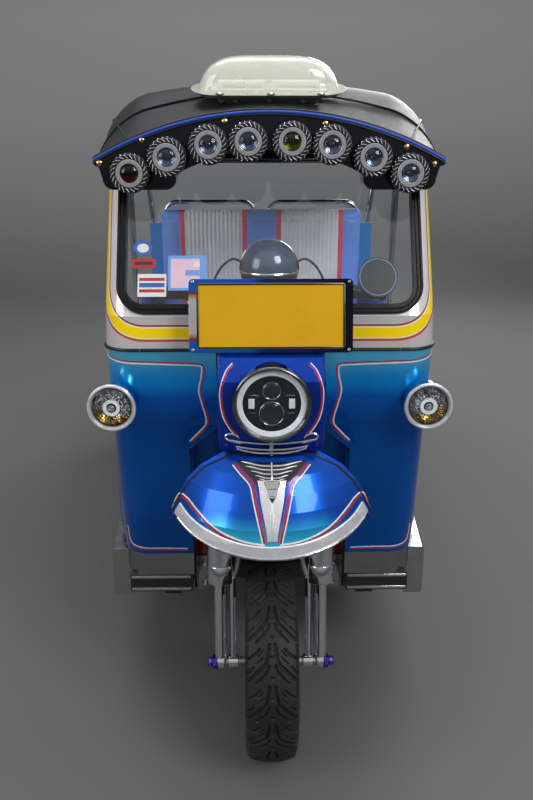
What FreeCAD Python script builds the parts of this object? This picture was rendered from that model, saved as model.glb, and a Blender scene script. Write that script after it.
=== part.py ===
import FreeCAD, Part
import os
from math import acos, atan2, cos, degrees, pi, radians, sin, tan

# Three-wheeled passenger auto rickshaw, in millimetres.
# -Y is forward, +X is the right of a viewer who faces the front, +Z is up.
# The origin is on the ground, under the middle of the vehicle.
# Places along the vehicle are given from the axle that they move with.

V = FreeCAD.Vector
SEAT_GAP = 0.3          # clearance of a piece that is seated but not fused
RUN_GAP = 0.06          # radial clearance of a shaft that turns in its bore

# Overall layout
HALF_LENGTH = 1520.0
WHEELBASE = 2100.0
FRONT_TYRE_R = 243.0
REAR_TYRE_R = 254.0
FRONT_AXLE_Y = FRONT_TYRE_R - HALF_LENGTH
REAR_AXLE_Y = FRONT_AXLE_Y + WHEELBASE
REAR_TRACK = 1130.0
REAR_WHEEL_X = REAR_TRACK / 2

# Wheels
RIM_R = 152.0
RIM_WALL = 4.0
FRONT_TYRE_W = 130.0
REAR_TYRE_W = 145.0
TREAD_DROP = 11.0
RIM_FLANGE = 10.0
FLANGE_T = 5.0
HUB_R = 42.0
HUB_W = 92.0
FRONT_AXLE_R = 12.0
REAR_STUB_R = 17.5
DISC_T = 8.0
DISC_OFFSET = 20.0
DISC_HOLES = 5
DISC_HOLE_R = 17.0
DISC_HOLE_PCD_R = 92.0

# Steering
RAKE = 11.0
TRAIL_OFFSET = 12.0
STEM_R = 17.0
HEAD_TUBE_R = 27.0
HEAD_TUBE_Z = (812.0, 960.0)
LEG_X = 130.0
LEG_UPPER_R = 32.0
LEG_LOWER_R = 16.0
LEG_SPLIT_Z = 500.0
LEG_TOP_Z = 775.0
YOKE_Z = 752.0
YOKE_T = 34.0
YOKE_AHEAD = 34.0
YOKE_BEHIND = 40.0
LUG_R = 21.0
LUG_T = 16.0
NUT_REACH = 22.0
STAY_X = 50.0
STAY_W = 30.0
STAY_T = 14.0
BAR_Z = 1165.0
BAR_R = 12.0
GRIP_R = 16.0
GRIP_LENGTH = 115.0
BAR_HALF = 300.0
BAR_SWEEP = 150.0
POD_R = 73.0
POD_H = 60.0
POD_EDGE_R = 26.0

# Frame and floor
RAIL_X = 275.0
RAIL_W = 50.0
RAIL_Z = (300.0, 370.0)
RAIL_Y = (FRONT_AXLE_Y + 237.0, HALF_LENGTH - 80.0)
CROSS_W = 40.0
CROSS_DROP = 10.0
CROSS_Y = (
    FRONT_AXLE_Y + 322.0, FRONT_AXLE_Y + 757.0, REAR_AXLE_Y - 723.0,
    REAR_AXLE_Y - 303.0, REAR_AXLE_Y + 357.0, HALF_LENGTH - 120.0,
)
HEAD_POST_R = 18.0
HEAD_STRUT_R = 16.0
HEAD_POST_TOP_Z = 900.0
FLOOR_T = 15.0
FLOOR_Z = RAIL_Z[1] + FLOOR_T
FLOOR_REAR_Y = REAR_AXLE_Y + 467.0
MAT_T = 3.0
MAT_HALF = 440.0
MAT_Y = (REAR_AXLE_Y - 793.0, REAR_AXLE_Y - 498.0)
SILL_FRONT_Y = FRONT_AXLE_Y + 247.0
SILL_REAR_Y = REAR_AXLE_Y - 618.0
SILL_Z = (290.0, 440.0)
SILL_W = 56.0
SILL_EDGE_R = 9.0
STEP_X = (215.0, 388.0)
STEP_SIZE = 54.0
STEP_FRONT_Y = FRONT_AXLE_Y + 183.0

# Front body
PANEL_WALL = 12.0
PANEL_BACK_Y = FRONT_AXLE_Y + 377.0
PANEL_BACK_X = 440.0
CORNER_R = 70.0
SEAM_Z = 1070.0
WELL_X = 206.0
NOSE_X = 124.0
# columns: height, inner edge, half-width, front face
FRONT_PANEL = (
    (464.0, WELL_X, 400.0, FRONT_AXLE_Y + 177.0),
    (590.0, WELL_X, 402.0, FRONT_AXLE_Y + 155.0),
    (790.0, WELL_X, 404.0, FRONT_AXLE_Y + 130.0),
    (862.0, NOSE_X + SEAT_GAP, 404.0, FRONT_AXLE_Y + 119.0),
    (SEAM_Z, NOSE_X + SEAT_GAP, 402.0, FRONT_AXLE_Y + 72.0),
)
BODY_FRONT_Y = FRONT_PANEL[-1][3]
SILL_FRONT_X = 390.0
LIP_Z = 395.0
LIP_BACK = 4.0
SHELF_DEPTH = 180.0
SHELF_T = 30.0
SHELF_BACK = 8.0
WELL_BACK_Y = FRONT_AXLE_Y + 292.0
WELL_TOP_Z = 838.0
WELL_CLEAR = 14.0
SHEET = 6.0

# Windscreen
SCREEN_CREASE = (BODY_FRONT_Y + 7.0, 1150.0)
SCREEN_TOP = (BODY_FRONT_Y + 208.0, 1545.0)
SCREEN_HALF = 400.0
SCREEN_TAPER = 4.0
FRAME_WALL = 22.0
FRAME_DEPTH = 120.0
OPENING_HALF = 358.0
OPENING_R = 62.0
OPENING_S = (12.0, 408.0)
SEAL_LAND = 16.0
SEAL_OVERLAP = 6.0
GLASS_T = 6.0
GLASS_IN = 9.0

# Nose and head lamp
NOSE_DEPTH = 133.0
NOSE_FACE_Y = BODY_FRONT_Y - NOSE_DEPTH
NOSE_BOTTOM_Z = 862.0
NOSE_CHIN = 22.0
NOSE_TOP_Z = 1074.0
NOSE_BROW = 44.0
NOSE_BACK = 70.0
NOSE_WALL = 5.0
NOSE_EDGE_R = 16.0
LAMP_PROUD = 27.0
LAMP_FACE_Y = NOSE_FACE_Y - LAMP_PROUD
LAMP_Z = 983.0
LAMP_R = 89.0
BEZEL_T = 7.0
BEZEL_EDGE_R = 6.0
LAMP_DEPTH = 50.0
# columns: height over the lamp's centre, radius
PROJECTORS = ((28.0, 21.0), (-26.0, 29.0))
COLUMN_ROOM = 60.0
COLUMN_AHEAD = 10.0
# columns: height over the nose's bottom, half-width
GRILLE_BARS = ((21.0, 96.0), (6.0, 82.0))
GRILLE_BAR_R = 3.0
GRILLE_RISE = 9.0
SPINE_W = 8.0

# Front fender
FENDER_WALL = 4.0
FENDER_TOP_Z = 845.0
# columns: height, half-width, front, rear corner
FENDER = (
    (640.0, 250.0, FRONT_AXLE_Y - 175.0, FRONT_AXLE_Y - 29.0),
    (675.0, 247.0, FRONT_AXLE_Y - 169.0, FRONT_AXLE_Y - 29.0),
    (707.0, 237.0, FRONT_AXLE_Y - 159.0, FRONT_AXLE_Y - 28.0),
    (742.0, 222.0, FRONT_AXLE_Y - 143.0, FRONT_AXLE_Y - 23.0),
    (777.0, 203.0, FRONT_AXLE_Y - 123.0, FRONT_AXLE_Y - 20.0),
    (813.0, 170.0, FRONT_AXLE_Y - 95.0, FRONT_AXLE_Y - 18.0),
    (FENDER_TOP_Z, 114.0, FRONT_AXLE_Y - 58.0, FRONT_AXLE_Y - 15.0),
)
# columns: place ahead of the axle, height
FENDER_LIP = ((29.0, 675.0), (45.0, 700.0), (168.0, 650.0))
FENDER_RIM_T = 4.0
FENDER_RIM_H = 26.0

# Plate
PLATE_SIZE = (340.0, 150.0)
PLATE_T = 2.0
PLATE_R = 7.0
PLATE_BORDER = (17.5, 9.0)
PLATE_FRAME_T = 8.0
PLATE_POCKET = 3.0
PLATE_Z = 1163.0
PLATE_ARM_X = 110.0
PLATE_ARM_R = 7.0
PLATE_ARM_GAP = 1.0
PLATE_Y = BODY_FRONT_Y - 51.0
PLATE_TILT = 14.0

# Side lamps
SIDE_LAMP_X = 386.0
SIDE_LAMP_Z = 928.0
SIDE_LAMP_R = 60.0
SIDE_LAMP_OUT = 26.0
SIDE_CUP_DEPTH = 28.0
SIDE_CUP_WALL = 8.0
# columns: place behind the cup, inner side, outer side, drop, rise
SHIELD = ((18.0, 34.0, 26.0, 44.0, 74.0), (116.0, 58.0, 30.0, 50.0, 106.0))

# Roof
CANOPY_T = 7.0
# columns: station, half-width, edge, haunch across and up, shoulder across and up, crown
CANOPY = (
    (FRONT_AXLE_Y + 177.0, 411.0, 1500.0, 361.0, 1525.5, 300.0, 1551.0, 1606.0),
    (FRONT_AXLE_Y + 477.0, 440.0, 1515.0, 405.0, 1602.0, 320.0, 1664.0, 1695.0),
    (FRONT_AXLE_Y + 877.0, 480.0, 1520.0, 442.0, 1612.0, 350.0, 1678.0, 1712.0),
    (REAR_AXLE_Y - 523.0, 570.0, 1520.0, 526.0, 1618.0, 420.0, 1690.0, 1728.0),
    (REAR_AXLE_Y + 277.0, 620.0, 1510.0, 574.0, 1606.0, 458.0, 1676.0, 1715.0),
    (REAR_AXLE_Y + 677.0, 600.0, 1490.0, 556.0, 1562.0, 442.0, 1622.0, 1660.0),
)
CANOPY_SKIRT = 45.0
CANOPY_LIP = 12.0
HEADER_FRONT_Y = CANOPY[0][0] - 4.0
HEADER_DEPTH = 110.0
HEADER_MIDDLE_Z = 1522.5
HEADER_STEP_Z = 1468.0
LOBE_X = (220.0, 392.0)
LOBE_Z = (1433.0, 1458.0)
HEADER_STANDOFF = 7.5
SPOT_R = 40.0
SPOT_DEPTH = 46.0
SPOT_BEZEL = 11.0
SPOT_RECESS = 9.0
# columns: distance from the middle, height
SPOTS = ((50.0, 1541.0), (141.0, 1534.0), (236.0, 1507.0), (322.0, 1472.0))
SIGN_FLANGE = (382.0, 150.0)
SIGN_TRAY_H = 10.0
SIGN_TRAY_TAPER = 30.0
SIGN_DOME = (328.0, 110.0)
SIGN_Y = CANOPY[0][0] + 145.0
SIGN_Z = 1665.0
SIGN_TILT = 16.0
SIGN_FOOT_X = 80.0
SIGN_FOOT_W = 28.0
SIGN_TOP = 1736.0

# Tube frame
POST_R = 14.0
BOW_R = 11.0
RAIL_INSET = 30.0
RAIL_DROP = 24.0
RAIL_BEND = 90.0
RAIL_END = 22.0
POST_BEND = 200.0
POST_FOOT = 160.0
CLAMP_GAP = 3.0
MID_POST_Y = REAR_AXLE_Y - 713.0
REAR_POST_Y = REAR_AXLE_Y + 277.0

# Seats
BOX_SHEET = 10.0
SEAT_BOX = (-300.0, 300.0, FRONT_AXLE_Y + 777.0, FRONT_AXLE_Y + 1297.0)
SEAT_BOX_TOP = 610.0
CUSHION_T = 110.0
CUSHION_IN = 15.0
SEAT_BACK_ROOM = 75.0
SEAT_BACK_T = 60.0
SEAT_BACK_TOP = 930.0
SEAT_BACK_IN = 25.0
CUSHION_R = 25.0

# Rear body
TUB_WALL = 15.0
TUB_INNER_X = REAR_WHEEL_X - REAR_TYRE_W / 2 - 22.5
TUB_OUTER_X = REAR_WHEEL_X - 10.0
TUB_LEDGE_Z = 560.0
TUB_TOP_Z = 880.0
TUB_Y = (SILL_REAR_Y, FLOOR_REAR_Y)
SILL_REAR_X = TUB_INNER_X + 10.0
BULKHEAD_Y = REAR_AXLE_Y + 147.0
BULKHEAD_TOP = 1150.0
FENDER_OUT_X = REAR_WHEEL_X + 115.0
ARCH_R = 306.0
ARCH_T = 6.0
ARCH_SKIRT = 46.0
BENCH_Y = (REAR_AXLE_Y - 473.0, REAR_AXLE_Y + 45.0)
BENCH_HALF = TUB_INNER_X - TUB_WALL - 1.0
BENCH_TOP = 630.0
BENCH_NOSE = 20.0
BENCH_CUSHION_T = 120.0
BENCH_CUSHION_HALF = TUB_OUTER_X - 45.0
BENCH_CUSHION_R = 28.0
BACKREST_T = 95.0
BACKREST_TOP = 1240.0
BACKREST_R = 26.0
HOOP_R = 11.0
HOOP_TOP = 1250.0
HOOP_BEND = 60.0
HOOP_X = (35.0, TUB_OUTER_X - 75.0)
TAIL_LAMP_X = (TUB_OUTER_X - 125.0, TUB_OUTER_X - 25.0)
TAIL_LAMP_Z = (640.0, 790.0)
TAIL_LAMP_T = 34.0
TAIL_LAMP_R = 10.0
BUMPER_R = 22.0
BUMPER_Z = 335.0
BUMPER_HALF = FENDER_OUT_X - 120.0
BUMPER_RETURN = 130.0
BUMPER_BEND = 60.0
BUMPER_ARM = 20.0
TOW_HALF = 35.0
TOW_T = 14.0
TOW_EYE_Y = HALF_LENGTH - 72.0
TOW_EYE_R = 11.0

# Drive line
ENGINE_BOX = (-190.0, 190.0, SEAT_BOX[2] + 40.0, SEAT_BOX[3] - 50.0, 205.0, 560.0)
ENGINE_ROOM = 15.0
AXLE_TUBE_R = 30.0
DIFF_R = 95.0
DIFF_HALF = 92.0
DRUM_R = 92.0
DRUM_W = 24.0
SHAFT_R = 20.0
SHAFT_Z = 275.0
SPRING_X = RAIL_X + RAIL_W / 2 + 36.0
LEAF_W = 50.0
LEAF_T = 9.0
LEAF_HALVES = (430.0, 330.0, 230.0)
SPRING_PAD = 6.0
HANGER_T = 24.0
PIPE_R = 18.0
PIPE_X = -120.0
PIPE_Z = 262.0
PIPE_OUT = 60.0
MUFFLER_R = 44.0
MUFFLER_Y = (CROSS_Y[2] + 70.0, CROSS_Y[2] + 330.0)
PIPE_END = REAR_AXLE_Y - 173.0


def box(x0, x1, y0, y1, z0, z1):
    """A block between two corners."""
    return Part.makeBox(x1 - x0, y1 - y0, z1 - z0, V(x0, y0, z0))


def rod(start, end, radius):
    """A round bar between two points."""
    way = V(*end) - V(*start)
    return Part.makeCylinder(radius, way.Length, V(*start), way)


def fuse(shapes):
    """One solid from pieces that meet."""
    return shapes[0].multiFuse(shapes[1:]).removeSplitter()


def face_of(points):
    """A flat face inside a closed run of points."""
    return Part.Face(Part.makePolygon([V(*p) for p in points] + [V(*points[0])]))


def mirrored(shape):
    """The same piece on the other side of the vehicle."""
    return shape.mirror(V(0, 0, 0), V(1, 0, 0))


def pair(shape):
    """A piece and its mirror image as two separate solids."""
    return Part.makeCompound([shape, mirrored(shape)])


def line(a, b):
    return Part.LineSegment(V(*a), V(*b)).toShape()


def arc(a, middle, b):
    return Part.Arc(V(*a), V(*middle), V(*b)).toShape()


def rounded_block(x0, x1, y0, y1, z0, z1, radius):
    """A block with all its edges rounded."""
    solid = box(x0, x1, y0, y1, z0, z1)
    return solid.makeFillet(radius, solid.Edges)


def bent_bar(points, radius, bend):
    """A round bar along straight runs with arcs at the corners."""
    corners = [V(*p) for p in points]
    edges = []
    last = corners[0]
    for before, corner, after in zip(corners, corners[1:], corners[2:]):
        way_in = (corner - before).normalize()
        way_out = (after - corner).normalize()
        turn = acos(max(-1.0, min(1.0, way_in.dot(way_out))))
        setback = bend * tan(turn / 2)
        start = corner - way_in * setback
        end = corner + way_out * setback
        inward = (way_out - way_in).normalize()
        middle = corner + inward * (bend / cos(turn / 2) - bend)
        edges.append(Part.LineSegment(last, start).toShape())
        edges.append(Part.Arc(start, middle, end).toShape())
        last = end
    edges.append(Part.LineSegment(last, corners[-1]).toShape())
    path = Part.Wire(edges)
    first_way = corners[1] - corners[0]
    section = Part.Wire(Part.makeCircle(radius, corners[0], first_way))
    return path.makePipeShell([section], True, False)


def steer_point(z, ahead=0.0, x=0.0):
    """A point on the steering axis at a height, or a distance ahead of it."""
    y = FRONT_AXLE_Y + TRAIL_OFFSET + (z - FRONT_TYRE_R) * tan(radians(RAKE))
    return (x, y - ahead, z)


def leg_point(z, x):
    """A point on a fork leg's centre line, which runs through the axle."""
    return steer_point(z, TRAIL_OFFSET, x)


def screen_y(z):
    """Front face of the windscreen frame at a height above its crease."""
    slope = (SCREEN_TOP[0] - SCREEN_CREASE[0]) / (SCREEN_TOP[1] - SCREEN_CREASE[1])
    return SCREEN_CREASE[0] + (z - SCREEN_CREASE[1]) * slope


def screen_placement():
    """Frame of the windscreen's plane: X across, Y up the glass, Z outwards."""
    lean = degrees(atan2(SCREEN_TOP[1] - SCREEN_CREASE[1], SCREEN_TOP[0] - SCREEN_CREASE[0]))
    turn = FreeCAD.Rotation(V(1, 0, 0), lean)
    return FreeCAD.Placement(V(0, SCREEN_CREASE[0], SCREEN_CREASE[1]), turn)


def rounded_plate(half, low, high, radius, thickness, z=0.0):
    """A plate in its own XY plane with rounded corners, from z upwards."""
    plate = box(-half, half, low, high, z, z + thickness)
    upright = [e for e in plate.Edges if abs(e.tangentAt(e.FirstParameter).z) > 0.9]
    return plate.makeFillet(radius, upright)


def on_screen(shape):
    """Carry a piece from the plane of its drawing to the windscreen's plane."""
    moved = shape.copy()
    moved.Placement = screen_placement()
    return moved


def sill_x(y):
    """Inner face of the side sill at a station."""
    share = (y - SILL_FRONT_Y) / (SILL_REAR_Y - SILL_FRONT_Y)
    return SILL_FRONT_X + (SILL_REAR_X - SILL_FRONT_X) * share


def chassis_rails():
    """Side rails, cross-members and the head frame, welded together."""
    pieces = []
    low, high = RAIL_Z[0] + CROSS_DROP, RAIL_Z[1] - CROSS_DROP
    inner, outer = RAIL_X - RAIL_W / 2, RAIL_X + RAIL_W / 2
    for side in (-1, 1):
        middle = side * RAIL_X
        pieces.append(box(middle - RAIL_W / 2, middle + RAIL_W / 2, *RAIL_Y, *RAIL_Z))
    for y in CROSS_Y:
        y0, y1 = y - CROSS_W / 2, y + CROSS_W / 2
        pieces.append(box(-inner, inner, y0, y1, low, high))
        if y1 < SILL_REAR_Y:
            reach = min(sill_x(y0), sill_x(y1))
            pieces.append(box(outer, reach, y0, y1, low, high))
            pieces.append(box(-reach, -outer, y0, y1, low, high))
    return fuse(pieces + [head_frame()])


def head_frame():
    """Two posts with struts to the tube that the steering stem turns in."""
    post_y = WELL_BACK_Y + HEAD_POST_R + 4.0
    top = HEAD_POST_TOP_Z
    pieces = [rod((-RAIL_X, post_y, top), (RAIL_X, post_y, top), HEAD_POST_R)]
    for side in (-1, 1):
        x = side * RAIL_X
        pieces.append(rod((x, post_y, RAIL_Z[1]), (x, post_y, top), HEAD_POST_R))
        pieces.append(rod((x, post_y, top), steer_point(top + 5.0), HEAD_STRUT_R))
    pieces.append(rod(steer_point(HEAD_TUBE_Z[0]), steer_point(HEAD_TUBE_Z[1]), HEAD_TUBE_R))
    bore = rod(steer_point(HEAD_TUBE_Z[0] - 40.0), steer_point(HEAD_TUBE_Z[1] + 40.0), STEM_R + RUN_GAP)
    return fuse(pieces).cut(bore)


def floor_pan():
    """Floor sheet with room for the wheel well and the engine, and the passengers' mat."""
    half_well = WELL_X + SHEET
    outline = [
        (-half_well, WELL_BACK_Y), (half_well, WELL_BACK_Y), (half_well, RAIL_Y[0]),
        (SILL_FRONT_X, RAIL_Y[0]), (SILL_FRONT_X, SILL_FRONT_Y), (SILL_REAR_X, SILL_REAR_Y),
        (TUB_INNER_X, SILL_REAR_Y), (TUB_INNER_X, FLOOR_REAR_Y),
    ]
    outline += [(-x, y) for x, y in reversed(outline[2:])]
    pan = face_of([(x, y, RAIL_Z[1]) for x, y in outline]).extrude(V(0, 0, FLOOR_T))
    post_y = WELL_BACK_Y + HEAD_POST_R + 4.0
    for side in (-1, 1):
        x = side * RAIL_X
        post = rod((x, post_y, RAIL_Z[0]), (x, post_y, HEAD_POST_TOP_Z), HEAD_POST_R + SEAT_GAP)
        pan = pan.cut(post)
    x0, x1, y0, y1, z0, z1 = ENGINE_BOX
    room = box(x0 - ENGINE_ROOM, x1 + ENGINE_ROOM, y0 - ENGINE_ROOM, y1 + ENGINE_ROOM, z0, z1)
    mat = box(-MAT_HALF, MAT_HALF, *MAT_Y, FLOOR_Z, FLOOR_Z + MAT_T)
    return fuse([pan.cut(room), mat])


def side_sills():
    outline = [
        (SILL_FRONT_X, SILL_FRONT_Y), (SILL_FRONT_X + SILL_W, SILL_FRONT_Y),
        (SILL_REAR_X + SILL_W, SILL_REAR_Y), (SILL_REAR_X, SILL_REAR_Y),
    ]
    face = face_of([(x, y, SILL_Z[0]) for x, y in outline])
    sill = face.extrude(V(0, 0, SILL_Z[1] - SILL_Z[0]))
    long_edges = [e for e in sill.Edges if e.Length > (SILL_REAR_Y - SILL_FRONT_Y) * 0.9]
    return pair(sill.makeFillet(SILL_EDGE_R, long_edges))


def front_steps():
    z0 = LIP_Z - STEP_SIZE
    tube = box(STEP_X[0], STEP_X[1], STEP_FRONT_Y, RAIL_Y[0], z0, LIP_Z)
    return pair(tube)


def panel_section(z, inner, half, front, wall):
    """Closed plan outline of one front panel: face, round corner and cheek."""
    bend = CORNER_R
    back_in = wall
    mid = bend * (1 - cos(radians(45)))
    inner_bend = bend - wall
    inner_mid = inner_bend * (1 - cos(radians(45)))
    corner = front + bend
    edges = [
        line((inner, front, z), (half - bend, front, z)),
        arc((half - bend, front, z), (half - mid, front + mid, z), (half, corner, z)),
        line((half, corner, z), (PANEL_BACK_X, PANEL_BACK_Y, z)),
        line((PANEL_BACK_X, PANEL_BACK_Y, z), (PANEL_BACK_X - back_in, PANEL_BACK_Y, z)),
        line((PANEL_BACK_X - back_in, PANEL_BACK_Y, z), (half - wall, corner, z)),
        arc((half - wall, corner, z),
            (half - wall - inner_mid, front + wall + inner_mid, z),
            (half - bend, front + wall, z)),
        line((half - bend, front + wall, z), (inner, front + wall, z)),
        line((inner, front + wall, z), (inner, front, z)),
    ]
    return Part.Wire(edges)


def front_panel():
    sections = [panel_section(*row, PANEL_WALL) for row in FRONT_PANEL]
    return Part.makeLoft(sections, True, True)


def sill_plates():
    z, inner, half, front = FRONT_PANEL[0]
    low = panel_section(LIP_Z, inner, half, front + LIP_BACK, SHEET)
    high = panel_section(z, inner, half, front + LIP_BACK, SHEET)
    plate = Part.makeLoft([low, high], True, True)
    keep = box(0, PANEL_BACK_X, front, SILL_FRONT_Y - SEAT_GAP, 0, z)
    return pair(plate.common(keep))


def wheel_housing():
    z0 = RAIL_Z[1]
    front = FRONT_PANEL[2][3] + PANEL_WALL + WELL_CLEAR
    outer = box(-WELL_X, WELL_X, front, WELL_BACK_Y, z0, WELL_TOP_Z)
    side = WELL_X - SHEET
    inner = box(-side, side, front - 1, WELL_BACK_Y - SHEET, z0 - 1, WELL_TOP_Z - SHEET)
    hole = rod(steer_point(YOKE_Z), steer_point(HEAD_TUBE_Z[1]), HEAD_TUBE_R + 3.0)
    return outer.cut(inner).cut(hole)


def dash_panel():
    """Shelf behind the windscreen, open round the steering column."""
    y0 = BODY_FRONT_Y + CORNER_R + SHELF_BACK
    y1 = y0 + SHELF_DEPTH
    half = FRONT_PANEL[-1][2] - PANEL_WALL - SEAT_GAP
    shelf = box(-half, half, y0, y1, SEAM_Z - SHELF_T, SEAM_Z - SEAT_GAP)
    slot_end = steer_point(SEAM_Z)[1] + COLUMN_ROOM - 10.0
    slot = box(-COLUMN_ROOM, COLUMN_ROOM, y0 - 1.0, slot_end, SEAM_Z - SHELF_T - 1.0, SEAM_Z + 1.0)
    return shelf.cut(slot)


def frame_section(z, front, half):
    """U-shaped plan outline of the windscreen frame at a height."""
    bend = CORNER_R
    mid = bend * (1 - cos(radians(45)))
    wall = FRAME_WALL
    inner_bend = bend - wall
    inner_mid = inner_bend * (1 - cos(radians(45)))
    corner = front + bend
    back = front + FRAME_DEPTH
    edges = [
        line((-half, back, z), (-half, corner, z)),
        arc((-half, corner, z), (-half + mid, front + mid, z), (-half + bend, front, z)),
        line((-half + bend, front, z), (half - bend, front, z)),
        arc((half - bend, front, z), (half - mid, front + mid, z), (half, corner, z)),
        line((half, corner, z), (half, back, z)),
        line((half, back, z), (half - wall, back, z)),
        line((half - wall, back, z), (half - wall, corner, z)),
        arc((half - wall, corner, z),
            (half - wall - inner_mid, front + wall + inner_mid, z),
            (half - bend, front + wall, z)),
        line((half - bend, front + wall, z), (-half + bend, front + wall, z)),
        arc((-half + bend, front + wall, z),
            (-half + wall + inner_mid, front + wall + inner_mid, z),
            (-half + wall, corner, z)),
        line((-half + wall, corner, z), (-half + wall, back, z)),
        line((-half + wall, back, z), (-half, back, z)),
    ]
    return Part.Wire(edges)


def windscreen_frame():
    sections = [
        frame_section(SEAM_Z, BODY_FRONT_Y, FRONT_PANEL[-1][2]),
        frame_section(SCREEN_CREASE[1], SCREEN_CREASE[0], SCREEN_HALF),
        frame_section(SCREEN_TOP[1], SCREEN_TOP[0], SCREEN_HALF - SCREEN_TAPER),
    ]
    shell = Part.makeLoft(sections, True, True)
    window = rounded_plate(OPENING_HALF, *OPENING_S, OPENING_R, FRAME_DEPTH, -FRAME_DEPTH * 2 / 3)
    return shell.cut(on_screen(window)).cut(canopy_room(-CANOPY_T - SEAT_GAP, above=True))


def screen_plate(inset, thickness, z):
    """A plate with the windscreen opening's outline, drawn in by an inset."""
    low, high = OPENING_S
    return rounded_plate(OPENING_HALF - inset, low + inset, high - inset, OPENING_R - inset, thickness, z)


def windscreen_gasket():
    outer = screen_plate(-SEAL_OVERLAP, SEAL_OVERLAP + 1.0, 0.0)
    body = screen_plate(0.0, FRAME_WALL, -FRAME_WALL + 1.0)
    hole = screen_plate(SEAL_LAND, FRAME_DEPTH, -FRAME_DEPTH / 2)
    pocket = screen_plate(SEAL_OVERLAP, GLASS_T, -GLASS_IN)
    return on_screen(outer.fuse(body).cut(hole).cut(pocket))


def windscreen_glass():
    return on_screen(screen_plate(SEAL_OVERLAP, GLASS_T, -GLASS_IN))


def nose_cowl():
    """Box nose with a chamfered chin and brow, open behind for the steering head."""
    face_y, back_y = NOSE_FACE_Y, BODY_FRONT_Y + NOSE_BACK
    seam_z = SEAM_Z - SEAT_GAP
    profile = [
        (back_y, NOSE_BOTTOM_Z), (face_y + NOSE_CHIN * 0.65, NOSE_BOTTOM_Z),
        (face_y, NOSE_BOTTOM_Z + NOSE_CHIN), (face_y, NOSE_TOP_Z - NOSE_BROW), (face_y + NOSE_BROW, NOSE_TOP_Z),
        (BODY_FRONT_Y - SEAT_GAP, NOSE_TOP_Z + NOSE_EDGE_R), (BODY_FRONT_Y - SEAT_GAP, seam_z),
        (back_y, seam_z),
    ]
    solid = face_of([(-NOSE_X, y, z) for y, z in profile]).extrude(V(2 * NOSE_X, 0, 0))
    front_edges = [
        e for e in solid.Edges
        if all(v.Point.y < face_y + NOSE_BROW + NOSE_EDGE_R for v in e.Vertexes)
        and abs(abs(e.CenterOfMass.x) - NOSE_X) < 1.0
    ]
    solid = solid.makeFillet(NOSE_EDGE_R, front_edges)
    inner_x = NOSE_X - NOSE_WALL
    hollow_top = seam_z - CANOPY_T * 1.6
    floor_z = NOSE_BOTTOM_Z + NOSE_WALL
    hollow = box(-inner_x, inner_x, face_y + LAMP_DEPTH * 0.6, back_y + 1.0, floor_z, hollow_top)
    socket = rod((0, face_y - 1.0, LAMP_Z), (0, face_y + LAMP_DEPTH + 10.0, LAMP_Z), LAMP_R - NOSE_WALL - 1.0)
    slot_y = BODY_FRONT_Y + COLUMN_AHEAD
    column = box(-COLUMN_ROOM, COLUMN_ROOM, slot_y, back_y + 1.0, NOSE_BOTTOM_Z - 1.0, hollow_top)
    return solid.cut(hollow).cut(socket).cut(column)


def head_lamp_bezel():
    outer = rod((0, LAMP_FACE_Y, LAMP_Z), (0, NOSE_FACE_Y, LAMP_Z), LAMP_R)
    bore = rod((0, LAMP_FACE_Y - 1, LAMP_Z), (0, NOSE_FACE_Y + 1, LAMP_Z), LAMP_R - BEZEL_T)
    front = [e for e in outer.Edges if abs(e.CenterOfMass.y - LAMP_FACE_Y) < 0.1]
    return outer.makeFillet(BEZEL_EDGE_R, front).cut(bore)


def head_lamp_unit():
    """Bowl with two projectors inside the bezel."""
    radius = LAMP_R - BEZEL_T - SEAT_GAP
    front = LAMP_FACE_Y + LAMP_PROUD * 0.6
    back = NOSE_FACE_Y + LAMP_DEPTH
    body = rod((0, front, LAMP_Z), (0, back, LAMP_Z), radius)
    bowl = rod((0, front - 1.0, LAMP_Z), (0, back - 40.0, LAMP_Z), radius - 16.0)
    pieces = [body.cut(bowl)]
    for rise, r in PROJECTORS:
        z = LAMP_Z + rise
        pieces.append(rod((0, front + 10.0, z), (0, back - 10.0, z), r))
    return fuse(pieces)


def head_lamp_glass():
    radius = LAMP_R - BEZEL_T - SEAT_GAP
    front = LAMP_FACE_Y + LAMP_PROUD * 0.2
    return rod((0, front, LAMP_Z), (0, front + GLASS_T, LAMP_Z), radius)


def nose_grille():
    """Curved chrome bars under the head lamp, joined by a spine."""
    y = NOSE_FACE_Y - GRILLE_BAR_R
    bars = []
    for rise, half in GRILLE_BARS:
        z = NOSE_BOTTOM_Z + rise
        bow = arc((-half, y, z + GRILLE_RISE), (0, y, z), (half, y, z + GRILLE_RISE))
        way = bow.tangentAt(bow.FirstParameter)
        section = Part.Wire(Part.makeCircle(GRILLE_BAR_R, V(-half, y, z + GRILLE_RISE), way))
        bars.append(Part.Wire([bow]).makePipeShell([section], True, False))
    low, high = NOSE_BOTTOM_Z + GRILLE_BARS[-1][0] - 2.0, NOSE_BOTTOM_Z + GRILLE_BARS[0][0] + 5.0
    spine = box(-SPINE_W / 2, SPINE_W / 2, y - 1.0, NOSE_FACE_Y, low, high)
    return fuse(bars + [spine])


def plate_outline(grow_x, grow_y, radius, thickness, z):
    """A rounded plate as large as the number plate and a margin, in its own plane."""
    width, height = PLATE_SIZE
    return rounded_plate(width / 2 + grow_x, -height / 2 - grow_y, height / 2 + grow_y, radius, thickness, z)


def plate_placement():
    turn = FreeCAD.Rotation(V(1, 0, 0), 90.0 - PLATE_TILT)
    return FreeCAD.Placement(V(0, PLATE_Y, PLATE_Z), turn)


def plate_piece(shape):
    moved = shape.copy()
    moved.Placement = plate_placement()
    return moved


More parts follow.
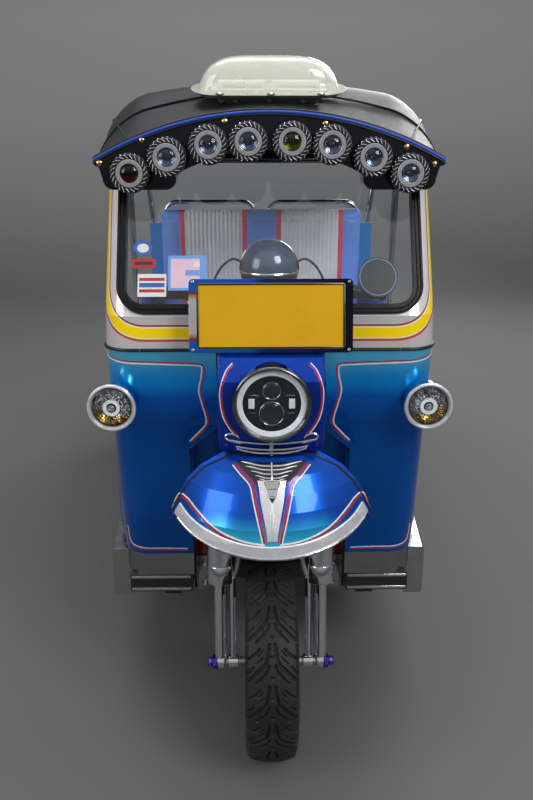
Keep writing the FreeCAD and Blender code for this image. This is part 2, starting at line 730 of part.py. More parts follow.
def plate_holder():
    body = plate_outline(*PLATE_BORDER, PLATE_R + 3.0, PLATE_FRAME_T, -PLATE_FRAME_T / 2)
    floor = PLATE_FRAME_T / 2 - PLATE_POCKET
    pocket = plate_outline(0.0, 0.0, PLATE_R - 1.0, PLATE_FRAME_T, floor)
    holder = plate_piece(body.cut(pocket))
    arm_z = (SEAM_Z + SCREEN_CREASE[1]) / 2
    wall_y = (BODY_FRONT_Y + SCREEN_CREASE[0]) / 2
    slope = tan(radians(PLATE_TILT))
    back_y = PLATE_Y + (arm_z - PLATE_Z) * slope + PLATE_ARM_R * slope
    arms = []
    for x in (-PLATE_ARM_X, PLATE_ARM_X):
        arms.append(rod((x, back_y, arm_z), (x, wall_y - PLATE_ARM_GAP, arm_z), PLATE_ARM_R))
    return fuse([holder] + arms)


def number_plate():
    floor = PLATE_FRAME_T / 2 - PLATE_POCKET
    return plate_piece(plate_outline(-SEAT_GAP, -SEAT_GAP, PLATE_R, PLATE_T, floor + SEAT_GAP))


def side_lamp_housings():
    """Round cups on shield-shaped feet that follow the panel's corner."""
    front = FRONT_PANEL[-2][3] - SIDE_LAMP_OUT
    x, z = SIDE_LAMP_X, SIDE_LAMP_Z
    cup = rod((x, front - SIDE_CUP_DEPTH - 2.0, z), (x, front - 2.0, z), SIDE_LAMP_R)
    cup = cup.makeFillet(SIDE_CUP_WALL, [e for e in cup.Edges if e.CenterOfMass.y > front - SIDE_CUP_WALL])
    bore = rod((x, front - SIDE_CUP_DEPTH - 3.0, z), (x, front - 20.0, z), SIDE_LAMP_R - SIDE_CUP_WALL)
    sections = []
    for back, inner, outer, drop, rise in SHIELD:
        y = front - SHIELD[0][0] + 10.0 + back
        corners = [
            V(x - inner, y, z - drop), V(x + outer, y, z - drop),
            V(x + outer, y, z + rise), V(x - inner, y, z + rise),
        ]
        sections.append(Part.makePolygon(corners + corners[:1]))
    shield = Part.makeLoft(sections, True, True)
    outside = Part.makeLoft([panel_section(*row, PANEL_WALL) for row in FRONT_PANEL], True, True)
    cleared = cup.cut(bore).fuse(shield).cut(outside).cut(bore)
    front_piece = min(cleared.Solids, key=lambda s: s.CenterOfMass.y)
    return pair(front_piece)


def side_lamp_lenses():
    front = FRONT_PANEL[-2][3] - SIDE_LAMP_OUT
    start = (SIDE_LAMP_X, front - SIDE_CUP_DEPTH - 6.0, SIDE_LAMP_Z)
    end = (SIDE_LAMP_X, front - 20.0 - SEAT_GAP, SIDE_LAMP_Z)
    lens = rod(start, end, SIDE_LAMP_R - SIDE_CUP_WALL - SEAT_GAP)
    edge = [e for e in lens.Edges if e.CenterOfMass.y < start[1] + 1.0]
    return pair(lens.makeFillet(5.0, edge))


def canopy_arcs(row, offset=0.0):
    """The canopy's cross-section from right to left, moved out by an offset."""
    y, half, edge, haunch_x, haunch_z, shoulder_x, shoulder_z, crown = row
    # columns: across, up, share of the offset across, share up
    points = (
        (half, edge, 1.0, 0.0), (haunch_x, haunch_z, 0.8, 0.6),
        (shoulder_x, shoulder_z, 0.4, 0.9), (0.0, crown, 0.0, 1.0),
    )
    right = [(x + offset * a, y, z + offset * b) for x, z, a, b in points]
    left = [(-x, y, z) for x, y, z in right[:3]]
    return [
        arc(right[0], right[1], right[2]), arc(right[2], right[3], left[2]), arc(left[2], left[1], left[0]),
    ]


def canopy_section(row, drop):
    """Closed outline of the canopy's cloth at one station, skirts included."""
    outer = canopy_arcs(row)
    inner = canopy_arcs(row, -CANOPY_T)
    y, half, edge = row[:3]
    x = half - CANOPY_T
    return Part.Wire(outer + [
        line((-half, y, edge), (-half, y, edge - drop)),
        line((-half, y, edge - drop), (-x, y, edge - drop)),
        line((-x, y, edge - drop), (-x, y, edge)),
    ] + list(reversed(inner)) + [
        line((x, y, edge), (x, y, edge - drop)),
        line((x, y, edge - drop), (half, y, edge - drop)),
        line((half, y, edge - drop), (half, y, edge)),
    ])


def roof_canopy():
    sections = []
    for i, row in enumerate(CANOPY):
        sections.append(canopy_section(row, CANOPY_SKIRT if i else CANOPY_LIP))
    return Part.makeLoft(sections, True, True)


def canopy_room(offset, above):
    """All the room over, or under, the canopy's outer face moved out by an offset."""
    far = SIGN_TOP * 1.1 if above else SEAM_Z
    sections = []
    for row in CANOPY:
        arcs = canopy_arcs(row, offset)
        y, x, z = row[0], row[1] + offset, row[2]
        sections.append(Part.Wire(arcs + [
            line((-x, y, z), (-x, y, far)), line((-x, y, far), (x, y, far)), line((x, y, far), (x, y, z)),
        ]))
    return Part.makeLoft(sections, True, True)


def roof_header():
    """Black panel under the front lip of the canopy, with a lobe over each outer lamp."""
    y = HEADER_FRONT_Y
    t = CANOPY_T + SEAT_GAP
    row = (y,) + CANOPY[0][1:]
    top = canopy_arcs(row, -t)
    half, edge = row[1] - t, row[2]
    x0, x1 = LOBE_X
    z0, z1 = LOBE_Z
    r = z1 - z0
    mid = r * (1 - cos(radians(45)))
    corners = []
    for side in (-1, 1):
        corners.append([
            line((side * half, y, edge), (side * x1, y, z1)),
            arc((side * x1, y, z1), (side * (x1 - mid), y, z0 + mid), (side * (x1 - r), y, z0)),
            line((side * (x1 - r), y, z0), (side * (x0 + r), y, z0)),
            arc((side * (x0 + r), y, z0), (side * (x0 + mid), y, z0 + mid), (side * x0, y, z1)),
            line((side * x0, y, z1), (side * x0, y, HEADER_STEP_Z)),
        ])
    middle = arc((-x0, y, HEADER_STEP_Z), (0, y, HEADER_MIDDLE_Z), (x0, y, HEADER_STEP_Z))
    outline = Part.Wire(top + corners[0] + [middle] + list(reversed(corners[1])))
    block = Part.Face(outline).extrude(V(0, HEADER_DEPTH, 0))
    far = SCREEN_HALF * 2
    behind = box(-far, far, -far, far, -far, HEADER_STANDOFF)
    return block.cut(on_screen(behind))


def spot_cups(radius, start, end):
    """A round piece at every spot lamp, between two distances ahead of the header."""
    pieces = []
    for x, z in SPOTS:
        for side in (-1, 1):
            cup_start = (side * x, HEADER_FRONT_Y - start, z)
            pieces.append(rod(cup_start, (side * x, HEADER_FRONT_Y - end, z), radius))
    return pieces


def spot_lamps():
    cups = spot_cups(SPOT_R, SPOT_DEPTH, 0.0)
    bores = spot_cups(SPOT_R - SPOT_BEZEL + SEAT_GAP, SPOT_DEPTH + 1.0, SPOT_DEPTH - SPOT_RECESS - SEAT_GAP)
    return Part.makeCompound([cup.cut(bore) for cup, bore in zip(cups, bores)])


def spot_lamp_lenses():
    return Part.makeCompound(spot_cups(SPOT_R - SPOT_BEZEL, SPOT_DEPTH + 3.0, SPOT_DEPTH - SPOT_RECESS))


def sign_placement():
    return FreeCAD.Placement(V(0, SIGN_Y, SIGN_Z), FreeCAD.Rotation(V(1, 0, 0), SIGN_TILT))


def oval(length, width, z):
    """Stadium outline in the XY plane."""
    r = width / 2
    a = length / 2 - r
    return Part.Wire([
        line((-a, -r, z), (a, -r, z)),
        arc((a, -r, z), (a + r, 0, z), (a, r, z)),
        line((a, r, z), (-a, r, z)),
        arc((-a, r, z), (-a - r, 0, z), (-a, -r, z)),
    ])


def sign_base():
    """Shallow tray on two feet that stand on the canopy."""
    length, width = SIGN_FLANGE
    low = oval(length - SIGN_TRAY_TAPER, width - SIGN_TRAY_TAPER, -SIGN_TRAY_H)
    high = oval(length, width, 0.0)
    tray = Part.makeLoft([low, high], True, True)
    tray.Placement = sign_placement()
    over = box(-length, length, -width, width, 1.0 - SIGN_TRAY_H, length)
    over.Placement = sign_placement()
    feet = []
    for x in (-SIGN_FOOT_X, SIGN_FOOT_X):
        x0, x1 = x - SIGN_FOOT_W / 2, x + SIGN_FOOT_W / 2
        foot = box(x0, x1, SIGN_Y - width * 0.3, SIGN_Y + width * 0.3, CANOPY[0][2], SIGN_TOP)
        feet.append(foot.cut(over).cut(canopy_room(SEAT_GAP, above=False)))
    return fuse([tray] + feet)


def sign_dome():
    length, width = SIGN_DOME
    tilt = radians(SIGN_TILT)
    top = (SIGN_TOP - SIGN_Z) / cos(tilt) - width / 2 * tan(tilt) + 6.0
    low = oval(length, width, SEAT_GAP)
    mid = oval(length - 24.0, width - 24.0, top * 0.6)
    high = oval(length - 90.0, width - 70.0, top)
    dome = Part.makeLoft([low, mid, high], True, True)
    dome.Placement = sign_placement()
    return dome


def canopy_at(y):
    """Half-width, edge and crown of the canopy at a station."""
    for a, b in zip(CANOPY, CANOPY[1:]):
        if a[0] <= y <= b[0]:
            share = (y - a[0]) / (b[0] - a[0])
            return [a[i] + (b[i] - a[i]) * share for i in (1, 2, -1)]
    raise ValueError("no canopy over this station")


def rail_point(y):
    """Centre of the cant rail at a station."""
    half, edge, crown = canopy_at(y)
    return (half - RAIL_INSET, y, edge - RAIL_DROP)


def post(x, y, foot_z):
    """A post that stands upright on its foot and then leans to the cant rail."""
    return bent_bar([(x, y, foot_z), (x, y, foot_z + POST_FOOT), rail_point(y)], POST_R, POST_BEND)


def tube_frame():
    """Cant rails, roof bows and posts of bent tube."""
    clamp_x = SCREEN_HALF - SCREEN_TAPER - FRAME_WALL - POST_R - CLAMP_GAP
    clamp_z = rail_point(CANOPY[1][0])[2] - 6.0
    clamp_y = screen_y(clamp_z) + CORNER_R + HEAD_POST_R
    rail = [(clamp_x, clamp_y, clamp_z), (clamp_x, clamp_y + CORNER_R, clamp_z)]
    rail += [rail_point(row[0]) for row in CANOPY[1:-1]]
    rail.append(rail_point(CANOPY[-1][0] - RAIL_END))
    side = [
        bent_bar(rail, POST_R, RAIL_BEND),
        post(sill_x(MID_POST_Y) + SILL_W / 2, MID_POST_Y, SILL_Z[1] + SEAT_GAP),
        post(TUB_OUTER_X - TUB_WALL / 2 - 12.0, REAR_POST_Y, TUB_TOP_Z + SEAT_GAP),
    ]
    bows = []
    for row in CANOPY[2:5]:
        x, y, z = rail_point(row[0])
        top = row[-1] - CANOPY_T - BOW_R - SEAT_GAP
        bow = arc((-x, y, z), (0, y, top), (x, y, z))
        section = Part.Wire(Part.makeCircle(BOW_R, V(-x, y, z), bow.tangentAt(bow.FirstParameter)))
        bows.append(Part.Wire([bow]).makePipeShell([section], True, False))
    return fuse(side + [mirrored(p) for p in side] + bows)


def sheet_box(x0, x1, y0, y1, top):
    """A box of folded sheet on the floor, open below."""
    t = BOX_SHEET
    shell = box(x0, x1, y0, y1, FLOOR_Z, top)
    return shell.cut(box(x0 + t, x1 - t, y0 + t, y1 - t, FLOOR_Z - 1, top - t))


def seat_box():
    return sheet_box(*SEAT_BOX, SEAT_BOX_TOP)


def driver_seat():
    x0, x1, y0, y1 = SEAT_BOX
    top = SEAT_BOX_TOP + CUSHION_T
    return rounded_block(x0 + CUSHION_IN, x1 - CUSHION_IN, y0, y1 - SEAT_BACK_ROOM,
                         SEAT_BOX_TOP, top, CUSHION_R)


def driver_backrest():
    x0, x1, y0, y1 = SEAT_BOX
    back = y1 - 8.0
    return rounded_block(x0 + SEAT_BACK_IN, x1 - SEAT_BACK_IN, back - SEAT_BACK_T, back,
                         SEAT_BOX_TOP, SEAT_BACK_TOP, CUSHION_R - 3.0)


def bench_box():
    return sheet_box(-BENCH_HALF, BENCH_HALF, *BENCH_Y, BENCH_TOP)


def bench_cushion():
    y0, y1 = BENCH_Y
    half = BENCH_CUSHION_HALF
    top = BENCH_TOP + BENCH_CUSHION_T
    return rounded_block(-half, half, y0 - BENCH_NOSE, y1, BENCH_TOP, top, BENCH_CUSHION_R)


def bench_backrest():
    y1 = BULKHEAD_Y - SEAT_GAP
    half = BENCH_CUSHION_HALF
    return rounded_block(-half, half, y1 - BACKREST_T, y1, BENCH_TOP, BACKREST_TOP, BACKREST_R)


def rear_tub():
    """Sides with a ledge over each wheel, a bulkhead behind the bench, shelf and tail."""
    t = TUB_WALL
    y0, y1 = TUB_Y
    profile = [
        (TUB_INNER_X - t, FLOOR_Z), (TUB_INNER_X, FLOOR_Z), (TUB_INNER_X, TUB_LEDGE_Z),
        (TUB_OUTER_X, TUB_LEDGE_Z), (TUB_OUTER_X, TUB_TOP_Z), (TUB_OUTER_X - t, TUB_TOP_Z),
        (TUB_OUTER_X - t, TUB_LEDGE_Z + t), (TUB_INNER_X - t, TUB_LEDGE_Z + t),
    ]
    side = face_of([(x, y0, z) for x, z in profile]).extrude(V(0, y1 - y0, 0))
    back = box(-TUB_OUTER_X, TUB_OUTER_X, y1 - t, y1, FLOOR_Z, TUB_TOP_Z)
    bulkhead = box(-TUB_OUTER_X, TUB_OUTER_X, BULKHEAD_Y, BULKHEAD_Y + t, FLOOR_Z, BULKHEAD_TOP)
    shelf = box(-TUB_OUTER_X, TUB_OUTER_X, BULKHEAD_Y, y1, TUB_TOP_Z - t, TUB_TOP_Z)
    solid = fuse([side, mirrored(side), back, bulkhead, shelf])
    corners = box(-TUB_OUTER_X - 1, -TUB_INNER_X, BULKHEAD_Y - 1, y1 + 1, FLOOR_Z - 1, TUB_LEDGE_Z)
    return solid.cut(corners).cut(mirrored(corners))


def backrest_hoops():
    y = BULKHEAD_Y + TUB_WALL + HOOP_R + 1.0
    x0, x1 = HOOP_X
    run = [(x0, y, TUB_TOP_Z), (x0, y, HOOP_TOP), (x1, y, HOOP_TOP), (x1, y, TUB_TOP_Z)]
    hoop = bent_bar(run, HOOP_R, HOOP_BEND)
    return pair(hoop)


def rear_fenders():
    outer = FENDER_OUT_X
    profile = [
        (TUB_INNER_X, ARCH_R - ARCH_T), (outer - ARCH_T, ARCH_R - ARCH_T),
        (outer - ARCH_T, ARCH_R - ARCH_SKIRT), (outer, ARCH_R - ARCH_SKIRT), (outer, ARCH_R),
        (TUB_INNER_X, ARCH_R),
    ]
    face = face_of([(x, REAR_AXLE_Y - r, REAR_TYRE_R) for x, r in profile])
    arch = face.revolve(V(0, REAR_AXLE_Y, REAR_TYRE_R), V(-1, 0, 0), 180.0)
    return pair(arch)


def tail_lamps():
    y = TUB_Y[1]
    return pair(rounded_block(*TAIL_LAMP_X, y, y + TAIL_LAMP_T, *TAIL_LAMP_Z, TAIL_LAMP_R))


def rear_bumper():
    """Bent tube on two arms from the rails, with a plate and eye for towing."""
    y = HALF_LENGTH - BUMPER_R
    z = BUMPER_Z
    half = BUMPER_HALF
    run = [(-half, y - BUMPER_RETURN, z), (-half, y, z), (half, y, z), (half, y - BUMPER_RETURN, z)]
    pieces = [bent_bar(run, BUMPER_R, BUMPER_BEND)]
    for side in (-1, 1):
        x = side * RAIL_X
        pieces.append(box(x - BUMPER_ARM, x + BUMPER_ARM, RAIL_Y[1], y, z - TOW_T, z + TOW_T))
    tow_y = CROSS_Y[-1] + CROSS_W / 2 + SEAT_GAP
    pieces.append(box(-TOW_HALF, TOW_HALF, tow_y, y - 5.0, z - TOW_T / 2, z + TOW_T / 2))
    eye = rod((0, TOW_EYE_Y, z - TOW_T), (0, TOW_EYE_Y, z + TOW_T), TOW_EYE_R)
    return fuse(pieces).cut(eye)


def engine_block():
    return box(*ENGINE_BOX)


def rear_axle():
    """Axle tube with its differential, drums, leaf springs and drive shaft."""
    z = REAR_TYRE_R
    y = REAR_AXLE_Y
    end = REAR_WHEEL_X + HUB_W / 2 - 1.0
    drum_out = REAR_WHEEL_X - HUB_W / 2 - 2.0
    drum_in = REAR_WHEEL_X - REAR_TYRE_W / 2 - DRUM_W
    # columns: distance from the middle, radius
    profile = [
        (DIFF_HALF * 0.37, DIFF_R), (DIFF_HALF * 0.8, DIFF_R * 0.72), (DIFF_HALF, AXLE_TUBE_R),
        (drum_in, AXLE_TUBE_R), (drum_in, DRUM_R), (drum_out, DRUM_R),
        (drum_out, REAR_STUB_R), (end, REAR_STUB_R),
    ]
    outline = [(-x, 0.0, r) for x, r in reversed(profile)] + [(x, 0.0, r) for x, r in profile]
    outline += [(end, 0.0, 0.0), (-end, 0.0, 0.0)]
    axle = face_of(outline).revolve(V(0, 0, 0), V(1, 0, 0), 360.0)
    axle.translate(V(0, y, z))
    pieces = [axle, rod((0, ENGINE_BOX[3] + 1.0, SHAFT_Z), (0, y, z), SHAFT_R)]
    for side in (-1, 1):
        x = side * SPRING_X
        for level, half in enumerate(LEAF_HALVES):
            top = z - AXLE_TUBE_R - 8.0 - LEAF_T * level
            pieces.append(box(x - LEAF_W / 2, x + LEAF_W / 2, y - half, y + half, top - LEAF_T, top))
        pad = LEAF_W / 2 + SPRING_PAD
        pad_low = z - AXLE_TUBE_R - 8.0 - LEAF_T * len(LEAF_HALVES) - 11.0
        pieces.append(box(x - pad, x + pad, y - LEAF_W, y + LEAF_W, pad_low, z - 5.0))
        inner = side * (RAIL_X + RAIL_W / 2 + SEAT_GAP)
        outer = x + side * (LEAF_W / 2 - 7.0)
        for way in (-1, 1):
            hanger_y = y + way * (LEAF_HALVES[0] - 16.0)
            pieces.append(box(
                min(inner, outer), max(inner, outer), hanger_y - HANGER_T / 2, hanger_y + HANGER_T / 2,
                z - AXLE_TUBE_R - 12.0, RAIL_Z[0] + CROSS_W))
    return fuse(pieces)


def exhaust():
    """Pipe from the engine's rear face, with a silencer and a strap to a cross-member."""
    x, z = PIPE_X, PIPE_Z
    start = ENGINE_BOX[3] + SEAT_GAP
    bend = CROSS_Y[2] + 300.0
    outlet = x - PIPE_OUT
    pipe = bent_bar([(x, start, z), (x, bend, z), (outlet, PIPE_END - 30.0, z), (outlet, PIPE_END, z)],
                    PIPE_R, PIPE_OUT)
    muffler = rod((x, MUFFLER_Y[0], z), (x, MUFFLER_Y[1], z), MUFFLER_R)
    strap_y = CROSS_Y[3]
    strap_x = x - PIPE_OUT * (strap_y - bend) / (PIPE_END - 30.0 - bend)
    strap_top = RAIL_Z[0] + CROSS_DROP - SEAT_GAP
    strap = box(strap_x - 6.0, strap_x + 6.0, strap_y - 8.0, strap_y + 8.0, z, strap_top)
    return fuse([pipe, muffler, strap])


def fork():
    """Legs, yoke, stem, lugs and the bracket under the fender."""
    pieces = []
    for x in (-LEG_X, LEG_X):
        pieces.append(rod(leg_point(LEG_SPLIT_Z, x), leg_point(LEG_TOP_Z, x), LEG_UPPER_R))
        pieces.append(rod(leg_point(FRONT_TYRE_R, x), leg_point(LEG_SPLIT_Z, x), LEG_LOWER_R))
        axle = leg_point(FRONT_TYRE_R, x)
        pieces.append(rod((x - LUG_T / 2, axle[1], axle[2]), (x + LUG_T / 2, axle[1], axle[2]), LUG_R))
    yoke = box(-LEG_X, LEG_X, -YOKE_AHEAD, YOKE_BEHIND, -YOKE_T / 2, YOKE_T / 2)
    yoke.Placement = FreeCAD.Placement(V(*leg_point(YOKE_Z, 0.0)), FreeCAD.Rotation(V(1, 0, 0), -RAKE))
    pieces.append(yoke)
    pieces.append(rod(steer_point(YOKE_Z), steer_point(BAR_Z), STEM_R))
    stay_y = FENDER[-1][3] - STAY_T - 4.0
    yoke_y = leg_point(YOKE_Z, 0.0)[1]
    for side in (-1, 1):
        x0, x1 = side * STAY_X - STAY_W / 2, side * STAY_X + STAY_W / 2
        z0, z1 = YOKE_Z - STAY_T / 2, YOKE_Z + STAY_T / 2
        pieces.append(box(x0, x1, stay_y, yoke_y, z0, z1))
        pieces.append(box(x0, x1, stay_y, stay_y + STAY_T, z0, FENDER_TOP_Z - FENDER_WALL - SEAT_GAP))
    reach = LEG_X + LEG_UPPER_R
    end = (reach, FRONT_AXLE_Y, FRONT_TYRE_R)
    hole = rod((-reach, FRONT_AXLE_Y, FRONT_TYRE_R), end, FRONT_AXLE_R + RUN_GAP)
    return fuse(pieces).cut(hole)


def front_axle():
    half = LEG_X + LUG_T / 2 + NUT_REACH
    return rod((-half, FRONT_AXLE_Y, FRONT_TYRE_R), (half, FRONT_AXLE_Y, FRONT_TYRE_R), FRONT_AXLE_R)


def fender_section(z, half, front, rear, wall):
    """Closed plan outline of the front fender's shell at one height."""
    return Part.Wire([
        arc((-half, rear, z), (0, front, z), (half, rear, z)),
        line((half, rear, z), (half - wall, rear, z)),
        arc((half - wall, rear, z), (0, front + wall, z), (-half + wall, rear, z)),
        line((-half + wall, rear, z), (-half, rear, z)),
    ])


def fender_block(inset):
    """The fender as a filled form, drawn in by a wall on every side but the back."""
    sections = []
    for z, half, front, rear in FENDER:
        back = rear + inset
        drop = inset if z == FENDER_TOP_Z else 0.0
        grow = inset * (FENDER[-2][1] - half) / (FENDER_TOP_Z - FENDER[-2][0]) if drop else 0.0
        x = half - inset + grow
        sections.append(Part.Wire([
            arc((-x, back, z - drop), (0, front + inset - grow, z - drop), (x, back, z - drop)),
            line((x, back, z - drop), (-x, back, z - drop)),
        ]))
    return Part.makeLoft(sections, True, True)


def lip_cutter():
    """Everything below the lip of the front fender."""
    lip = [(FRONT_AXLE_Y - ahead, z) for ahead, z in FENDER_LIP]
    (y0, z0), (y1, z1), (y2, z2) = lip
    slope = (z2 - z1) / (y2 - y1)
    front_y = y2 - FRONT_TYRE_W
    low = FRONT_TYRE_R
    outline = [(y0 + FRONT_TYRE_W, z0), (y0, z0), (y1, z1), (front_y, z2 + slope * (front_y - y2)),
               (front_y, low), (y0 + FRONT_TYRE_W, low)]
    half = FENDER[0][1] * 1.5
    return face_of([(-half, y, z) for y, z in outline]).extrude(V(2 * half, 0, 0))


def front_fender():
    return fender_block(0.0).cut(fender_block(FENDER_WALL)).cut(lip_cutter())


def fender_rim():
    """Chrome strip round the lip of the front fender."""
    t = FENDER_RIM_T
    outer = [fender_section(z, half + t, front - t, rear, t) for z, half, front, rear in FENDER[:5]]
    band = Part.makeLoft(outer, True, True).cut(lip_cutter())
    shifted = lip_cutter()
    shifted.translate(V(0, 0, FENDER_RIM_H))
    ahead = FRONT_AXLE_Y - FENDER_LIP[1][0]
    half = FENDER[0][1] * 1.5
    front = box(-half, half, ahead - FRONT_TYRE_R, ahead, FRONT_TYRE_R, FENDER_TOP_Z)
    return band.common(shifted).common(front)


def handlebar():
    centre = steer_point(BAR_Z)
    y = centre[1]
    end = (BAR_HALF, y + BAR_SWEEP, BAR_Z - 10.0)
    knee = (BAR_HALF / 2, y + BAR_SWEEP * 0.47, BAR_Z + 10.0)
    rise = (BAR_HALF / 5, y, BAR_Z + 18.0)
    points = [(-p[0],) + p[1:] for p in (end, knee, rise)] + [rise, knee, end]
    bar = bent_bar(points, BAR_R, BAR_R * 3)
    clamp = box(-32, 32, y - 24, y + 24, BAR_Z + 4.0, BAR_Z + 32.0)
    way = (V(*knee) - V(*end)).normalize()
    grip = Part.makeCylinder(GRIP_R, GRIP_LENGTH, V(*end), way)
    return fuse([bar, clamp, grip, mirrored(grip)])


def instrument_pod():
    y = steer_point(BAR_Z)[1] + 50.0
    z0 = BAR_Z + 40.0
    drum = Part.makeCylinder(POD_R, POD_H, V(0, y, z0))
    top_edge = [e for e in drum.Edges if e.CenterOfMass.z > z0 + POD_H - 1.0]
    drum = drum.makeFillet(POD_EDGE_R, top_edge)
    neck = box(-24, 24, y - 60.0, y, BAR_Z + 32.0, z0 + 2.0)
    return drum.fuse(neck).removeSplitter()


def tyre(radius, width):
    """Tyre ring about the X axis at the origin."""
    a = RIM_R + SEAT_GAP
    half = width / 2
    shoulder = width * 0.43
    bead = width * 0.34
    wall = a + RIM_FLANGE + SEAT_GAP
    belly = (radius + wall) / 2
    drop = radius - TREAD_DROP
    profile = Part.Wire([
        arc((-shoulder, 0, drop), (0, 0, radius), (shoulder, 0, drop)),
        arc((shoulder, 0, drop), (half, 0, belly), (bead, 0, wall)),
        line((bead, 0, wall), (bead, 0, a)),
        line((bead, 0, a), (-bead, 0, a)),
        line((-bead, 0, a), (-bead, 0, wall)),
        arc((-bead, 0, wall), (-half, 0, belly), (-shoulder, 0, drop)),
    ])
    return Part.Face(profile).revolve(V(0, 0, 0), V(1, 0, 0), 360.0)


def rim(width, bore_r, dish):
    """Pressed wheel with its hub about the X axis at the origin."""
    bead = width * 0.34 + SEAT_GAP
    edge = bead - SEAT_GAP + FLANGE_T
    r = RIM_R
    barrel = [
        (-edge, r + RIM_FLANGE), (-bead, r + RIM_FLANGE), (-bead, r), (bead, r),
        (bead, r + RIM_FLANGE), (edge, r + RIM_FLANGE), (edge, r - RIM_WALL), (-edge, r - RIM_WALL),
    ]
    t = DISC_T / 2
    disc = [
        (dish - t, bore_r + 2.0), (dish + t, bore_r + 2.0),
        (dish + t, r - RIM_WALL + 1.0), (dish - t, r - RIM_WALL + 1.0),
    ]
    hub = [(-HUB_W / 2, bore_r), (HUB_W / 2, bore_r), (HUB_W / 2, HUB_R), (-HUB_W / 2, HUB_R)]
    solids = []
    for outline in (barrel, disc, hub):
        face = face_of([(x, 0, z) for x, z in outline])
        solids.append(face.revolve(V(0, 0, 0), V(1, 0, 0), 360.0))
    wheel = fuse(solids)
    for i in range(DISC_HOLES):
        angle = 2 * pi * i / DISC_HOLES
        y = DISC_HOLE_PCD_R * sin(angle)
        z = DISC_HOLE_PCD_R * cos(angle)
        wheel = wheel.cut(rod((dish - DISC_T, y, z), (dish + DISC_T, y, z), DISC_HOLE_R))
    return wheel


def placed(shape, x, y, z):
    moved = shape.copy()
    moved.translate(V(x, y, z))
    return moved


def build():
    """Every sub-part under its node's name."""
    panel = front_panel()
    front_rim = rim(FRONT_TYRE_W, FRONT_AXLE_R + RUN_GAP, 0.0)
    parts = {
        "chassis_rails": chassis_rails(),
        "floor_pan": floor_pan(),
        "side_sills": side_sills(),
        "front_steps": front_steps(),
        "front_panel_left": mirrored(panel),
        "front_panel_right": panel,
        "sill_plates": sill_plates(),
        "wheel_housing": wheel_housing(),
        "dash_panel": dash_panel(),
        "windscreen_frame": windscreen_frame(),
        "windscreen_gasket": windscreen_gasket(),
        "windscreen_glass": windscreen_glass(),
        "nose_cowl": nose_cowl(),
        "head_lamp_bezel": head_lamp_bezel(),
        "head_lamp_unit": head_lamp_unit(),
        "head_lamp_glass": head_lamp_glass(),
        "nose_grille": nose_grille(),
        "plate_holder": plate_holder(),
        "number_plate": number_plate(),
        "side_lamp_housings": side_lamp_housings(),
        "side_lamp_lenses": side_lamp_lenses(),
        "roof_canopy": roof_canopy(),
        "roof_header": roof_header(),
        "spot_lamps": spot_lamps(),
        "spot_lamp_lenses": spot_lamp_lenses(),
        "sign_base": sign_base(),
        "sign_dome": sign_dome(),
        "tube_frame": tube_frame(),
        "seat_box": seat_box(),
        "driver_seat": driver_seat(),
        "driver_backrest": driver_backrest(),
        "bench_box": bench_box(),
        "bench_cushion": bench_cushion(),
        "bench_backrest": bench_backrest(),
        "backrest_hoops": backrest_hoops(),
        "rear_tub": rear_tub(),
        "rear_fenders": rear_fenders(),
        "tail_lamps": tail_lamps(),
        "rear_bumper": rear_bumper(),
        "engine_block": engine_block(),
        "rear_axle": rear_axle(),
        "exhaust": exhaust(),
        "fork": fork(),
        "front_axle": front_axle(),
        "front_fender": front_fender(),
        "fender_rim": fender_rim(),
        "handlebar": handlebar(),
        "instrument_pod": instrument_pod(),
        "front_tyre": placed(tyre(FRONT_TYRE_R, FRONT_TYRE_W), 0, FRONT_AXLE_Y, FRONT_TYRE_R),
        "front_wheel_rim": placed(front_rim, 0, FRONT_AXLE_Y, FRONT_TYRE_R),
    }
    for name, side in (("left", -1), ("right", 1)):
        ring = tyre(REAR_TYRE_R, REAR_TYRE_W)
        wheel = rim(REAR_TYRE_W, REAR_STUB_R + RUN_GAP, side * DISC_OFFSET)
        parts["rear_tyre_" + name] = placed(ring, side * REAR_WHEEL_X, REAR_AXLE_Y, REAR_TYRE_R)
        parts["rear_wheel_rim_" + name] = placed(wheel, side * REAR_WHEEL_X, REAR_AXLE_Y, REAR_TYRE_R)
    return parts


def main():
    os.makedirs("parts", exist_ok=True)
    for name, shape in build().items():
        solids = shape.Solids
        print(name, len(solids), "valid" if shape.isValid() else "BROKEN", round(sum(s.Volume for s in solids) / 1e6, 3))
        Part.makeCompound(solids).exportStep(os.path.join("parts", name + ".step"))


main()
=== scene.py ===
# %% [markdown]
# # Dressing a three-wheeled auto rickshaw
# The vehicle comes from CAD as bare solids. This lesson gives each solid its finish and adds what
# CAD leaves out: stripes, lamps, stitched seats, tyre tread. Everything is in metres. Minus Y is
# forward, plus X is the right of a viewer who faces the front, and Z is up from the ground.

# %% Load the frame
from math import atan2, cos, hypot, pi, radians, sin, tan

import bmesh
import bpy
from mathutils import Matrix, Vector
from mathutils.bvhtree import BVHTree


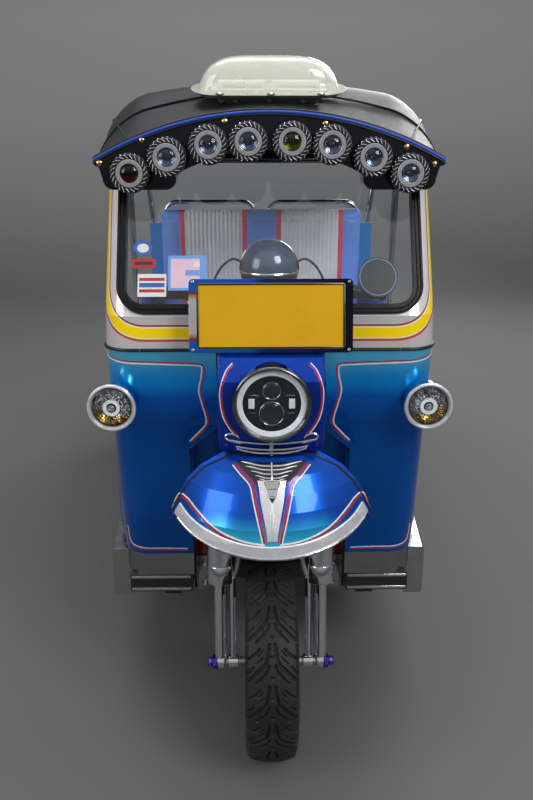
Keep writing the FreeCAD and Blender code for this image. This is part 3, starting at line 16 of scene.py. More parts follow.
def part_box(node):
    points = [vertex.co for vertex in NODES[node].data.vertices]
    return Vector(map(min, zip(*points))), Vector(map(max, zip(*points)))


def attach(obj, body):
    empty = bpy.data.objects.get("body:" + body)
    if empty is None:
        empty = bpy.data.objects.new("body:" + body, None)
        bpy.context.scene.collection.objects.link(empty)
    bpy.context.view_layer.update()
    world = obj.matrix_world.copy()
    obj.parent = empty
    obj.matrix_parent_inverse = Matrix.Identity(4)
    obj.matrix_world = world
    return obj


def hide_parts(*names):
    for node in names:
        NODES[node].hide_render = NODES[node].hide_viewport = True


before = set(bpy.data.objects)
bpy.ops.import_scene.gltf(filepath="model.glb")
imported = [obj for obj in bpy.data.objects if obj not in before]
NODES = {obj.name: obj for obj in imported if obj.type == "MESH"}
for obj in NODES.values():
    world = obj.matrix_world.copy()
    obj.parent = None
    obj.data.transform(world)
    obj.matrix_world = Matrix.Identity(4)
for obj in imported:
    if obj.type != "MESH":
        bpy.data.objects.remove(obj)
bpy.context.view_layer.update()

# %% [markdown]
# ## Camera
# The photograph was taken from head height in front of the vehicle, looking down a little, with
# the number plate and the head lamp almost on the middle line. A camera can follow a target by a
# constraint, but plain angles are used here, because they were found by matching edges.

# %% Camera
scene = bpy.context.scene
CAMERA_PLACE = Vector((-0.04, -3.0025, 1.545))
camera_data = bpy.data.cameras.new("camera")
camera_data.lens = 35.0
camera_data.sensor_width = 36.0
camera = bpy.data.objects.new("camera", camera_data)
camera.location = CAMERA_PLACE
camera.rotation_euler = (radians(71.5), 0.0, radians(-0.97))
scene.collection.objects.link(camera)
scene.camera = camera
print("camera at", tuple(CAMERA_PLACE))

# %% [markdown]
# ## Stage and light
# A polished vehicle shows the room it stands in. The floor and backdrop are one grey sheet that
# grows paler as it curves up behind the vehicle. The world is bright above and darker near the
# horizon, so that chrome has something to mirror, as it has in a street under an open sky. A few
# strong lamps would leave hard white spots on the paint, so four large soft ones are used.

# %% Stage
scene.view_settings.view_transform = "Standard"
FLOOR_GREY, WALL_GREY = 0.13, 0.5
WALL_FULL_HEIGHT = 3.0
STAGE_HALF, STAGE_NEAR, STAGE_BEND, WALL_TOP, BEND_R = 12.0, -9.0, 5.0, 9.0, 3.0
BEND_STEPS = 12


def paint_stage(material):
    """Grey floor like a road, with a paler wall behind, the same in mirrors."""
    material.use_nodes = True
    nodes = material.node_tree.nodes
    skin = nodes["Principled BSDF"]
    noise = nodes.new("ShaderNodeTexNoise")
    noise.inputs["Scale"].default_value = 0.8
    tone = nodes.new("ShaderNodeMapRange")
    tone.inputs["To Min"].default_value, tone.inputs["To Max"].default_value = 0.94, 1.06
    spot = nodes.new("ShaderNodeTexCoord")
    split = nodes.new("ShaderNodeSeparateXYZ")
    rise = nodes.new("ShaderNodeMapRange")
    rise.inputs["From Max"].default_value = WALL_FULL_HEIGHT
    rise.inputs["To Min"].default_value, rise.inputs["To Max"].default_value = FLOOR_GREY, WALL_GREY
    shade = nodes.new("ShaderNodeMath")
    shade.operation = "MULTIPLY"
    for source, target in (
            (noise.outputs["Fac"], tone.inputs["Value"]), (spot.outputs["Object"], split.inputs[0]),
            (split.outputs["Z"], rise.inputs["Value"]), (rise.outputs[0], shade.inputs[0]),
            (tone.outputs[0], shade.inputs[1]), (shade.outputs[0], skin.inputs["Base Color"])):
        material.node_tree.links.new(source, target)
    skin.inputs["Roughness"].default_value = 0.7
    skin.inputs["Specular IOR Level"].default_value = 0.2


def make_stage():
    """One sheet: flat under the vehicle, then a quarter circle up to a wall behind it."""
    profile = [(STAGE_NEAR, 0.0), (STAGE_BEND, 0.0)]
    for i in range(1, BEND_STEPS + 1):
        turn = i / BEND_STEPS * pi / 2
        profile.append((STAGE_BEND + BEND_R * sin(turn), BEND_R - BEND_R * cos(turn)))
    profile.append((STAGE_BEND + BEND_R, WALL_TOP))
    verts = [(x, y, z) for y, z in profile for x in (-STAGE_HALF, STAGE_HALF)]
    faces = [(i, i + 1, i + 3, i + 2) for i in range(0, len(verts) - 2, 2)]
    mesh = bpy.data.meshes.new("stage_sheet")
    mesh.from_pydata(verts, [], faces)
    mesh.shade_smooth()
    sheet = bpy.data.objects.new("stage_sheet", mesh)
    scene.collection.objects.link(sheet)
    material = bpy.data.materials.new("stage_paper")
    paint_stage(material)
    mesh.materials.append(material)
    return sheet


stage_sheet = make_stage()
print("stage", len(stage_sheet.data.polygons), "faces")

# %% Light
def add_panel_light(name, place, target, size, power):
    """A soft box that faces a point on the vehicle."""
    data = bpy.data.lights.new(name, "AREA")
    data.shape = "RECTANGLE"
    data.size, data.size_y = size
    data.energy = power
    lamp = bpy.data.objects.new(name, data)
    lamp.location = place
    lamp.rotation_euler = (Vector(target) - Vector(place)).to_track_quat("-Z", "Y").to_euler()
    scene.collection.objects.link(lamp)
    return lamp


SOFT_BOXES = (
    # name, place, target, size, power
    ("key_box", (2.6, -4.2, 3.8), (0.0, -0.6, 0.8), (2.0, 2.0), 120.0),
    ("fill_box", (-3.6, -3.4, 2.6), (0.0, -0.4, 0.8), (2.2, 2.2), 60.0),
    ("top_box", (0.0, 0.5, 5.0), (0.0, 0.2, 0.0), (4.0, 3.0), 110.0),
    ("back_box", (2.0, 4.4, 3.2), (0.0, 0.8, 0.8), (2.5, 1.6), 90.0),
)
for row in SOFT_BOXES:
    add_panel_light(*row)

world = bpy.data.worlds.new("studio_sky")
scene.world = world
world.use_nodes = True
sky_nodes, sky_links = world.node_tree.nodes, world.node_tree.links
sky = sky_nodes["Background"]
place = sky_nodes.new("ShaderNodeTexCoord")
split = sky_nodes.new("ShaderNodeSeparateXYZ")
sky_links.new(place.outputs["Generated"], split.inputs["Vector"])
height = sky_nodes.new("ShaderNodeValToRGB")
SKY_STOPS = ((0.0, 0.1), (0.47, 0.12), (0.55, 0.3), (0.68, 0.75), (0.85, 1.0))
for i, (stop, grey) in enumerate(SKY_STOPS):
    mark = height.color_ramp.elements[i] if i < 2 else height.color_ramp.elements.new(stop)
    mark.position = stop
    mark.color = (grey, grey, grey * 1.03, 1.0)
shift = sky_nodes.new("ShaderNodeMapRange")
shift.inputs["From Min"].default_value = -1.0
sky_links.new(split.outputs["Z"], shift.inputs["Value"])
sky_links.new(shift.outputs["Result"], height.inputs["Fac"])
sky_links.new(height.outputs["Color"], sky.inputs["Color"])
sky.inputs["Strength"].default_value = 0.6
print("soft boxes", len(SOFT_BOXES))

# %% [markdown]
# ## Shared surface effects
# Real surfaces are never even. Three small node groups are built once and used in most
# materials. One mottles a surface, one lays dust on faces that look up, and one rounds hard
# edges in the shading and says where an edge is worn. The nodes could be copied into each
# material, but a group is corrected in one place.

# %% Node group helpers
def new_group(name, inputs, outputs):
    """An empty node group with named sockets, and its two ends."""
    group = bpy.data.node_groups.new(name, "ShaderNodeTree")
    for label, kind, value in inputs:
        socket = group.interface.new_socket(name=label, in_out="INPUT", socket_type=kind)
        if value is not None:
            socket.default_value = value
    for label, kind in outputs:
        group.interface.new_socket(name=label, in_out="OUTPUT", socket_type=kind)
    start = group.nodes.new("NodeGroupInput")
    end = group.nodes.new("NodeGroupOutput")
    return group, start, end


def node(tree, kind, values=(), **links):
    """Add a node, set its sockets from pairs, and link sockets given by name."""
    made = tree.nodes.new(kind)
    for key, value in dict(values).items():
        if isinstance(key, str) and hasattr(made, key):
            setattr(made, key, value)
        else:
            made.inputs[key].default_value = value
    for key, source in links.items():
        tree.links.new(source, made.inputs[key.replace("_", " ")])
    return made


FLOAT, VECTOR = "NodeSocketFloat", "NodeSocketVector"

# %% Mottle group
mottle_group, start, end = new_group(
    "mottle", [("Scale", FLOAT, 20.0), ("Low", FLOAT, 0.9), ("High", FLOAT, 1.1)],
    [("Tone", FLOAT), ("Height", FLOAT)])
spot = node(mottle_group, "ShaderNodeTexCoord")
noise = node(mottle_group, "ShaderNodeTexNoise", {"Detail": 5.0, "Roughness": 0.6},
             Vector=spot.outputs["Object"], Scale=start.outputs["Scale"])
tone = node(mottle_group, "ShaderNodeMapRange", {"From Min": 0.3, "From Max": 0.7},
            Value=noise.outputs["Fac"], To_Min=start.outputs["Low"], To_Max=start.outputs["High"])
mottle_group.links.new(tone.outputs["Result"], end.inputs["Tone"])
mottle_group.links.new(noise.outputs["Fac"], end.inputs["Height"])

# %% Dust group
dust_group, start, end = new_group(
    "road_dust", [("Amount", FLOAT, 0.3), ("Low height", FLOAT, 0.35)], [("Dust", FLOAT)])
spot = node(dust_group, "ShaderNodeTexCoord")
split = node(dust_group, "ShaderNodeSeparateXYZ", Vector=spot.outputs["Object"])
low = node(dust_group, "ShaderNodeMapRange", {"From Min": 0.0, "To Min": 1.0, "To Max": 0.0},
           Value=split.outputs["Z"], From_Max=start.outputs["Low height"])
facing = node(dust_group, "ShaderNodeNewGeometry")
up = node(dust_group, "ShaderNodeSeparateXYZ", Vector=facing.outputs["Normal"])
top = node(dust_group, "ShaderNodeMapRange", {"From Min": 0.5, "From Max": 1.0, "To Max": 0.6},
           Value=up.outputs["Z"])
both = node(dust_group, "ShaderNodeMath", {"operation": "MAXIMUM"})
dust_group.links.new(low.outputs["Result"], both.inputs[0])
dust_group.links.new(top.outputs["Result"], both.inputs[1])
noise = node(dust_group, "ShaderNodeTexNoise", {"Scale": 14.0, "Detail": 6.0, "Roughness": 0.7},
             Vector=spot.outputs["Object"])
patch = node(dust_group, "ShaderNodeMapRange", {"From Min": 0.35, "From Max": 0.75},
             Value=noise.outputs["Fac"])
mixed = node(dust_group, "ShaderNodeMath", {"operation": "MULTIPLY"})
dust_group.links.new(both.outputs[0], mixed.inputs[0])
dust_group.links.new(patch.outputs["Result"], mixed.inputs[1])
scaled = node(dust_group, "ShaderNodeMath", {"operation": "MULTIPLY"})
dust_group.links.new(mixed.outputs[0], scaled.inputs[0])
dust_group.links.new(start.outputs["Amount"], scaled.inputs[1])
dust_group.links.new(scaled.outputs[0], end.inputs["Dust"])

# %% Edge group
edge_group, start, end = new_group(
    "soft_edge", [("Radius", FLOAT, 0.002)], [("Normal", VECTOR), ("Wear", FLOAT)])
bevel = node(edge_group, "ShaderNodeBevel", {"samples": 4}, Radius=start.outputs["Radius"])
true_face = node(edge_group, "ShaderNodeNewGeometry")
match = node(edge_group, "ShaderNodeVectorMath", {"operation": "DOT_PRODUCT"})
edge_group.links.new(bevel.outputs["Normal"], match.inputs[0])
edge_group.links.new(true_face.outputs["Normal"], match.inputs[1])
wear = node(edge_group, "ShaderNodeMapRange", {"From Min": 0.98, "From Max": 0.8},
            Value=match.outputs["Value"])
edge_group.links.new(bevel.outputs["Normal"], end.inputs["Normal"])
edge_group.links.new(wear.outputs["Result"], end.inputs["Wear"])
print("groups", [g.name for g in bpy.data.node_groups])

# %% [markdown]
# ## Finishes
# A finish starts from one helper that makes a material with a mottled base colour, a little
# dust near the ground, softened edges and a fine bump. What sets one finish apart from the
# next is then only a short list of numbers. Images would need an unwrapped mesh, while noise on
# object coordinates fits every solid as it is.

# %% Finish helper
FINISHES = {}


def use_group(tree, group, values=()):
    """Place a shared effect in a material with its own values."""
    placed = tree.nodes.new("ShaderNodeGroup")
    placed.node_tree = group
    for key, value in dict(values).items():
        placed.inputs[key].default_value = value
    return placed


def mix_colours(tree, share, first, second, blend="MIX"):
    """Mix two colours, each a socket or a plain value."""
    mixer = tree.nodes.new("ShaderNodeMix")
    mixer.data_type = "RGBA"
    mixer.blend_type = blend
    mixer.clamp_factor = True
    for socket, value in ((mixer.inputs[0], share), (mixer.inputs[6], first), (mixer.inputs[7], second)):
        if hasattr(value, "is_output"):
            tree.links.new(value, socket)
        else:
            socket.default_value = value if not isinstance(value, tuple) else (*value[:3], 1.0)
    return mixer.outputs[2]


def math_node(tree, operation, first, second=None, clamp=False):
    """One sum on sockets or plain numbers."""
    made = tree.nodes.new("ShaderNodeMath")
    made.operation = operation
    made.use_clamp = clamp
    for socket, value in zip(made.inputs, (first, second)):
        if value is None:
            continue
        if hasattr(value, "is_output"):
            tree.links.new(value, socket)
        else:
            socket.default_value = value
    return made.outputs[0]


def finish(name, colour, rough, metal=0.0, coat=0.0, grain=(40.0, 0.92, 1.06), bump=(0.02, 300.0),
           dust=0.0, edge=0.0015, wear=None, rough_spread=0.08, spec=0.5, coat_rough=0.03):
    """A material with mottled colour, dust, soft edges and a fine bump."""
    material = bpy.data.materials.new(name)
    material.use_nodes = True
    tree = material.node_tree
    skin = tree.nodes["Principled BSDF"]
    skin.inputs["Metallic"].default_value = metal
    skin.inputs["Coat Weight"].default_value = coat
    skin.inputs["Coat Roughness"].default_value = coat_rough
    skin.inputs["Specular IOR Level"].default_value = spec
    mottled = use_group(tree, mottle_group, {"Scale": grain[0], "Low": grain[1], "High": grain[2]})
    tint = tree.nodes.new("ShaderNodeVectorMath")
    tint.operation = "SCALE"
    tint.inputs[0].default_value = colour
    tree.links.new(mottled.outputs["Tone"], tint.inputs["Scale"])
    base = tint.outputs[0]
    edges = None
    if edge:
        edges = use_group(tree, edge_group, {"Radius": edge})
    if wear and edges:
        base = mix_colours(tree, math_node(tree, "MULTIPLY", edges.outputs["Wear"], 0.5), base, wear)
    rough_map = node(tree, "ShaderNodeMapRange",
                     {"From Min": 0.3, "From Max": 0.7, "To Min": max(0.0, rough - rough_spread / 2),
                      "To Max": rough + rough_spread / 2}, Value=mottled.outputs["Height"])
    rough_out = rough_map.outputs["Result"]
    if dust:
        dusty = use_group(tree, dust_group, {"Amount": dust})
        base = mix_colours(tree, dusty.outputs["Dust"], base, (0.3, 0.27, 0.23))
        rough_out = math_node(tree, "ADD", rough_out,
                              math_node(tree, "MULTIPLY", dusty.outputs["Dust"], 0.5), clamp=True)
    tree.links.new(base, skin.inputs["Base Color"])
    tree.links.new(rough_out, skin.inputs["Roughness"])
    fine = node(tree, "ShaderNodeTexNoise", {"Scale": bump[1], "Detail": 3.0})
    spot = node(tree, "ShaderNodeTexCoord")
    tree.links.new(spot.outputs["Object"], fine.inputs["Vector"])
    raised = node(tree, "ShaderNodeBump", {"Strength": bump[0], "Distance": 0.001},
                  Height=fine.outputs["Fac"])
    if edges:
        tree.links.new(edges.outputs["Normal"], raised.inputs["Normal"])
    tree.links.new(raised.outputs["Normal"], skin.inputs["Normal"])
    FINISHES[name] = material
    return material


def finish_parts(material):
    """The node tree, the shader and the socket that now feeds its base colour."""
    tree = material.node_tree
    skin = tree.nodes["Principled BSDF"]
    return tree, skin, skin.inputs["Base Color"].links[0].from_socket


def object_axes(tree):
    """Sockets of the object's X, Y and Z in metres."""
    spot = node(tree, "ShaderNodeTexCoord")
    split = node(tree, "ShaderNodeSeparateXYZ", Vector=spot.outputs["Object"])
    return split.outputs["X"], split.outputs["Y"], split.outputs["Z"]


# %% Plain finishes
PLAIN_FINISHES = (
    # name, colour, roughness, settings
    ("chrome_trim", (0.64, 0.65, 0.67), 0.06, dict(metal=1.0, rough_spread=0.05, dust=0.2,
                                                 bump=(0.01, 60.0), edge=0.0015)),
    ("dark_chrome", (0.17, 0.175, 0.18), 0.08, dict(metal=1.0, rough_spread=0.05, bump=(0.01, 60.0))),
    ("bright_metal", (0.86, 0.86, 0.9), 0.24, dict(metal=0.55, rough_spread=0.1, bump=(0.01, 60.0),
                                                   dust=0.05)),
    ("polished_steel", (0.72, 0.71, 0.68), 0.16, dict(metal=1.0, rough_spread=0.12, bump=(0.03, 120.0))),
    ("steel_pipe", (0.42, 0.4, 0.37), 0.38, dict(metal=1.0, rough_spread=0.2, dust=0.5)),
    ("engine_metal", (0.2, 0.2, 0.2), 0.55, dict(metal=0.8, dust=0.5, bump=(0.3, 90.0))),
    ("frame_paint", (0.012, 0.012, 0.014), 0.42, dict(coat=0.1, dust=0.35, wear=(0.08, 0.07, 0.06))),
    ("black_gloss", (0.005, 0.006, 0.01), 0.14, dict(coat=0.6, bump=(0.005, 30.0), dust=0.05)),
    ("black_plastic", (0.014, 0.014, 0.016), 0.34, dict(bump=(0.08, 700.0), dust=0.1)),
    ("black_rubber", (0.01, 0.01, 0.011), 0.42, dict(bump=(0.08, 500.0), dust=0.08, spec=0.4)),
    ("floor_metal", (0.12, 0.12, 0.125), 0.45, dict(metal=0.6, dust=0.4)),
    ("cream_plastic", (0.38, 0.385, 0.33), 0.3, dict(coat=0.2, grain=(8.0, 0.94, 1.04))),
    ("satin_grey", (0.46, 0.46, 0.5), 0.3, dict(metal=0.5, edge=0.0)),
    ("gasket_rubber", (0.004, 0.004, 0.005), 0.24, dict(bump=(0.03, 300.0), dust=0.02, spec=0.35)),
    ("brushed_sill", (0.44, 0.44, 0.43), 0.24, dict(metal=1.0, rough_spread=0.1, dust=0.3,
                                                    bump=(0.02, 90.0))),
    ("worn_chrome", (0.3, 0.305, 0.31), 0.1, dict(metal=1.0, rough_spread=0.08, dust=0.3,
                                                  bump=(0.01, 60.0))),
    ("brass", (0.72, 0.5, 0.17), 0.18, dict(metal=1.0, edge=0.0)),
    ("purple_anodised", (0.1, 0.06, 0.42), 0.22, dict(metal=1.0, edge=0.0006)),
    ("red_paint", (0.45, 0.012, 0.014), 0.22, dict(coat=0.8)),
    ("white_paint", (0.8, 0.8, 0.78), 0.25, dict(coat=0.6, edge=0.0)),
    ("rim_paint", (0.62, 0.63, 0.66), 0.18, dict(metal=1.0, dust=0.35, rough_spread=0.15)),
)
for name, colour, rough, settings in PLAIN_FINISHES:
    finish(name, colour, rough, **settings)
print("finishes", sorted(FINISHES))

# %% [markdown]
# ## Blue lacquer
# The blue is a candy lacquer over silver under a deep clear coat. Each panel gets a colour ramp
# along Z: pale at the top and almost navy low, a painted reflection of a bright sky above and
# dark ground below. The fender's ramp runs the other way, pale low and royal blue high and on
# its outer sides, painted reflection too. The wheel well is two-tone paint, black below, navy above.

# %% Blue lacquer
def ramp(tree, source, stops, sharp=False):
    """Colours along a value; stops are (position, colour)."""
    made = tree.nodes.new("ShaderNodeValToRGB")
    made.color_ramp.interpolation = "CONSTANT" if sharp else "EASE"
    tree.links.new(source, made.inputs["Fac"])
    for i, (stop, colour) in enumerate(stops):
        mark = made.color_ramp.elements[i] if i < 2 else made.color_ramp.elements.new(stop)
        mark.position = stop
        mark.color = (*colour, 1.0) if isinstance(colour, tuple) else (colour, colour, colour, 1.0)
    return made.outputs["Color"]


def along(tree, value, low, high):
    """0 to 1 as a value goes from low to high."""
    made = node(tree, "ShaderNodeMapRange", {"From Min": low, "From Max": high}, Value=value)
    return made.outputs["Result"]


SKY_BLUE = (0.004, 0.36, 1.0)
PALE_BLUE = (0.12, 0.64, 1.0)
AQUA = (0.05, 0.68, 1.0)
ROYAL_BLUE = (0.004, 0.085, 0.52)
DEEP_BLUE = (0.0006, 0.135, 0.66)
NAVY = (0.0002, 0.098, 0.46)
INK_BLUE = (0.003, 0.034, 0.34)
# Pale and dark stops are painted reflection of sky and ground, except in the well's ramp, which is two-tone
# paint.
LACQUERS = (
    # name, lowest, highest, stops from low to high
    ("panel_lacquer", 0.46, 1.08, ((0.0, NAVY), (0.645, NAVY), (0.766, DEEP_BLUE),
                                   (0.847, SKY_BLUE), (0.968, PALE_BLUE))),
    ("nose_lacquer", 0.86, 1.09, ((0.0, INK_BLUE), (0.45, INK_BLUE), (1.0, (0.004, 0.055, 0.46)))),
    ("fender_lacquer", 0.6, 0.85, ((0.0, AQUA), (0.26, AQUA), (0.58, ROYAL_BLUE),
                                    (1.0, ROYAL_BLUE))),
    ("well_lacquer", 0.46, 1.08, ((0.0, (0.006, 0.006, 0.007)), (0.33, (0.006, 0.006, 0.007)), (0.36, NAVY),
                                  (0.9, NAVY))),
    ("tub_lacquer", 0.25, 0.9, ((0.0, NAVY), (0.45, DEEP_BLUE), (0.75, ROYAL_BLUE), (1.0, SKY_BLUE))),
)
for name, low, high, stops in LACQUERS:
    lacquer = finish(name, (0.5, 0.5, 0.5), 0.24, metal=0.65, coat=0.32, coat_rough=0.02, spec=0.12,
                     grain=(5.0, 0.9, 1.1), bump=(0.006, 45.0), dust=0.02, edge=0.002)
    tree, skin, base = finish_parts(lacquer)
    x, y, z = object_axes(tree)
    # The outer sides of the fender count as higher, so they take the darker blue: painted reflection.
    if name == "fender_lacquer":
        past = math_node(tree, "SUBTRACT", math_node(tree, "ABSOLUTE", x), 0.12)
        outer = math_node(tree, "MAXIMUM", past, 0.0)
        z = math_node(tree, "ADD", z, math_node(tree, "MULTIPLY", outer, 0.45))
    height = along(tree, z, low, high)
    painted_reflection_ramp = ramp(tree, height, stops)
    flake = node(tree, "ShaderNodeTexVoronoi", {"Scale": 900.0})
    tree.links.new(node(tree, "ShaderNodeTexCoord").outputs["Object"], flake.inputs["Vector"])
    sparkle = node(tree, "ShaderNodeMapRange", {"To Min": 0.88, "To Max": 1.12},
                   Value=flake.outputs["Distance"])
    shade = tree.nodes.new("ShaderNodeVectorMath")
    shade.operation = "SCALE"
    tree.links.new(painted_reflection_ramp, shade.inputs[0])
    tree.links.new(sparkle.outputs["Result"], shade.inputs["Scale"])
    tint = [n for n in tree.nodes if n.type == "VECT_MATH" and n.operation == "SCALE" and n != shade][0]
    tree.links.new(shade.outputs[0], tint.inputs[0])
print("lacquers", [row[0] for row in LACQUERS])

# %% [markdown]
# ## Striped windscreen frame
# The frame round the windscreen is one yellow band between polished strips, with hand-painted
# lines between. All of them follow the opening's rounded corners, so the finish measures each
# point's distance from the opening and picks a band from it. The distance runs along the
# surface where the frame turns back at its sides, and down past the crease under the glass.
# Strips of mesh could do it too, but paint has no thickness, and a ramp keeps its edges sharp.

# %% Striped frame
SCREEN_CREASE_Y, SCREEN_CREASE_Z = -1.198, 1.15
SCREEN_UP = Vector((0.0, 0.201, 0.395)).normalized()
OPENING_HALF, OPENING_LOW, OPENING_HIGH, OPENING_R = 0.358, 0.012, 0.408, 0.062
FRAME_TURN_X, FRAME_TURN_R = 0.33, 0.07
SILVER, TAN, WHITE, YELLOW = (0.86, 0.8, 0.82), (0.3, 0.22, 0.13), (0.85, 0.83, 0.74), (1.0, 0.72, 0.004)
DARK_RED, ORANGE_RED = (0.3, 0.015, 0.012), (0.62, 0.045, 0.008)
FRAME_BANDS = (
    # distance from the opening in metres, colour, metal
    (0.000, SILVER, 0.45), (0.032, DARK_RED, 0), (0.035, TAN, 0), (0.037, WHITE, 0),
    (0.0395, YELLOW, 0), (0.0635, WHITE, 0), (0.066, TAN, 0), (0.068, ORANGE_RED, 0),
    (0.072, SILVER, 0.45),
)
BAND_SPAN = 0.12


def distance_from_opening(tree):
    """Distance of a point from the edge of the windscreen's opening, along the frame."""
    x, y, z = object_axes(tree)
    side = math_node(tree, "ABSOLUTE", x)
    past = math_node(tree, "SUBTRACT", side, FRAME_TURN_X)
    bent = math_node(tree, "DIVIDE", math_node(tree, "MAXIMUM", past, 0.0), FRAME_TURN_R)
    swept = math_node(tree, "MULTIPLY", math_node(tree, "ARCSINE", math_node(tree, "MINIMUM", bent, 1.0)),
                      FRAME_TURN_R)
    behind = math_node(tree, "SUBTRACT", y, SCREEN_CREASE_Y + 0.07)
    lean = math_node(tree, "MULTIPLY", math_node(tree, "SUBTRACT", z, SCREEN_CREASE_Z),
                     SCREEN_UP.y / SCREEN_UP.z)
    depth = math_node(tree, "MAXIMUM", math_node(tree, "SUBTRACT", behind, lean), 0.0)
    across = math_node(tree, "ADD", math_node(tree, "MINIMUM", side, FRAME_TURN_X),
                       math_node(tree, "ADD", swept, depth))
    rise = math_node(tree, "SUBTRACT", z, SCREEN_CREASE_Z)
    up = math_node(tree, "MULTIPLY", math_node(tree, "MAXIMUM", rise, 0.0), 1.0 / SCREEN_UP.z)
    run = math_node(tree, "ADD", up, math_node(tree, "MINIMUM", rise, 0.0))
    middle, half = (OPENING_LOW + OPENING_HIGH) / 2, (OPENING_HIGH - OPENING_LOW) / 2
    high = math_node(tree, "ABSOLUTE", math_node(tree, "SUBTRACT", run, middle))
    q_x = math_node(tree, "SUBTRACT", across, OPENING_HALF - OPENING_R)
    q_y = math_node(tree, "SUBTRACT", high, half - OPENING_R)
    out_x, out_y = math_node(tree, "MAXIMUM", q_x, 0.0), math_node(tree, "MAXIMUM", q_y, 0.0)
    square = math_node(tree, "ADD", math_node(tree, "MULTIPLY", out_x, out_x),
                       math_node(tree, "MULTIPLY", out_y, out_y))
    inner = math_node(tree, "MINIMUM", math_node(tree, "MAXIMUM", q_x, q_y), 0.0)
    whole = math_node(tree, "ADD", math_node(tree, "SQRT", square), inner)
    return math_node(tree, "SUBTRACT", whole, OPENING_R)


def paint_bands(material, distance, bands, span):
    """Colour and metal of a material from a distance and a table of bands."""
    tree, skin, base = finish_parts(material)
    share = along(tree, distance(tree), 0.0, span)
    colours = ramp(tree, share, [(d / span, c) for d, c, m in bands], sharp=True)
    metals = ramp(tree, share, [(d / span, float(m)) for d, c, m in bands], sharp=True)
    painted = mix_colours(tree, 1.0, base, colours, blend="MULTIPLY")
    tree.links.new(painted, skin.inputs["Base Color"])
    tree.links.new(metals, skin.inputs["Metallic"])
    shine = math_node(tree, "SUBTRACT", 0.2, math_node(tree, "MULTIPLY", metals, 0.12))
    tree.links.new(shine, skin.inputs["Roughness"])


striped = finish("striped_frame", (1.0, 1.0, 1.0), 0.2, coat=0.4, grain=(14.0, 0.93, 1.04), spec=0.3,
                 dust=0.03, edge=0.0015, bump=(0.008, 60.0))
paint_bands(striped, distance_from_opening, FRAME_BANDS, BAND_SPAN)
print("frame bands", len(FRAME_BANDS))

# %% [markdown]
# ## Glass and lamps
# Window glass and lamp glass refract. A path tracer makes their shadows too dark, because it
# finds no straight way through to a lamp. More samples would cost time, so shadow rays pass
# straight through instead.

# %% Glass
def glass(name, tint, rough=0.0, clear_shadow=0.85):
    """Clear or tinted glass whose shadow stays light."""
    material = bpy.data.materials.new(name)
    material.use_nodes = True
    tree = material.node_tree
    skin = tree.nodes["Principled BSDF"]
    skin.inputs["Transmission Weight"].default_value = 1.0
    skin.inputs["IOR"].default_value = 1.45
    grime = use_group(tree, mottle_group, {"Scale": 7.0, "Low": rough, "High": rough + 0.02})
    tree.links.new(grime.outputs["Tone"], skin.inputs["Roughness"])
    shade = use_group(tree, mottle_group, {"Scale": 9.0, "Low": 0.97, "High": 1.0})
    tone = tree.nodes.new("ShaderNodeVectorMath")
    tone.operation = "SCALE"
    tone.inputs[0].default_value = tint
    tree.links.new(shade.outputs["Tone"], tone.inputs["Scale"])
    tree.links.new(tone.outputs[0], skin.inputs["Base Color"])
    through = tree.nodes.new("ShaderNodeBsdfTransparent")
    through.inputs["Color"].default_value = (clear_shadow, clear_shadow, clear_shadow, 1.0)
    path = tree.nodes.new("ShaderNodeLightPath")
    either = tree.nodes.new("ShaderNodeMixShader")
    output = tree.nodes["Material Output"]
    tree.links.new(path.outputs["Is Shadow Ray"], either.inputs[0])
    tree.links.new(skin.outputs[0], either.inputs[1])
    tree.links.new(through.outputs[0], either.inputs[2])
    tree.links.new(either.outputs[0], output.inputs["Surface"])
    FINISHES[name] = material
    return material


GLASSES = (
    ("clear_glass", (0.95, 0.97, 0.97), 0.0),
    ("red_glass", (0.34, 0.012, 0.02), 0.02),
    ("yellow_glass", (0.62, 0.55, 0.015), 0.02),
    ("amber_glass", (0.95, 0.52, 0.1), 0.02),
    ("milk_glass", (0.93, 0.9, 0.76), 0.22),
)
for name, tint, rough in GLASSES:
    glass(name, tint, rough)
finish("lamp_lens", (0.62, 0.1, 0.05), 0.12, coat=0.8, edge=0.0008)
tail_lens = finish("tail_lens", (1.0, 1.0, 1.0), 0.12, coat=0.8, edge=0.0008)
tree, skin, base = finish_parts(tail_lens)
TAIL_BANDS = ((0.0, (0.55, 0.012, 0.01)), (0.48, (0.7, 0.2, 0.01)), (0.76, (0.62, 0.62, 0.58)))
tail_colours = ramp(tree, along(tree, object_axes(tree)[2], 0.64, 0.79), TAIL_BANDS, sharp=True)
tree.links.new(mix_colours(tree, 1.0, base, tail_colours, blend="MULTIPLY"), skin.inputs["Base Color"])
finish("halo_white", (0.8, 0.82, 0.87), 0.3, edge=0.0)
finish("reflector", (0.7, 0.71, 0.73), 0.12, metal=1.0, bump=(0.25, 160.0), edge=0.0)
finish("blue_mirror", (0.085, 0.11, 0.165), 0.2, metal=1.0, bump=(0.35, 120.0), edge=0.0)
finish("lamp_black", (0.006, 0.009, 0.013), 0.2, coat=0.2, spec=0.3, edge=0.0006)
print("glasses", [row[0] for row in GLASSES])
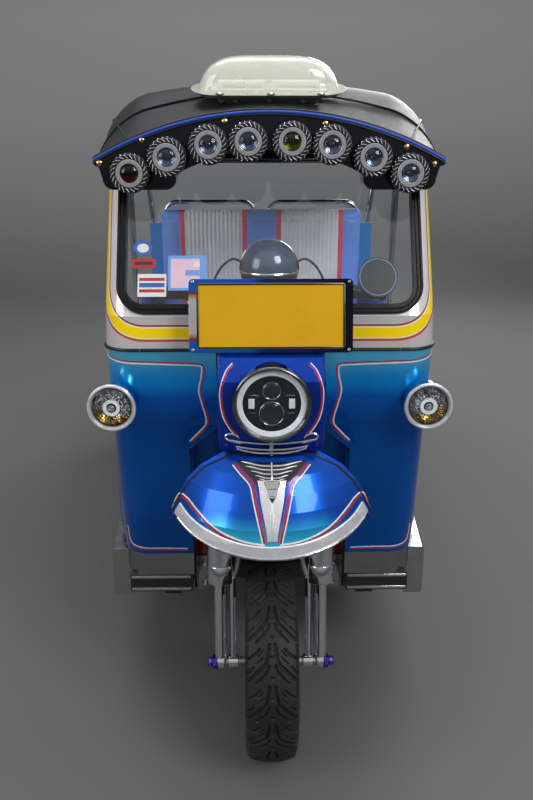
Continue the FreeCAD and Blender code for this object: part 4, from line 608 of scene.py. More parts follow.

# %% [markdown]
# ## Vinyl, rubber and plate
# The roof skin and the seats are coated cloth: a fine leather-like grain that needs a cell
# pattern rather than plain noise. Tyre rubber is dull, with a little grey dust low down.

# %% Vinyl and rubber
def vinyl(name, colour, rough=0.42, grain_size=420.0, depth=0.22, dust=0.1, spec=0.5):
    """Coated cloth with a pebbled grain."""
    material = finish(name, colour, rough, grain=(9.0, 0.88, 1.1), bump=(0.05, 900.0), dust=dust,
                      edge=0.0, coat=0.05 if spec > 0.3 else 0.0, spec=spec)
    tree, skin, base = finish_parts(material)
    cells = node(tree, "ShaderNodeTexVoronoi", {"feature": "DISTANCE_TO_EDGE", "Scale": grain_size})
    tree.links.new(node(tree, "ShaderNodeTexCoord").outputs["Object"], cells.inputs["Vector"])
    pebble = node(tree, "ShaderNodeMapRange", {"From Max": 0.25}, Value=cells.outputs["Distance"])
    raised = node(tree, "ShaderNodeBump", {"Strength": depth, "Distance": 0.001},
                  Height=pebble.outputs["Result"])
    before = skin.inputs["Normal"].links[0].from_socket
    tree.links.new(before, raised.inputs["Normal"])
    tree.links.new(raised.outputs["Normal"], skin.inputs["Normal"])
    return material


VINYLS = (
    ("seat_vinyl", (0.3, 0.31, 0.33)),
    ("seat_red", (0.38, 0.016, 0.016)),
    ("seat_white", (0.74, 0.74, 0.72)),
    ("piping_blue", (0.006, 0.05, 0.4)),
)
for name, colour in VINYLS:
    vinyl(name, colour)
vinyl("canopy_vinyl", (0.007, 0.0075, 0.01), rough=0.36, dust=0.03, spec=0.28)
finish("tyre_rubber", (0.011, 0.011, 0.012), 0.58, grain=(25.0, 0.8, 1.3), bump=(0.2, 350.0),
       dust=0.12, edge=0.0, spec=0.35)
finish("yellow_plate", (0.66, 0.37, 0.005), 0.3, coat=0.2, spec=0.2, grain=(12.0, 0.95, 1.03), edge=0.001)

# %% [markdown]
# ## Give every CAD node its finish
# The record names a slot for each node, and the import keeps it as the node's material name.
# Most slots have a finish of the same name. A short table names the exceptions.

# %% Assign finishes
OTHER_FINISH = {"front_panel_left": "panel_lacquer", "front_panel_right": "panel_lacquer",
                "wheel_housing": "well_lacquer", "windscreen_gasket": "gasket_rubber",
                "sill_plates": "worn_chrome", "side_sills": "brushed_sill", "tail_lamps": "tail_lens",
                "head_lamp_bezel": "dark_chrome", "fender_rim": "bright_metal",
                "nose_cowl": "nose_lacquer", "front_fender": "fender_lacquer",
                "rear_tub": "tub_lacquer", "rear_fenders": "tub_lacquer",
                "windscreen_frame": "striped_frame", "number_plate": "yellow_plate",
                "roof_header": "black_gloss", "head_lamp_unit": "lamp_black", "sign_dome": "milk_glass",
                "spot_lamp_lenses": "clear_glass", "side_lamp_lenses": "amber_glass"}
for name, part in NODES.items():
    slot = part.data.materials[0].name
    part.data.materials[0] = FINISHES[OTHER_FINISH.get(name, slot)]
print("finished nodes", len(NODES))

# %% [markdown]
# ## Tools for making pieces
# Most added pieces are one of three things: a profile turned about an axis (rings, lenses,
# screws), a tube that follows a smooth route (piping, cables, stays), or a painted line that
# lies on the bodywork. One helper makes each, so a piece is then a few numbers.

# %% Piece helpers
BACKWARD = (0, 1, 0)


def box_of(node_name):
    """The lowest and the highest corner of a CAD node's box."""
    low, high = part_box(node_name)
    return Vector(low), Vector(high)


def add_piece(name, mesh, body, *finishes, crease=35.0):
    """Make an object of a mesh, give it its finishes and let it ride on a body."""
    for finish_name in finishes:
        mesh.materials.append(FINISHES[finish_name])
    mesh.shade_smooth()
    mesh.set_sharp_from_angle(angle=radians(crease))
    piece = bpy.data.objects.new(name, mesh)
    scene.collection.objects.link(piece)
    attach(piece, body)
    return piece


def to_mesh(name, bm):
    """Close the books on a bmesh: doubles merged, faces outward."""
    bmesh.ops.remove_doubles(bm, verts=bm.verts, dist=1e-6)
    bmesh.ops.recalc_face_normals(bm, faces=bm.faces)
    mesh = bpy.data.meshes.new(name)
    bm.to_mesh(mesh)
    bm.free()
    return mesh


def finished(bm, name, body, slot, *finishes, replaced=None, crease=35.0):
    """Turn a bmesh into one piece on a body, perhaps in place of a CAD node; the slot is not used."""
    piece = add_piece(name, to_mesh(name, bm), body, *finishes, crease=crease)
    if replaced:
        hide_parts(replaced)
    return piece


def baked(piece):
    """The evaluated mesh of an object, as a plain mesh."""
    graph = bpy.context.evaluated_depsgraph_get()
    return bpy.data.meshes.new_from_object(piece.evaluated_get(graph))


def lathe(bm, profile, place, axis, sides=48, paint=None, ring=False):
    """Turn (radius, reach) points about an axis; a radius of 0 closes the end."""
    axis = Vector(axis).normalized()
    place = Vector(place)
    turn = axis.to_track_quat("Z", "Y")
    loops = []
    for radius, reach in profile:
        middle = place + axis * reach
        if radius == 0.0:
            loops.append([bm.verts.new(middle)])
            continue
        loops.append([bm.verts.new(middle + turn @ Vector((radius * cos(a), radius * sin(a), 0.0)))
                      for a in (2 * pi * i / sides for i in range(sides))])
    pairs = list(zip(loops, loops[1:])) + ([(loops[-1], loops[0])] if ring else [])
    for k, (near, far) in enumerate(pairs):
        for i in range(sides):
            j = (i + 1) % sides
            corners = [near[i % len(near)], near[j % len(near)], far[j % len(far)], far[i % len(far)]]
            corners = list(dict.fromkeys(corners))
            if len(corners) > 2:
                face = bm.faces.new(corners)
                face.material_index = paint[k] if paint else 0


def mm(*points):
    """Points given in millimetres, in metres."""
    return [tuple(v / 1000 for v in point) for point in points]


def smooth_route(points, per=8, closed=False):
    """Points on a smooth curve through the given ones."""
    points = [Vector(p) for p in points]
    count = len(points)
    out = []
    for i in range(count if closed else count - 1):
        p0 = points[(i - 1) % count] if closed or i else points[0] * 2 - points[1]
        p1, p2 = points[i], points[(i + 1) % count]
        p3 = points[(i + 2) % count] if closed or i + 2 < count else p2 * 2 - p1
        for step in range(per):
            t = step / per
            out.append(0.5 * (2 * p1 + (p2 - p0) * t + (2 * p0 - 5 * p1 + 4 * p2 - p3) * t * t
                              + (3 * p1 - p0 - 3 * p2 + p3) * t ** 3))
    if not closed:
        out.append(points[-1])
    return out


def join_loops(bm, loops, closed, paint):
    """Faces from each loop of points to the next; an open row of loops gets two end caps."""
    for near, far in zip(loops, loops[1:] + (loops[:1] if closed else [])):
        for k in range(len(near)):
            m = (k + 1) % len(near)
            bm.faces.new((near[k], near[m], far[m], far[k])).material_index = paint
    if not closed:
        for loop in (loops[0], loops[-1]):
            bm.faces.new(loop).material_index = paint


def tube(bm, route, radius, sides=10, closed=False, paint=0):
    """Sweep a circle along a route, with its ends closed."""
    count = len(route)
    radii = radius if isinstance(radius, (list, tuple)) else [radius] * count
    last = None
    loops = []
    for i, point in enumerate(route):
        ahead = route[(i + 1) % count] if closed or i + 1 < count else point
        behind = route[i - 1] if closed or i else point
        way = (ahead - behind).normalized()
        if last is None:
            side = way.orthogonal().normalized()
        else:
            side = (last - way * last.dot(way)).normalized()
        last = side
        over = way.cross(side)
        loops.append([bm.verts.new(point + (side * cos(a) + over * sin(a)) * radii[i])
                      for a in (2 * pi * k / sides for k in range(sides))])
    join_loops(bm, loops, closed, paint)


def bevelled_box(bm, low, high, radius=0.001, paint=0, turn=None, segments=2):
    """A box with rounded edges, turned about its centre by a matrix."""
    low, high = Vector(low), Vector(high)
    start_faces = set(bm.faces)
    made = bmesh.ops.create_cube(bm, size=1.0)["verts"]
    for vert in made:
        vert.co = Vector([v * s for v, s in zip(vert.co, high - low)])
    edges = list(dict.fromkeys(e for v in made for e in v.link_edges))
    bmesh.ops.bevel(bm, geom=edges, offset=radius, segments=segments, affect="EDGES", profile=0.5)
    centre = (low + high) / 2
    new_faces = [f for f in bm.faces if f not in start_faces]
    for vert in {v for f in new_faces for v in f.verts}:
        vert.co = (turn @ vert.co if turn else vert.co) + centre
    for face in new_faces:
        face.material_index = paint


def block_at(bm, middle, half, radius, **settings):
    """A rounded block round its middle."""
    half = Vector(half)
    bevelled_box(bm, middle - half, middle + half, radius, **settings)


def turned_piece(name, body, slot, finishes, places, *profiles, replaced=None):
    """One piece of profiles turned about the front-to-back axis, the same at every place."""
    bm = bmesh.new()
    for place in places:
        for profile, settings in profiles:
            lathe(bm, profile, place, BACKWARD, **settings)
    return finished(bm, name, body, slot, *finishes, replaced=replaced)


# %% [markdown]
# ## Lines on bodywork
# A pinstripe is laid on the panel behind it: points of its route, as seen from the front, are
# pushed back onto the CAD surface, and a thin strip is built over them. A texture would need an
# unwrapped panel, while a strip follows any curve. It swells and narrows a little, as a brush
# line does.

# %% Painted lines
TREES = {}
RAY_START_Y = -3.0


def surface_of(*names):
    """A search tree over the faces of CAD nodes."""
    if names not in TREES:
        points, faces = [], []
        for name in names:
            part = NODES[name].data
            first = len(points)
            points += [v.co.copy() for v in part.vertices]
            faces += [[first + i for i in p.vertices] for p in part.polygons]
        TREES[names] = BVHTree.FromPolygons(points, faces)
    return TREES[names]


def onto(nodes, start, way):
    """Where a ray first meets some CAD nodes, with the surface normal there."""
    place, normal, face, reach = surface_of(*nodes).ray_cast(Vector(start), Vector(way))
    if place is None:
        return None
    return place, normal if normal.dot(Vector(way)) < 0 else -normal


def from_front(nodes, x, z):
    """Where the front view meets some CAD nodes at a place across and up."""
    return onto(nodes, (x, RAY_START_Y, z), BACKWARD)


def strip(bm, samples, width, lift=0.0005, paint=0, closed=False, wave=0.1):
    """A thin raised strip along points with normals."""
    count = len(samples)
    loops = []
    for i, (point, normal) in enumerate(samples):
        ahead = samples[(i + 1) % count][0] if closed or i + 1 < count else point
        behind = samples[i - 1][0] if closed or i else point
        side = (ahead - behind).cross(normal).normalized()
        half = width / 2 * (1.0 + wave * sin(i * 0.9) * sin(i * 0.31))
        loops.append([bm.verts.new(point + side * half * across + normal * up)
                      for across, up in ((-1.0, -0.0004), (-0.8, lift), (0.8, lift), (1.0, -0.0004))])
    join_loops(bm, loops, closed, paint)


def front_samples(nodes, route, per=8, closed=False):
    """Samples of a route of (x, z) points laid onto nodes from the front."""
    found = []
    for point in smooth_route([(x, RAY_START_Y, z) for x, z in route], per, closed):
        hit = from_front(nodes, point.x, point.z)
        if hit:
            found.append(hit)
    return found


def both_sides(route):
    """A route of (x, z) points and its mirror image."""
    return [route, [(-x, z) for x, z in route]]


print("helpers ready")

# %% [markdown]
# ## Canopy
# The roof skin is coated cloth pulled over bows, so it is one sheet that curves over the top,
# turns down at both sides and sags a little between the bows. The same stations that shape the
# CAD roof give its size. Cloth could be draped here, but this skin is stretched tight, so its
# shape follows the bows. A solidify modifier makes the thickness, the piping along the front is
# three tubes, and the welted seams are tubes of the same vinyl.

# %% Canopy stations
CANOPY_ROWS = (
    # y, half width, edge, haunch x and z, shoulder x and z, crown
    (-1.1, 0.411, 1.5, 0.361, 1.5255, 0.3, 1.551, 1.606),
    (-0.8, 0.44, 1.515, 0.405, 1.602, 0.32, 1.664, 1.695),
    (-0.4, 0.48, 1.52, 0.442, 1.612, 0.35, 1.678, 1.712),
    (0.3, 0.57, 1.52, 0.526, 1.618, 0.42, 1.69, 1.728),
    (1.1, 0.62, 1.51, 0.574, 1.606, 0.458, 1.676, 1.715),
    (1.5, 0.6, 1.49, 0.556, 1.562, 0.442, 1.622, 1.66),
)
CLOTH_T = 0.006
SKIRT_DROP = 0.045
BOW_PLACES = (-0.4, 0.3, 1.1)
ROOF_FRONT, ROOF_REAR = CANOPY_ROWS[0][0], CANOPY_ROWS[-1][0]
CLOTH_SAG = 0.005


def canopy_row(y):
    """The row of sizes at any station, eased between the rows of the table."""
    for a, b in zip(CANOPY_ROWS, CANOPY_ROWS[1:]):
        if y <= b[0]:
            t = max(0.0, (y - a[0]) / (b[0] - a[0]))
            return [y] + [p + (q - p) * t for p, q in zip(a[1:], b[1:])]
    return list(CANOPY_ROWS[-1])


def three_point_arc(a, b, c, count):
    """Points on the circle through three points, from the first to the last."""
    ax, az, bx, bz, cx, cz = *a, *b, *c
    d = 2 * (ax * (bz - cz) + bx * (cz - az) + cx * (az - bz))
    if abs(d) < 1e-9:
        return [(ax + (cx - ax) * i / count, az + (cz - az) * i / count) for i in range(count)]
    ux = ((ax**2 + az**2) * (bz - cz) + (bx**2 + bz**2) * (cz - az) + (cx**2 + cz**2) * (az - bz)) / d
    uz = ((ax**2 + az**2) * (cx - bx) + (bx**2 + bz**2) * (ax - cx) + (cx**2 + cz**2) * (bx - ax)) / d
    r = hypot(ax - ux, az - uz)
    first, last = atan2(az - uz, ax - ux), atan2(cz - uz, cx - ux)
    sweep = (last - first + pi) % (2 * pi) - pi
    return [(ux + r * cos(first + sweep * i / count), uz + r * sin(first + sweep * i / count))
            for i in range(count)]


def canopy_profile(y):
    """Points across the roof at a station, from the right skirt to the left one."""
    y, half, edge, hx, hz, sx, sz, crown = canopy_row(y)
    skirt = 0.012 if y < -1.09 else SKIRT_DROP * min(1.0, 0.27 + (y + 1.1) * 2.5)
    right = [(half, edge - skirt * k / 3) for k in (3, 2, 1)]
    right += three_point_arc((half, edge), (hx, hz), (sx, sz), 10)
    top = three_point_arc((sx, sz), (0.0, crown), (-sx, sz), 28)
    left = [(-x, z) for x, z in reversed(right)]
    points = right + top + [(-sx, sz)] + left
    return [(x, y, z) for x, z in points]


def sag(y, x, half):
    """How far the cloth hangs between two bows, most on the middle line."""
    for a, b in zip((ROOF_FRONT,) + BOW_PLACES, BOW_PLACES + (ROOF_REAR,)):
        if a <= y <= b:
            along_bay = sin(pi * (y - a) / (b - a))
            return CLOTH_SAG * along_bay * max(0.0, 1 - (x / half) ** 2)
    return 0.0


# %% Canopy sheet
STATION_STEP = 0.05
stations = []
y = ROOF_FRONT
while y < ROOF_REAR - 0.0001:
    stations.append(y)
    y += STATION_STEP
stations.append(ROOF_REAR)
bm = bmesh.new()
rows = []
for y in stations:
    half = canopy_row(y)[1]
    rows.append([bm.verts.new((x, py, z - sag(y, x, half) - 0.0003)) for x, py, z in canopy_profile(y)])
for near, far in zip(rows, rows[1:]):
    for i in range(len(near) - 1):
        bm.faces.new((near[i], near[i + 1], far[i + 1], far[i]))
canopy_mesh = to_mesh("canopy_sheet", bm)
if sum(p.normal.z * p.area for p in canopy_mesh.polygons) < 0:
    canopy_mesh.flip_normals()
bow_line = canopy_profile(BOW_PLACES[1])
sheet = bpy.data.objects.new("canopy_draft", canopy_mesh)
scene.collection.objects.link(sheet)
smooth = sheet.modifiers.new("smooth", "SUBSURF")
smooth.levels = smooth.render_levels = 1
thick = sheet.modifiers.new("thickness", "SOLIDIFY")
thick.thickness = CLOTH_T
thick.offset = -1.0
canopy = add_piece("canopy_skin", baked(sheet), "chassis", "canopy_vinyl", crease=60.0)
bpy.data.objects.remove(sheet)
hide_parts("roof_canopy")

# %% Canopy piping
def roof_point(y, share, lift=0.0):
    """A point on the roof; the share runs from 0 at the right skirt to 1 at the left one."""
    points = [Vector(p) for p in canopy_profile(y)]
    lengths = [0.0]
    for a, b in zip(points, points[1:]):
        lengths.append(lengths[-1] + (b - a).length)
    goal = share * lengths[-1]
    for i in range(1, len(points)):
        if lengths[i] >= goal:
            t = (goal - lengths[i - 1]) / max(1e-9, lengths[i] - lengths[i - 1])
            point = points[i - 1].lerp(points[i], t)
            way = (points[i] - points[i - 1]).normalized()
            out = Vector((-way.z, 0.0, way.x))
            if out.z < -0.2 or (abs(out.z) <= 0.2 and out.x * point.x < 0):
                out = -out
            return point + out * lift
    return points[-1]


bm = bmesh.new()
front_arc = [roof_point(-1.1, 0.012 + 0.976 * i / 90, 0.001) + Vector((0.0, -0.004, -0.001))
             for i in range(91)]
tube(bm, front_arc, 0.004, sides=12)
for shift, drop in ((0.003, 0.0058), (-0.001, -0.0056)):
    tube(bm, [p + Vector((0.0, shift, drop)) for p in front_arc], 0.0026, sides=8, paint=1)
finished(bm, "canopy_piping", "chassis", "canopy_vinyl", "piping_blue", "black_rubber")

bm = bmesh.new()
WELT_SHARES = (0.115, 0.885)
for share in WELT_SHARES:
    tube(bm, [roof_point(-1.095 + 2.59 * i / 60, share, 0.0005) for i in range(61)], 0.003, sides=8)
for side in (0.006, 0.994):
    tube(bm, [roof_point(-1.095 + 2.59 * i / 60, side, 0.0) for i in range(61)], 0.0035, sides=8)
tube(bm, [roof_point(-0.93, 0.02 + 0.96 * i / 80, 0.0005) for i in range(81)], 0.0028, sides=8)
tube(bm, [roof_point(1.497, 0.012 + 0.976 * i / 80, 0.0) for i in range(81)], 0.005, sides=8)
finished(bm, "canopy_welts", "chassis", "canopy_vinyl", "canopy_vinyl")
print("piping and welts done")

# %% [markdown]
# ## Padded seats
# A cushion is cloth round foam. Each one starts as a rounded block a little smaller than its
# CAD solid, is remeshed into even small faces, and is then blown up for a few frames by
# Blender's Cloth so that the faces crown and the corners pull in. Points may move only so far,
# so a seat never leaves its place. The sewn channels are pressed in afterwards.

# %% Cushion maker
def rounded_form(low, high, radius, name):
    """A block with round edges, as a start for a cushion."""
    bm = bmesh.new()
    bevelled_box(bm, low, high, radius, segments=5)
    return to_mesh(name, bm)


def inflate(mesh, name, voxel, cap, pressure=4.0):
    """Swell a closed form with Cloth and keep every point within the cap."""
    draft = bpy.data.objects.new(name, mesh)
    scene.collection.objects.link(draft)
    grid = draft.modifiers.new("grid", "REMESH")
    grid.mode = "VOXEL"
    grid.voxel_size = voxel
    even = baked(draft)
    bpy.data.objects.remove(draft)
    start_points = [v.co.copy() for v in even.vertices]
    pad = bpy.data.objects.new(name + "_sim", even)
    scene.collection.objects.link(pad)
    cloth = pad.modifiers.new("cloth", "CLOTH")
    cloth.settings.use_pressure = True
    cloth.settings.uniform_pressure_force = pressure
    cloth.settings.effector_weights.gravity = 0.0
    cloth.settings.quality = 4
    cloth.settings.time_scale = 1.0
    cloth.point_cache.frame_start, cloth.point_cache.frame_end = 1, 20
    for frame_number in range(1, 21):
        scene.frame_set(frame_number)
    swollen = baked(pad)
    scene.frame_set(1)
    bpy.data.objects.remove(pad)
    for vert, first in zip(swollen.vertices, start_points):
        shift = vert.co - first
        if shift.length > cap:
            vert.co = first + shift * (cap / shift.length)
    return swollen


def press_channels(mesh, channels, depth, width, axis, faces_way, limits):
    """Press sewn lines into the side of a cushion that faces one way."""
    faces_way = Vector(faces_way)
    for vert in mesh.vertices:
        if vert.normal.dot(faces_way) < 0.35:
            continue
        low, high = limits
        share = 1.0 if low < vert.co[2 if axis == 0 and abs(faces_way.y) > 0.5 else 1] < high else 0.0
        for place in channels:
            gap = abs(vert.co[axis] - place)
            if gap < width:
                vert.co -= faces_way * depth * share * (1 - gap / width) ** 2


def cushion(name, node, finishes, inset, radius, voxel, cap, shape=None):
    """One padded piece in the room of a CAD solid."""
    low, high = box_of(node)
    edge = Vector((inset, inset, inset))
    mesh = inflate(rounded_form(low + edge, high - edge, radius, name), name, voxel, cap)
    for vert in mesh.vertices:
        for k in range(3):
            vert.co[k] = min(max(vert.co[k], low[k]), high[k])
    if shape:
        shape(mesh)
    draft = bpy.data.objects.new(name + "_draft", mesh)
    scene.collection.objects.link(draft)
    finer = draft.modifiers.new("finer", "SUBSURF")
    finer.levels = finer.render_levels = 1
    piece = add_piece(name, baked(draft), "chassis", *finishes, crease=80.0)
    bpy.data.objects.remove(draft)
    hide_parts(node)
    return piece


# %% Striped seat cover
COVER_BLUE, COVER_RED, COVER_GREY = (0.13, 0.33, 0.95), (0.74, 0.05, 0.12), (0.84, 0.86, 0.9)
SEAT_STRIPES = (
    # right end of the stripe in metres from the middle line, colour
    (-0.402, COVER_BLUE), (-0.375, COVER_RED), (-0.096, COVER_GREY), (-0.07, COVER_RED), (0.07, COVER_BLUE),
    (0.096, COVER_RED), (0.375, COVER_GREY), (0.402, COVER_RED), (0.52, COVER_BLUE),
)
COVER_HALF = 0.52
RIB_PITCH = 0.02
RIBS_MIDDLE, RIBS_HALF = 0.2355, 0.135
striped_seat = vinyl("seat_striped", (1.0, 1.0, 1.0))
tree, skin, base = finish_parts(striped_seat)
across = along(tree, object_axes(tree)[0], -COVER_HALF, COVER_HALF)
stops, left = [], -COVER_HALF
for right, colour in SEAT_STRIPES:
    stops.append(((left + COVER_HALF) / (2 * COVER_HALF), colour))
    left = right
tree.links.new(mix_colours(tree, 1.0, base, ramp(tree, across, stops, sharp=True), blend="MULTIPLY"),
               skin.inputs["Base Color"])
x = object_axes(tree)[0]
off_ribs = math_node(tree, "SUBTRACT", math_node(tree, "ABSOLUTE", x), RIBS_MIDDLE)
inside = math_node(tree, "ABSOLUTE", off_ribs)
in_grey = math_node(tree, "LESS_THAN", inside, RIBS_HALF)
wave = math_node(tree, "ABSOLUTE", math_node(tree, "SINE", math_node(tree, "MULTIPLY", x, pi / RIB_PITCH)))
ribbed = node(tree, "ShaderNodeBump", {"Strength": 0.9, "Distance": 0.004},
              Height=math_node(tree, "MULTIPLY", wave, in_grey))
tree.links.new(skin.inputs["Normal"].links[0].from_socket, ribbed.inputs["Normal"])
tree.links.new(ribbed.outputs["Normal"], skin.inputs["Normal"])
SEAMS = [row[0] for row in SEAT_STRIPES[:-1]]


def bench_back_shape(mesh):
    """Seams down the front of the back, and one across it near the top."""
    press_channels(mesh, SEAMS, 0.007, 0.012, 0, (0, -1, 0), (0.64, 1.17))
    press_channels(mesh, (1.175,), 0.006, 0.012, 2, (0, -1, 0), (-9.0, 9.0))


def bench_seat_shape(mesh):
    """The same seams along the top of the bench."""
    press_channels(mesh, SEAMS, 0.012, 0.014, 0, (0, 0, 1), (0.36, 0.84))


def driver_seat_shape(mesh):
    """Three sewn channels from front to back."""
    press_channels(mesh, (-0.1, 0.0, 0.1), 0.008, 0.016, 0, (0, 0, 1), (-0.46, -0.1))


# %% Seats
bench_back = cushion("bench_backrest_pad", "bench_backrest", ["seat_striped"], 0.01, 0.026, 0.009, 0.011,
                     bench_back_shape)
bench_seat = cushion("bench_seat_pad", "bench_cushion", ["seat_striped"], 0.01, 0.03, 0.009, 0.011,
                     bench_seat_shape)
driver_pad = cushion("driver_seat_pad", "driver_seat", ["seat_striped"], 0.01, 0.028, 0.008, 0.011,
                     driver_seat_shape)
driver_back = cushion("driver_back_pad", "driver_backrest", ["seat_striped"], 0.008, 0.022, 0.007, 0.009)
print("seats", [len(p.data.polygons) for p in (bench_back, bench_seat, driver_pad, driver_back)])

# %% [markdown]
# ## Pinstripes
# The panels carry hand-painted double lines, red outside and white inside. Their routes are
# read from the photograph as points across and up, and the helper lays them on the metal. Only
# one side is written down: the painter mirrored the lines, so the script does too.

# %% Pinstripes
PANELS = ("front_panel_left", "front_panel_right")
PANEL_LINE = [(-0.398, 1.06), (-0.388, 1.048), (-0.35, 1.042), (-0.289, 1.039), (-0.215, 1.036),
              (-0.17, 1.033), (-0.1605, 1.02), (-0.163, 0.995), (-0.17, 0.959), (-0.163, 0.92),
              (-0.156, 0.888), (-0.157, 0.862), (-0.176, 0.838), (-0.2, 0.812)]
BASE_LINE = [(-0.392, 0.545), (-0.39, 0.51), (-0.38, 0.486), (-0.345, 0.478), (-0.29, 0.477),
             (-0.224, 0.475)]
NOSE_LINE = [(-0.086, 1.062), (-0.101, 1.046), (-0.112, 1.015), (-0.113, 0.985), (-0.107, 0.95),
             (-0.094, 0.923), (-0.078, 0.903)]


def shifted(route, gap):
    """A route of (x, z) points moved sideways by a gap."""
    out = []
    for i, (x, z) in enumerate(route):
        (x0, z0), (x1, z1) = route[max(0, i - 1)], route[min(len(route) - 1, i + 1)]
        length = hypot(x1 - x0, z1 - z0)
        out.append((x - (z1 - z0) / length * gap, z + (x1 - x0) / length * gap))
    return out


bm = bmesh.new()
for nodes, route, pairs in (
        (PANELS, PANEL_LINE, ((0.0, 0.004, 0), (-0.0056, 0.004, 1))),
        (PANELS, BASE_LINE, ((0.0, 0.004, 0), (0.0056, 0.0034, 1))),
        (("nose_cowl",), NOSE_LINE, ((0.0, 0.0038, 0), (-0.0042, 0.0028, 1)))):
    for line in both_sides(route):
        mirror = 1 if line[0][0] < 0 else -1
        for gap, width, paint in pairs:
            samples = front_samples(nodes, shifted(line, gap * mirror))
            if len(samples) > 2:
                strip(bm, samples, width, paint=paint)
pinstripes = finished(bm, "pinstripes", "chassis", "yellow_paint", "red_paint", "white_paint")
print("pinstripes", len(pinstripes.data.polygons))

# %% [markdown]
# ## Trim round the front
# A rubber bead closes the joint under the windscreen frame, a thin bright strip caps each outer
# corner of the panels, and black seams edge the nose. They could be drawn by hand over the CAD
# edges, but rays find the panels' surface themselves, so the trim lies tight on it.

# %% Front trim
FRAME_SEAM_Z = 1.07


def belt(nodes, z, centre, first, last, count):
    """Points round a body at one height, found by rays towards its middle."""
    found = []
    for i in range(count):
        turn = radians(first + (last - first) * i / (count - 1))
        way = Vector((-sin(turn), cos(turn), 0.0))
        hit = onto(nodes, Vector((centre[0], centre[1], z)) - way * 2.0, way)
        if hit:
            found.append(hit)
    return found


bm = bmesh.new()
for side in (-1, 1):
    rim_line = belt(("windscreen_frame",), FRAME_SEAM_Z + 0.003, (side * 0.3, -1.02),
                    side * 4, side * 88, 60)
    rim_line = [(p + n * 0.001 + Vector((0, 0, -0.003)), n) for p, n in rim_line]
    tube(bm, [p for p, n in rim_line], 0.0042, sides=8)
    low = [from_front(("windscreen_frame",), side * x, FRAME_SEAM_Z + 0.003)
           for x in (0.0, 0.08, 0.16, 0.24, 0.31)]
    tube(bm, [p + Vector((0, -0.001, -0.003)) for p, n in (hit for hit in low if hit)], 0.0042, sides=8)
bead = finished(bm, "frame_bead", "chassis", "black_rubber", "black_rubber")

bm = bmesh.new()
for side, name in ((-1, "front_panel_left"), (1, "front_panel_right")):
    edge_line = []
    for k in range(40):
        z = 0.468 + (1.062 - 0.468) * k / 39
        edge_line += belt((name,), z, (side * 0.3, -1.02), side * 70, side * 71, 2)[:1]
    strip(bm, edge_line, 0.01, lift=0.0014, wave=0.0)
finished(bm, "corner_trim", "chassis", "chrome_trim", "chrome_trim")

NOSE_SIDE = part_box("nose_cowl")[1][0]
bm = bmesh.new()
for side in (-1, 1):
    seam = []
    for k in range(24):
        z = 0.868 + (1.062 - 0.868) * k / 23
        hit = from_front(PANELS, side * (NOSE_SIDE + 0.0035), z)
        if hit:
            seam.append(hit[0] + Vector((0, -0.0005, 0)))
    tube(bm, seam, 0.0032, sides=8)
finished(bm, "nose_seams", "chassis", "black_rubber", "black_rubber")
print("trim pieces done")

# %% [markdown]
# ## Rings of repeated parts
# Fins on a lamp, nuts on a wheel, chips of an LED ring: all are one small shape repeated on a
# circle. One Geometry Nodes tree does it. It puts the shape on a circle of points, and the circle
# on every point of the mesh it is given.

# %% Ring tree
def ring_tree():
    """Geometry Nodes: a shape on a circle, on every point of the input."""
    tree = bpy.data.node_groups.new("ring_of", "GeometryNodeTree")
    for label, kind in (("Places", "Geometry"), ("Shape", "Object"), ("Count", "Int"), ("Radius", "Float"),
                        ("Lean", "Float"), ("Facing", "Vector"), ("Finish", "Material")):
        tree.interface.new_socket(name=label, in_out="INPUT", socket_type="NodeSocket" + kind)
    tree.interface.new_socket(name="Parts", in_out="OUTPUT", socket_type="NodeSocketGeometry")
    given, result = tree.nodes.new("NodeGroupInput"), tree.nodes.new("NodeGroupOutput")

    def add(kind, **links):
        made = tree.nodes.new(kind)
        for key, source in links.items():
            tree.links.new(source, made.inputs[key.replace("_", " ")])
        return made

    circle = add("GeometryNodeMeshCircle", Vertices=given.outputs["Count"], Radius=given.outputs["Radius"])
    spot = add("GeometryNodeInputPosition")
    outward = add("FunctionNodeAlignRotationToVector", Vector=spot.outputs[0])
    outward.axis, outward.pivot_axis = "X", "Z"
    lean = add("ShaderNodeCombineXYZ", X=given.outputs["Lean"])
    turned = tree.nodes.new("FunctionNodeRotateRotation")
    turned.rotation_space = "LOCAL"
    tree.links.new(outward.outputs[0], turned.inputs["Rotation"])
    tree.links.new(lean.outputs[0], turned.inputs["Rotate By"])
    shape = add("GeometryNodeObjectInfo", Object=given.outputs["Shape"])
    ring = add("GeometryNodeInstanceOnPoints", Points=circle.outputs[0], Instance=shape.outputs["Geometry"],
               Rotation=turned.outputs[0])
    facing = add("GeometryNodeTransform", Geometry=ring.outputs[0], Rotation=given.outputs["Facing"])
    spread = add("GeometryNodeInstanceOnPoints", Points=given.outputs["Places"], Instance=facing.outputs[0])
    real = add("GeometryNodeRealizeInstances", Geometry=spread.outputs[0])
    painted = add("GeometryNodeSetMaterial", Geometry=real.outputs[0], Material=given.outputs["Finish"])
    tree.links.new(painted.outputs[0], result.inputs["Parts"])
    return tree


RING_TREE = ring_tree()


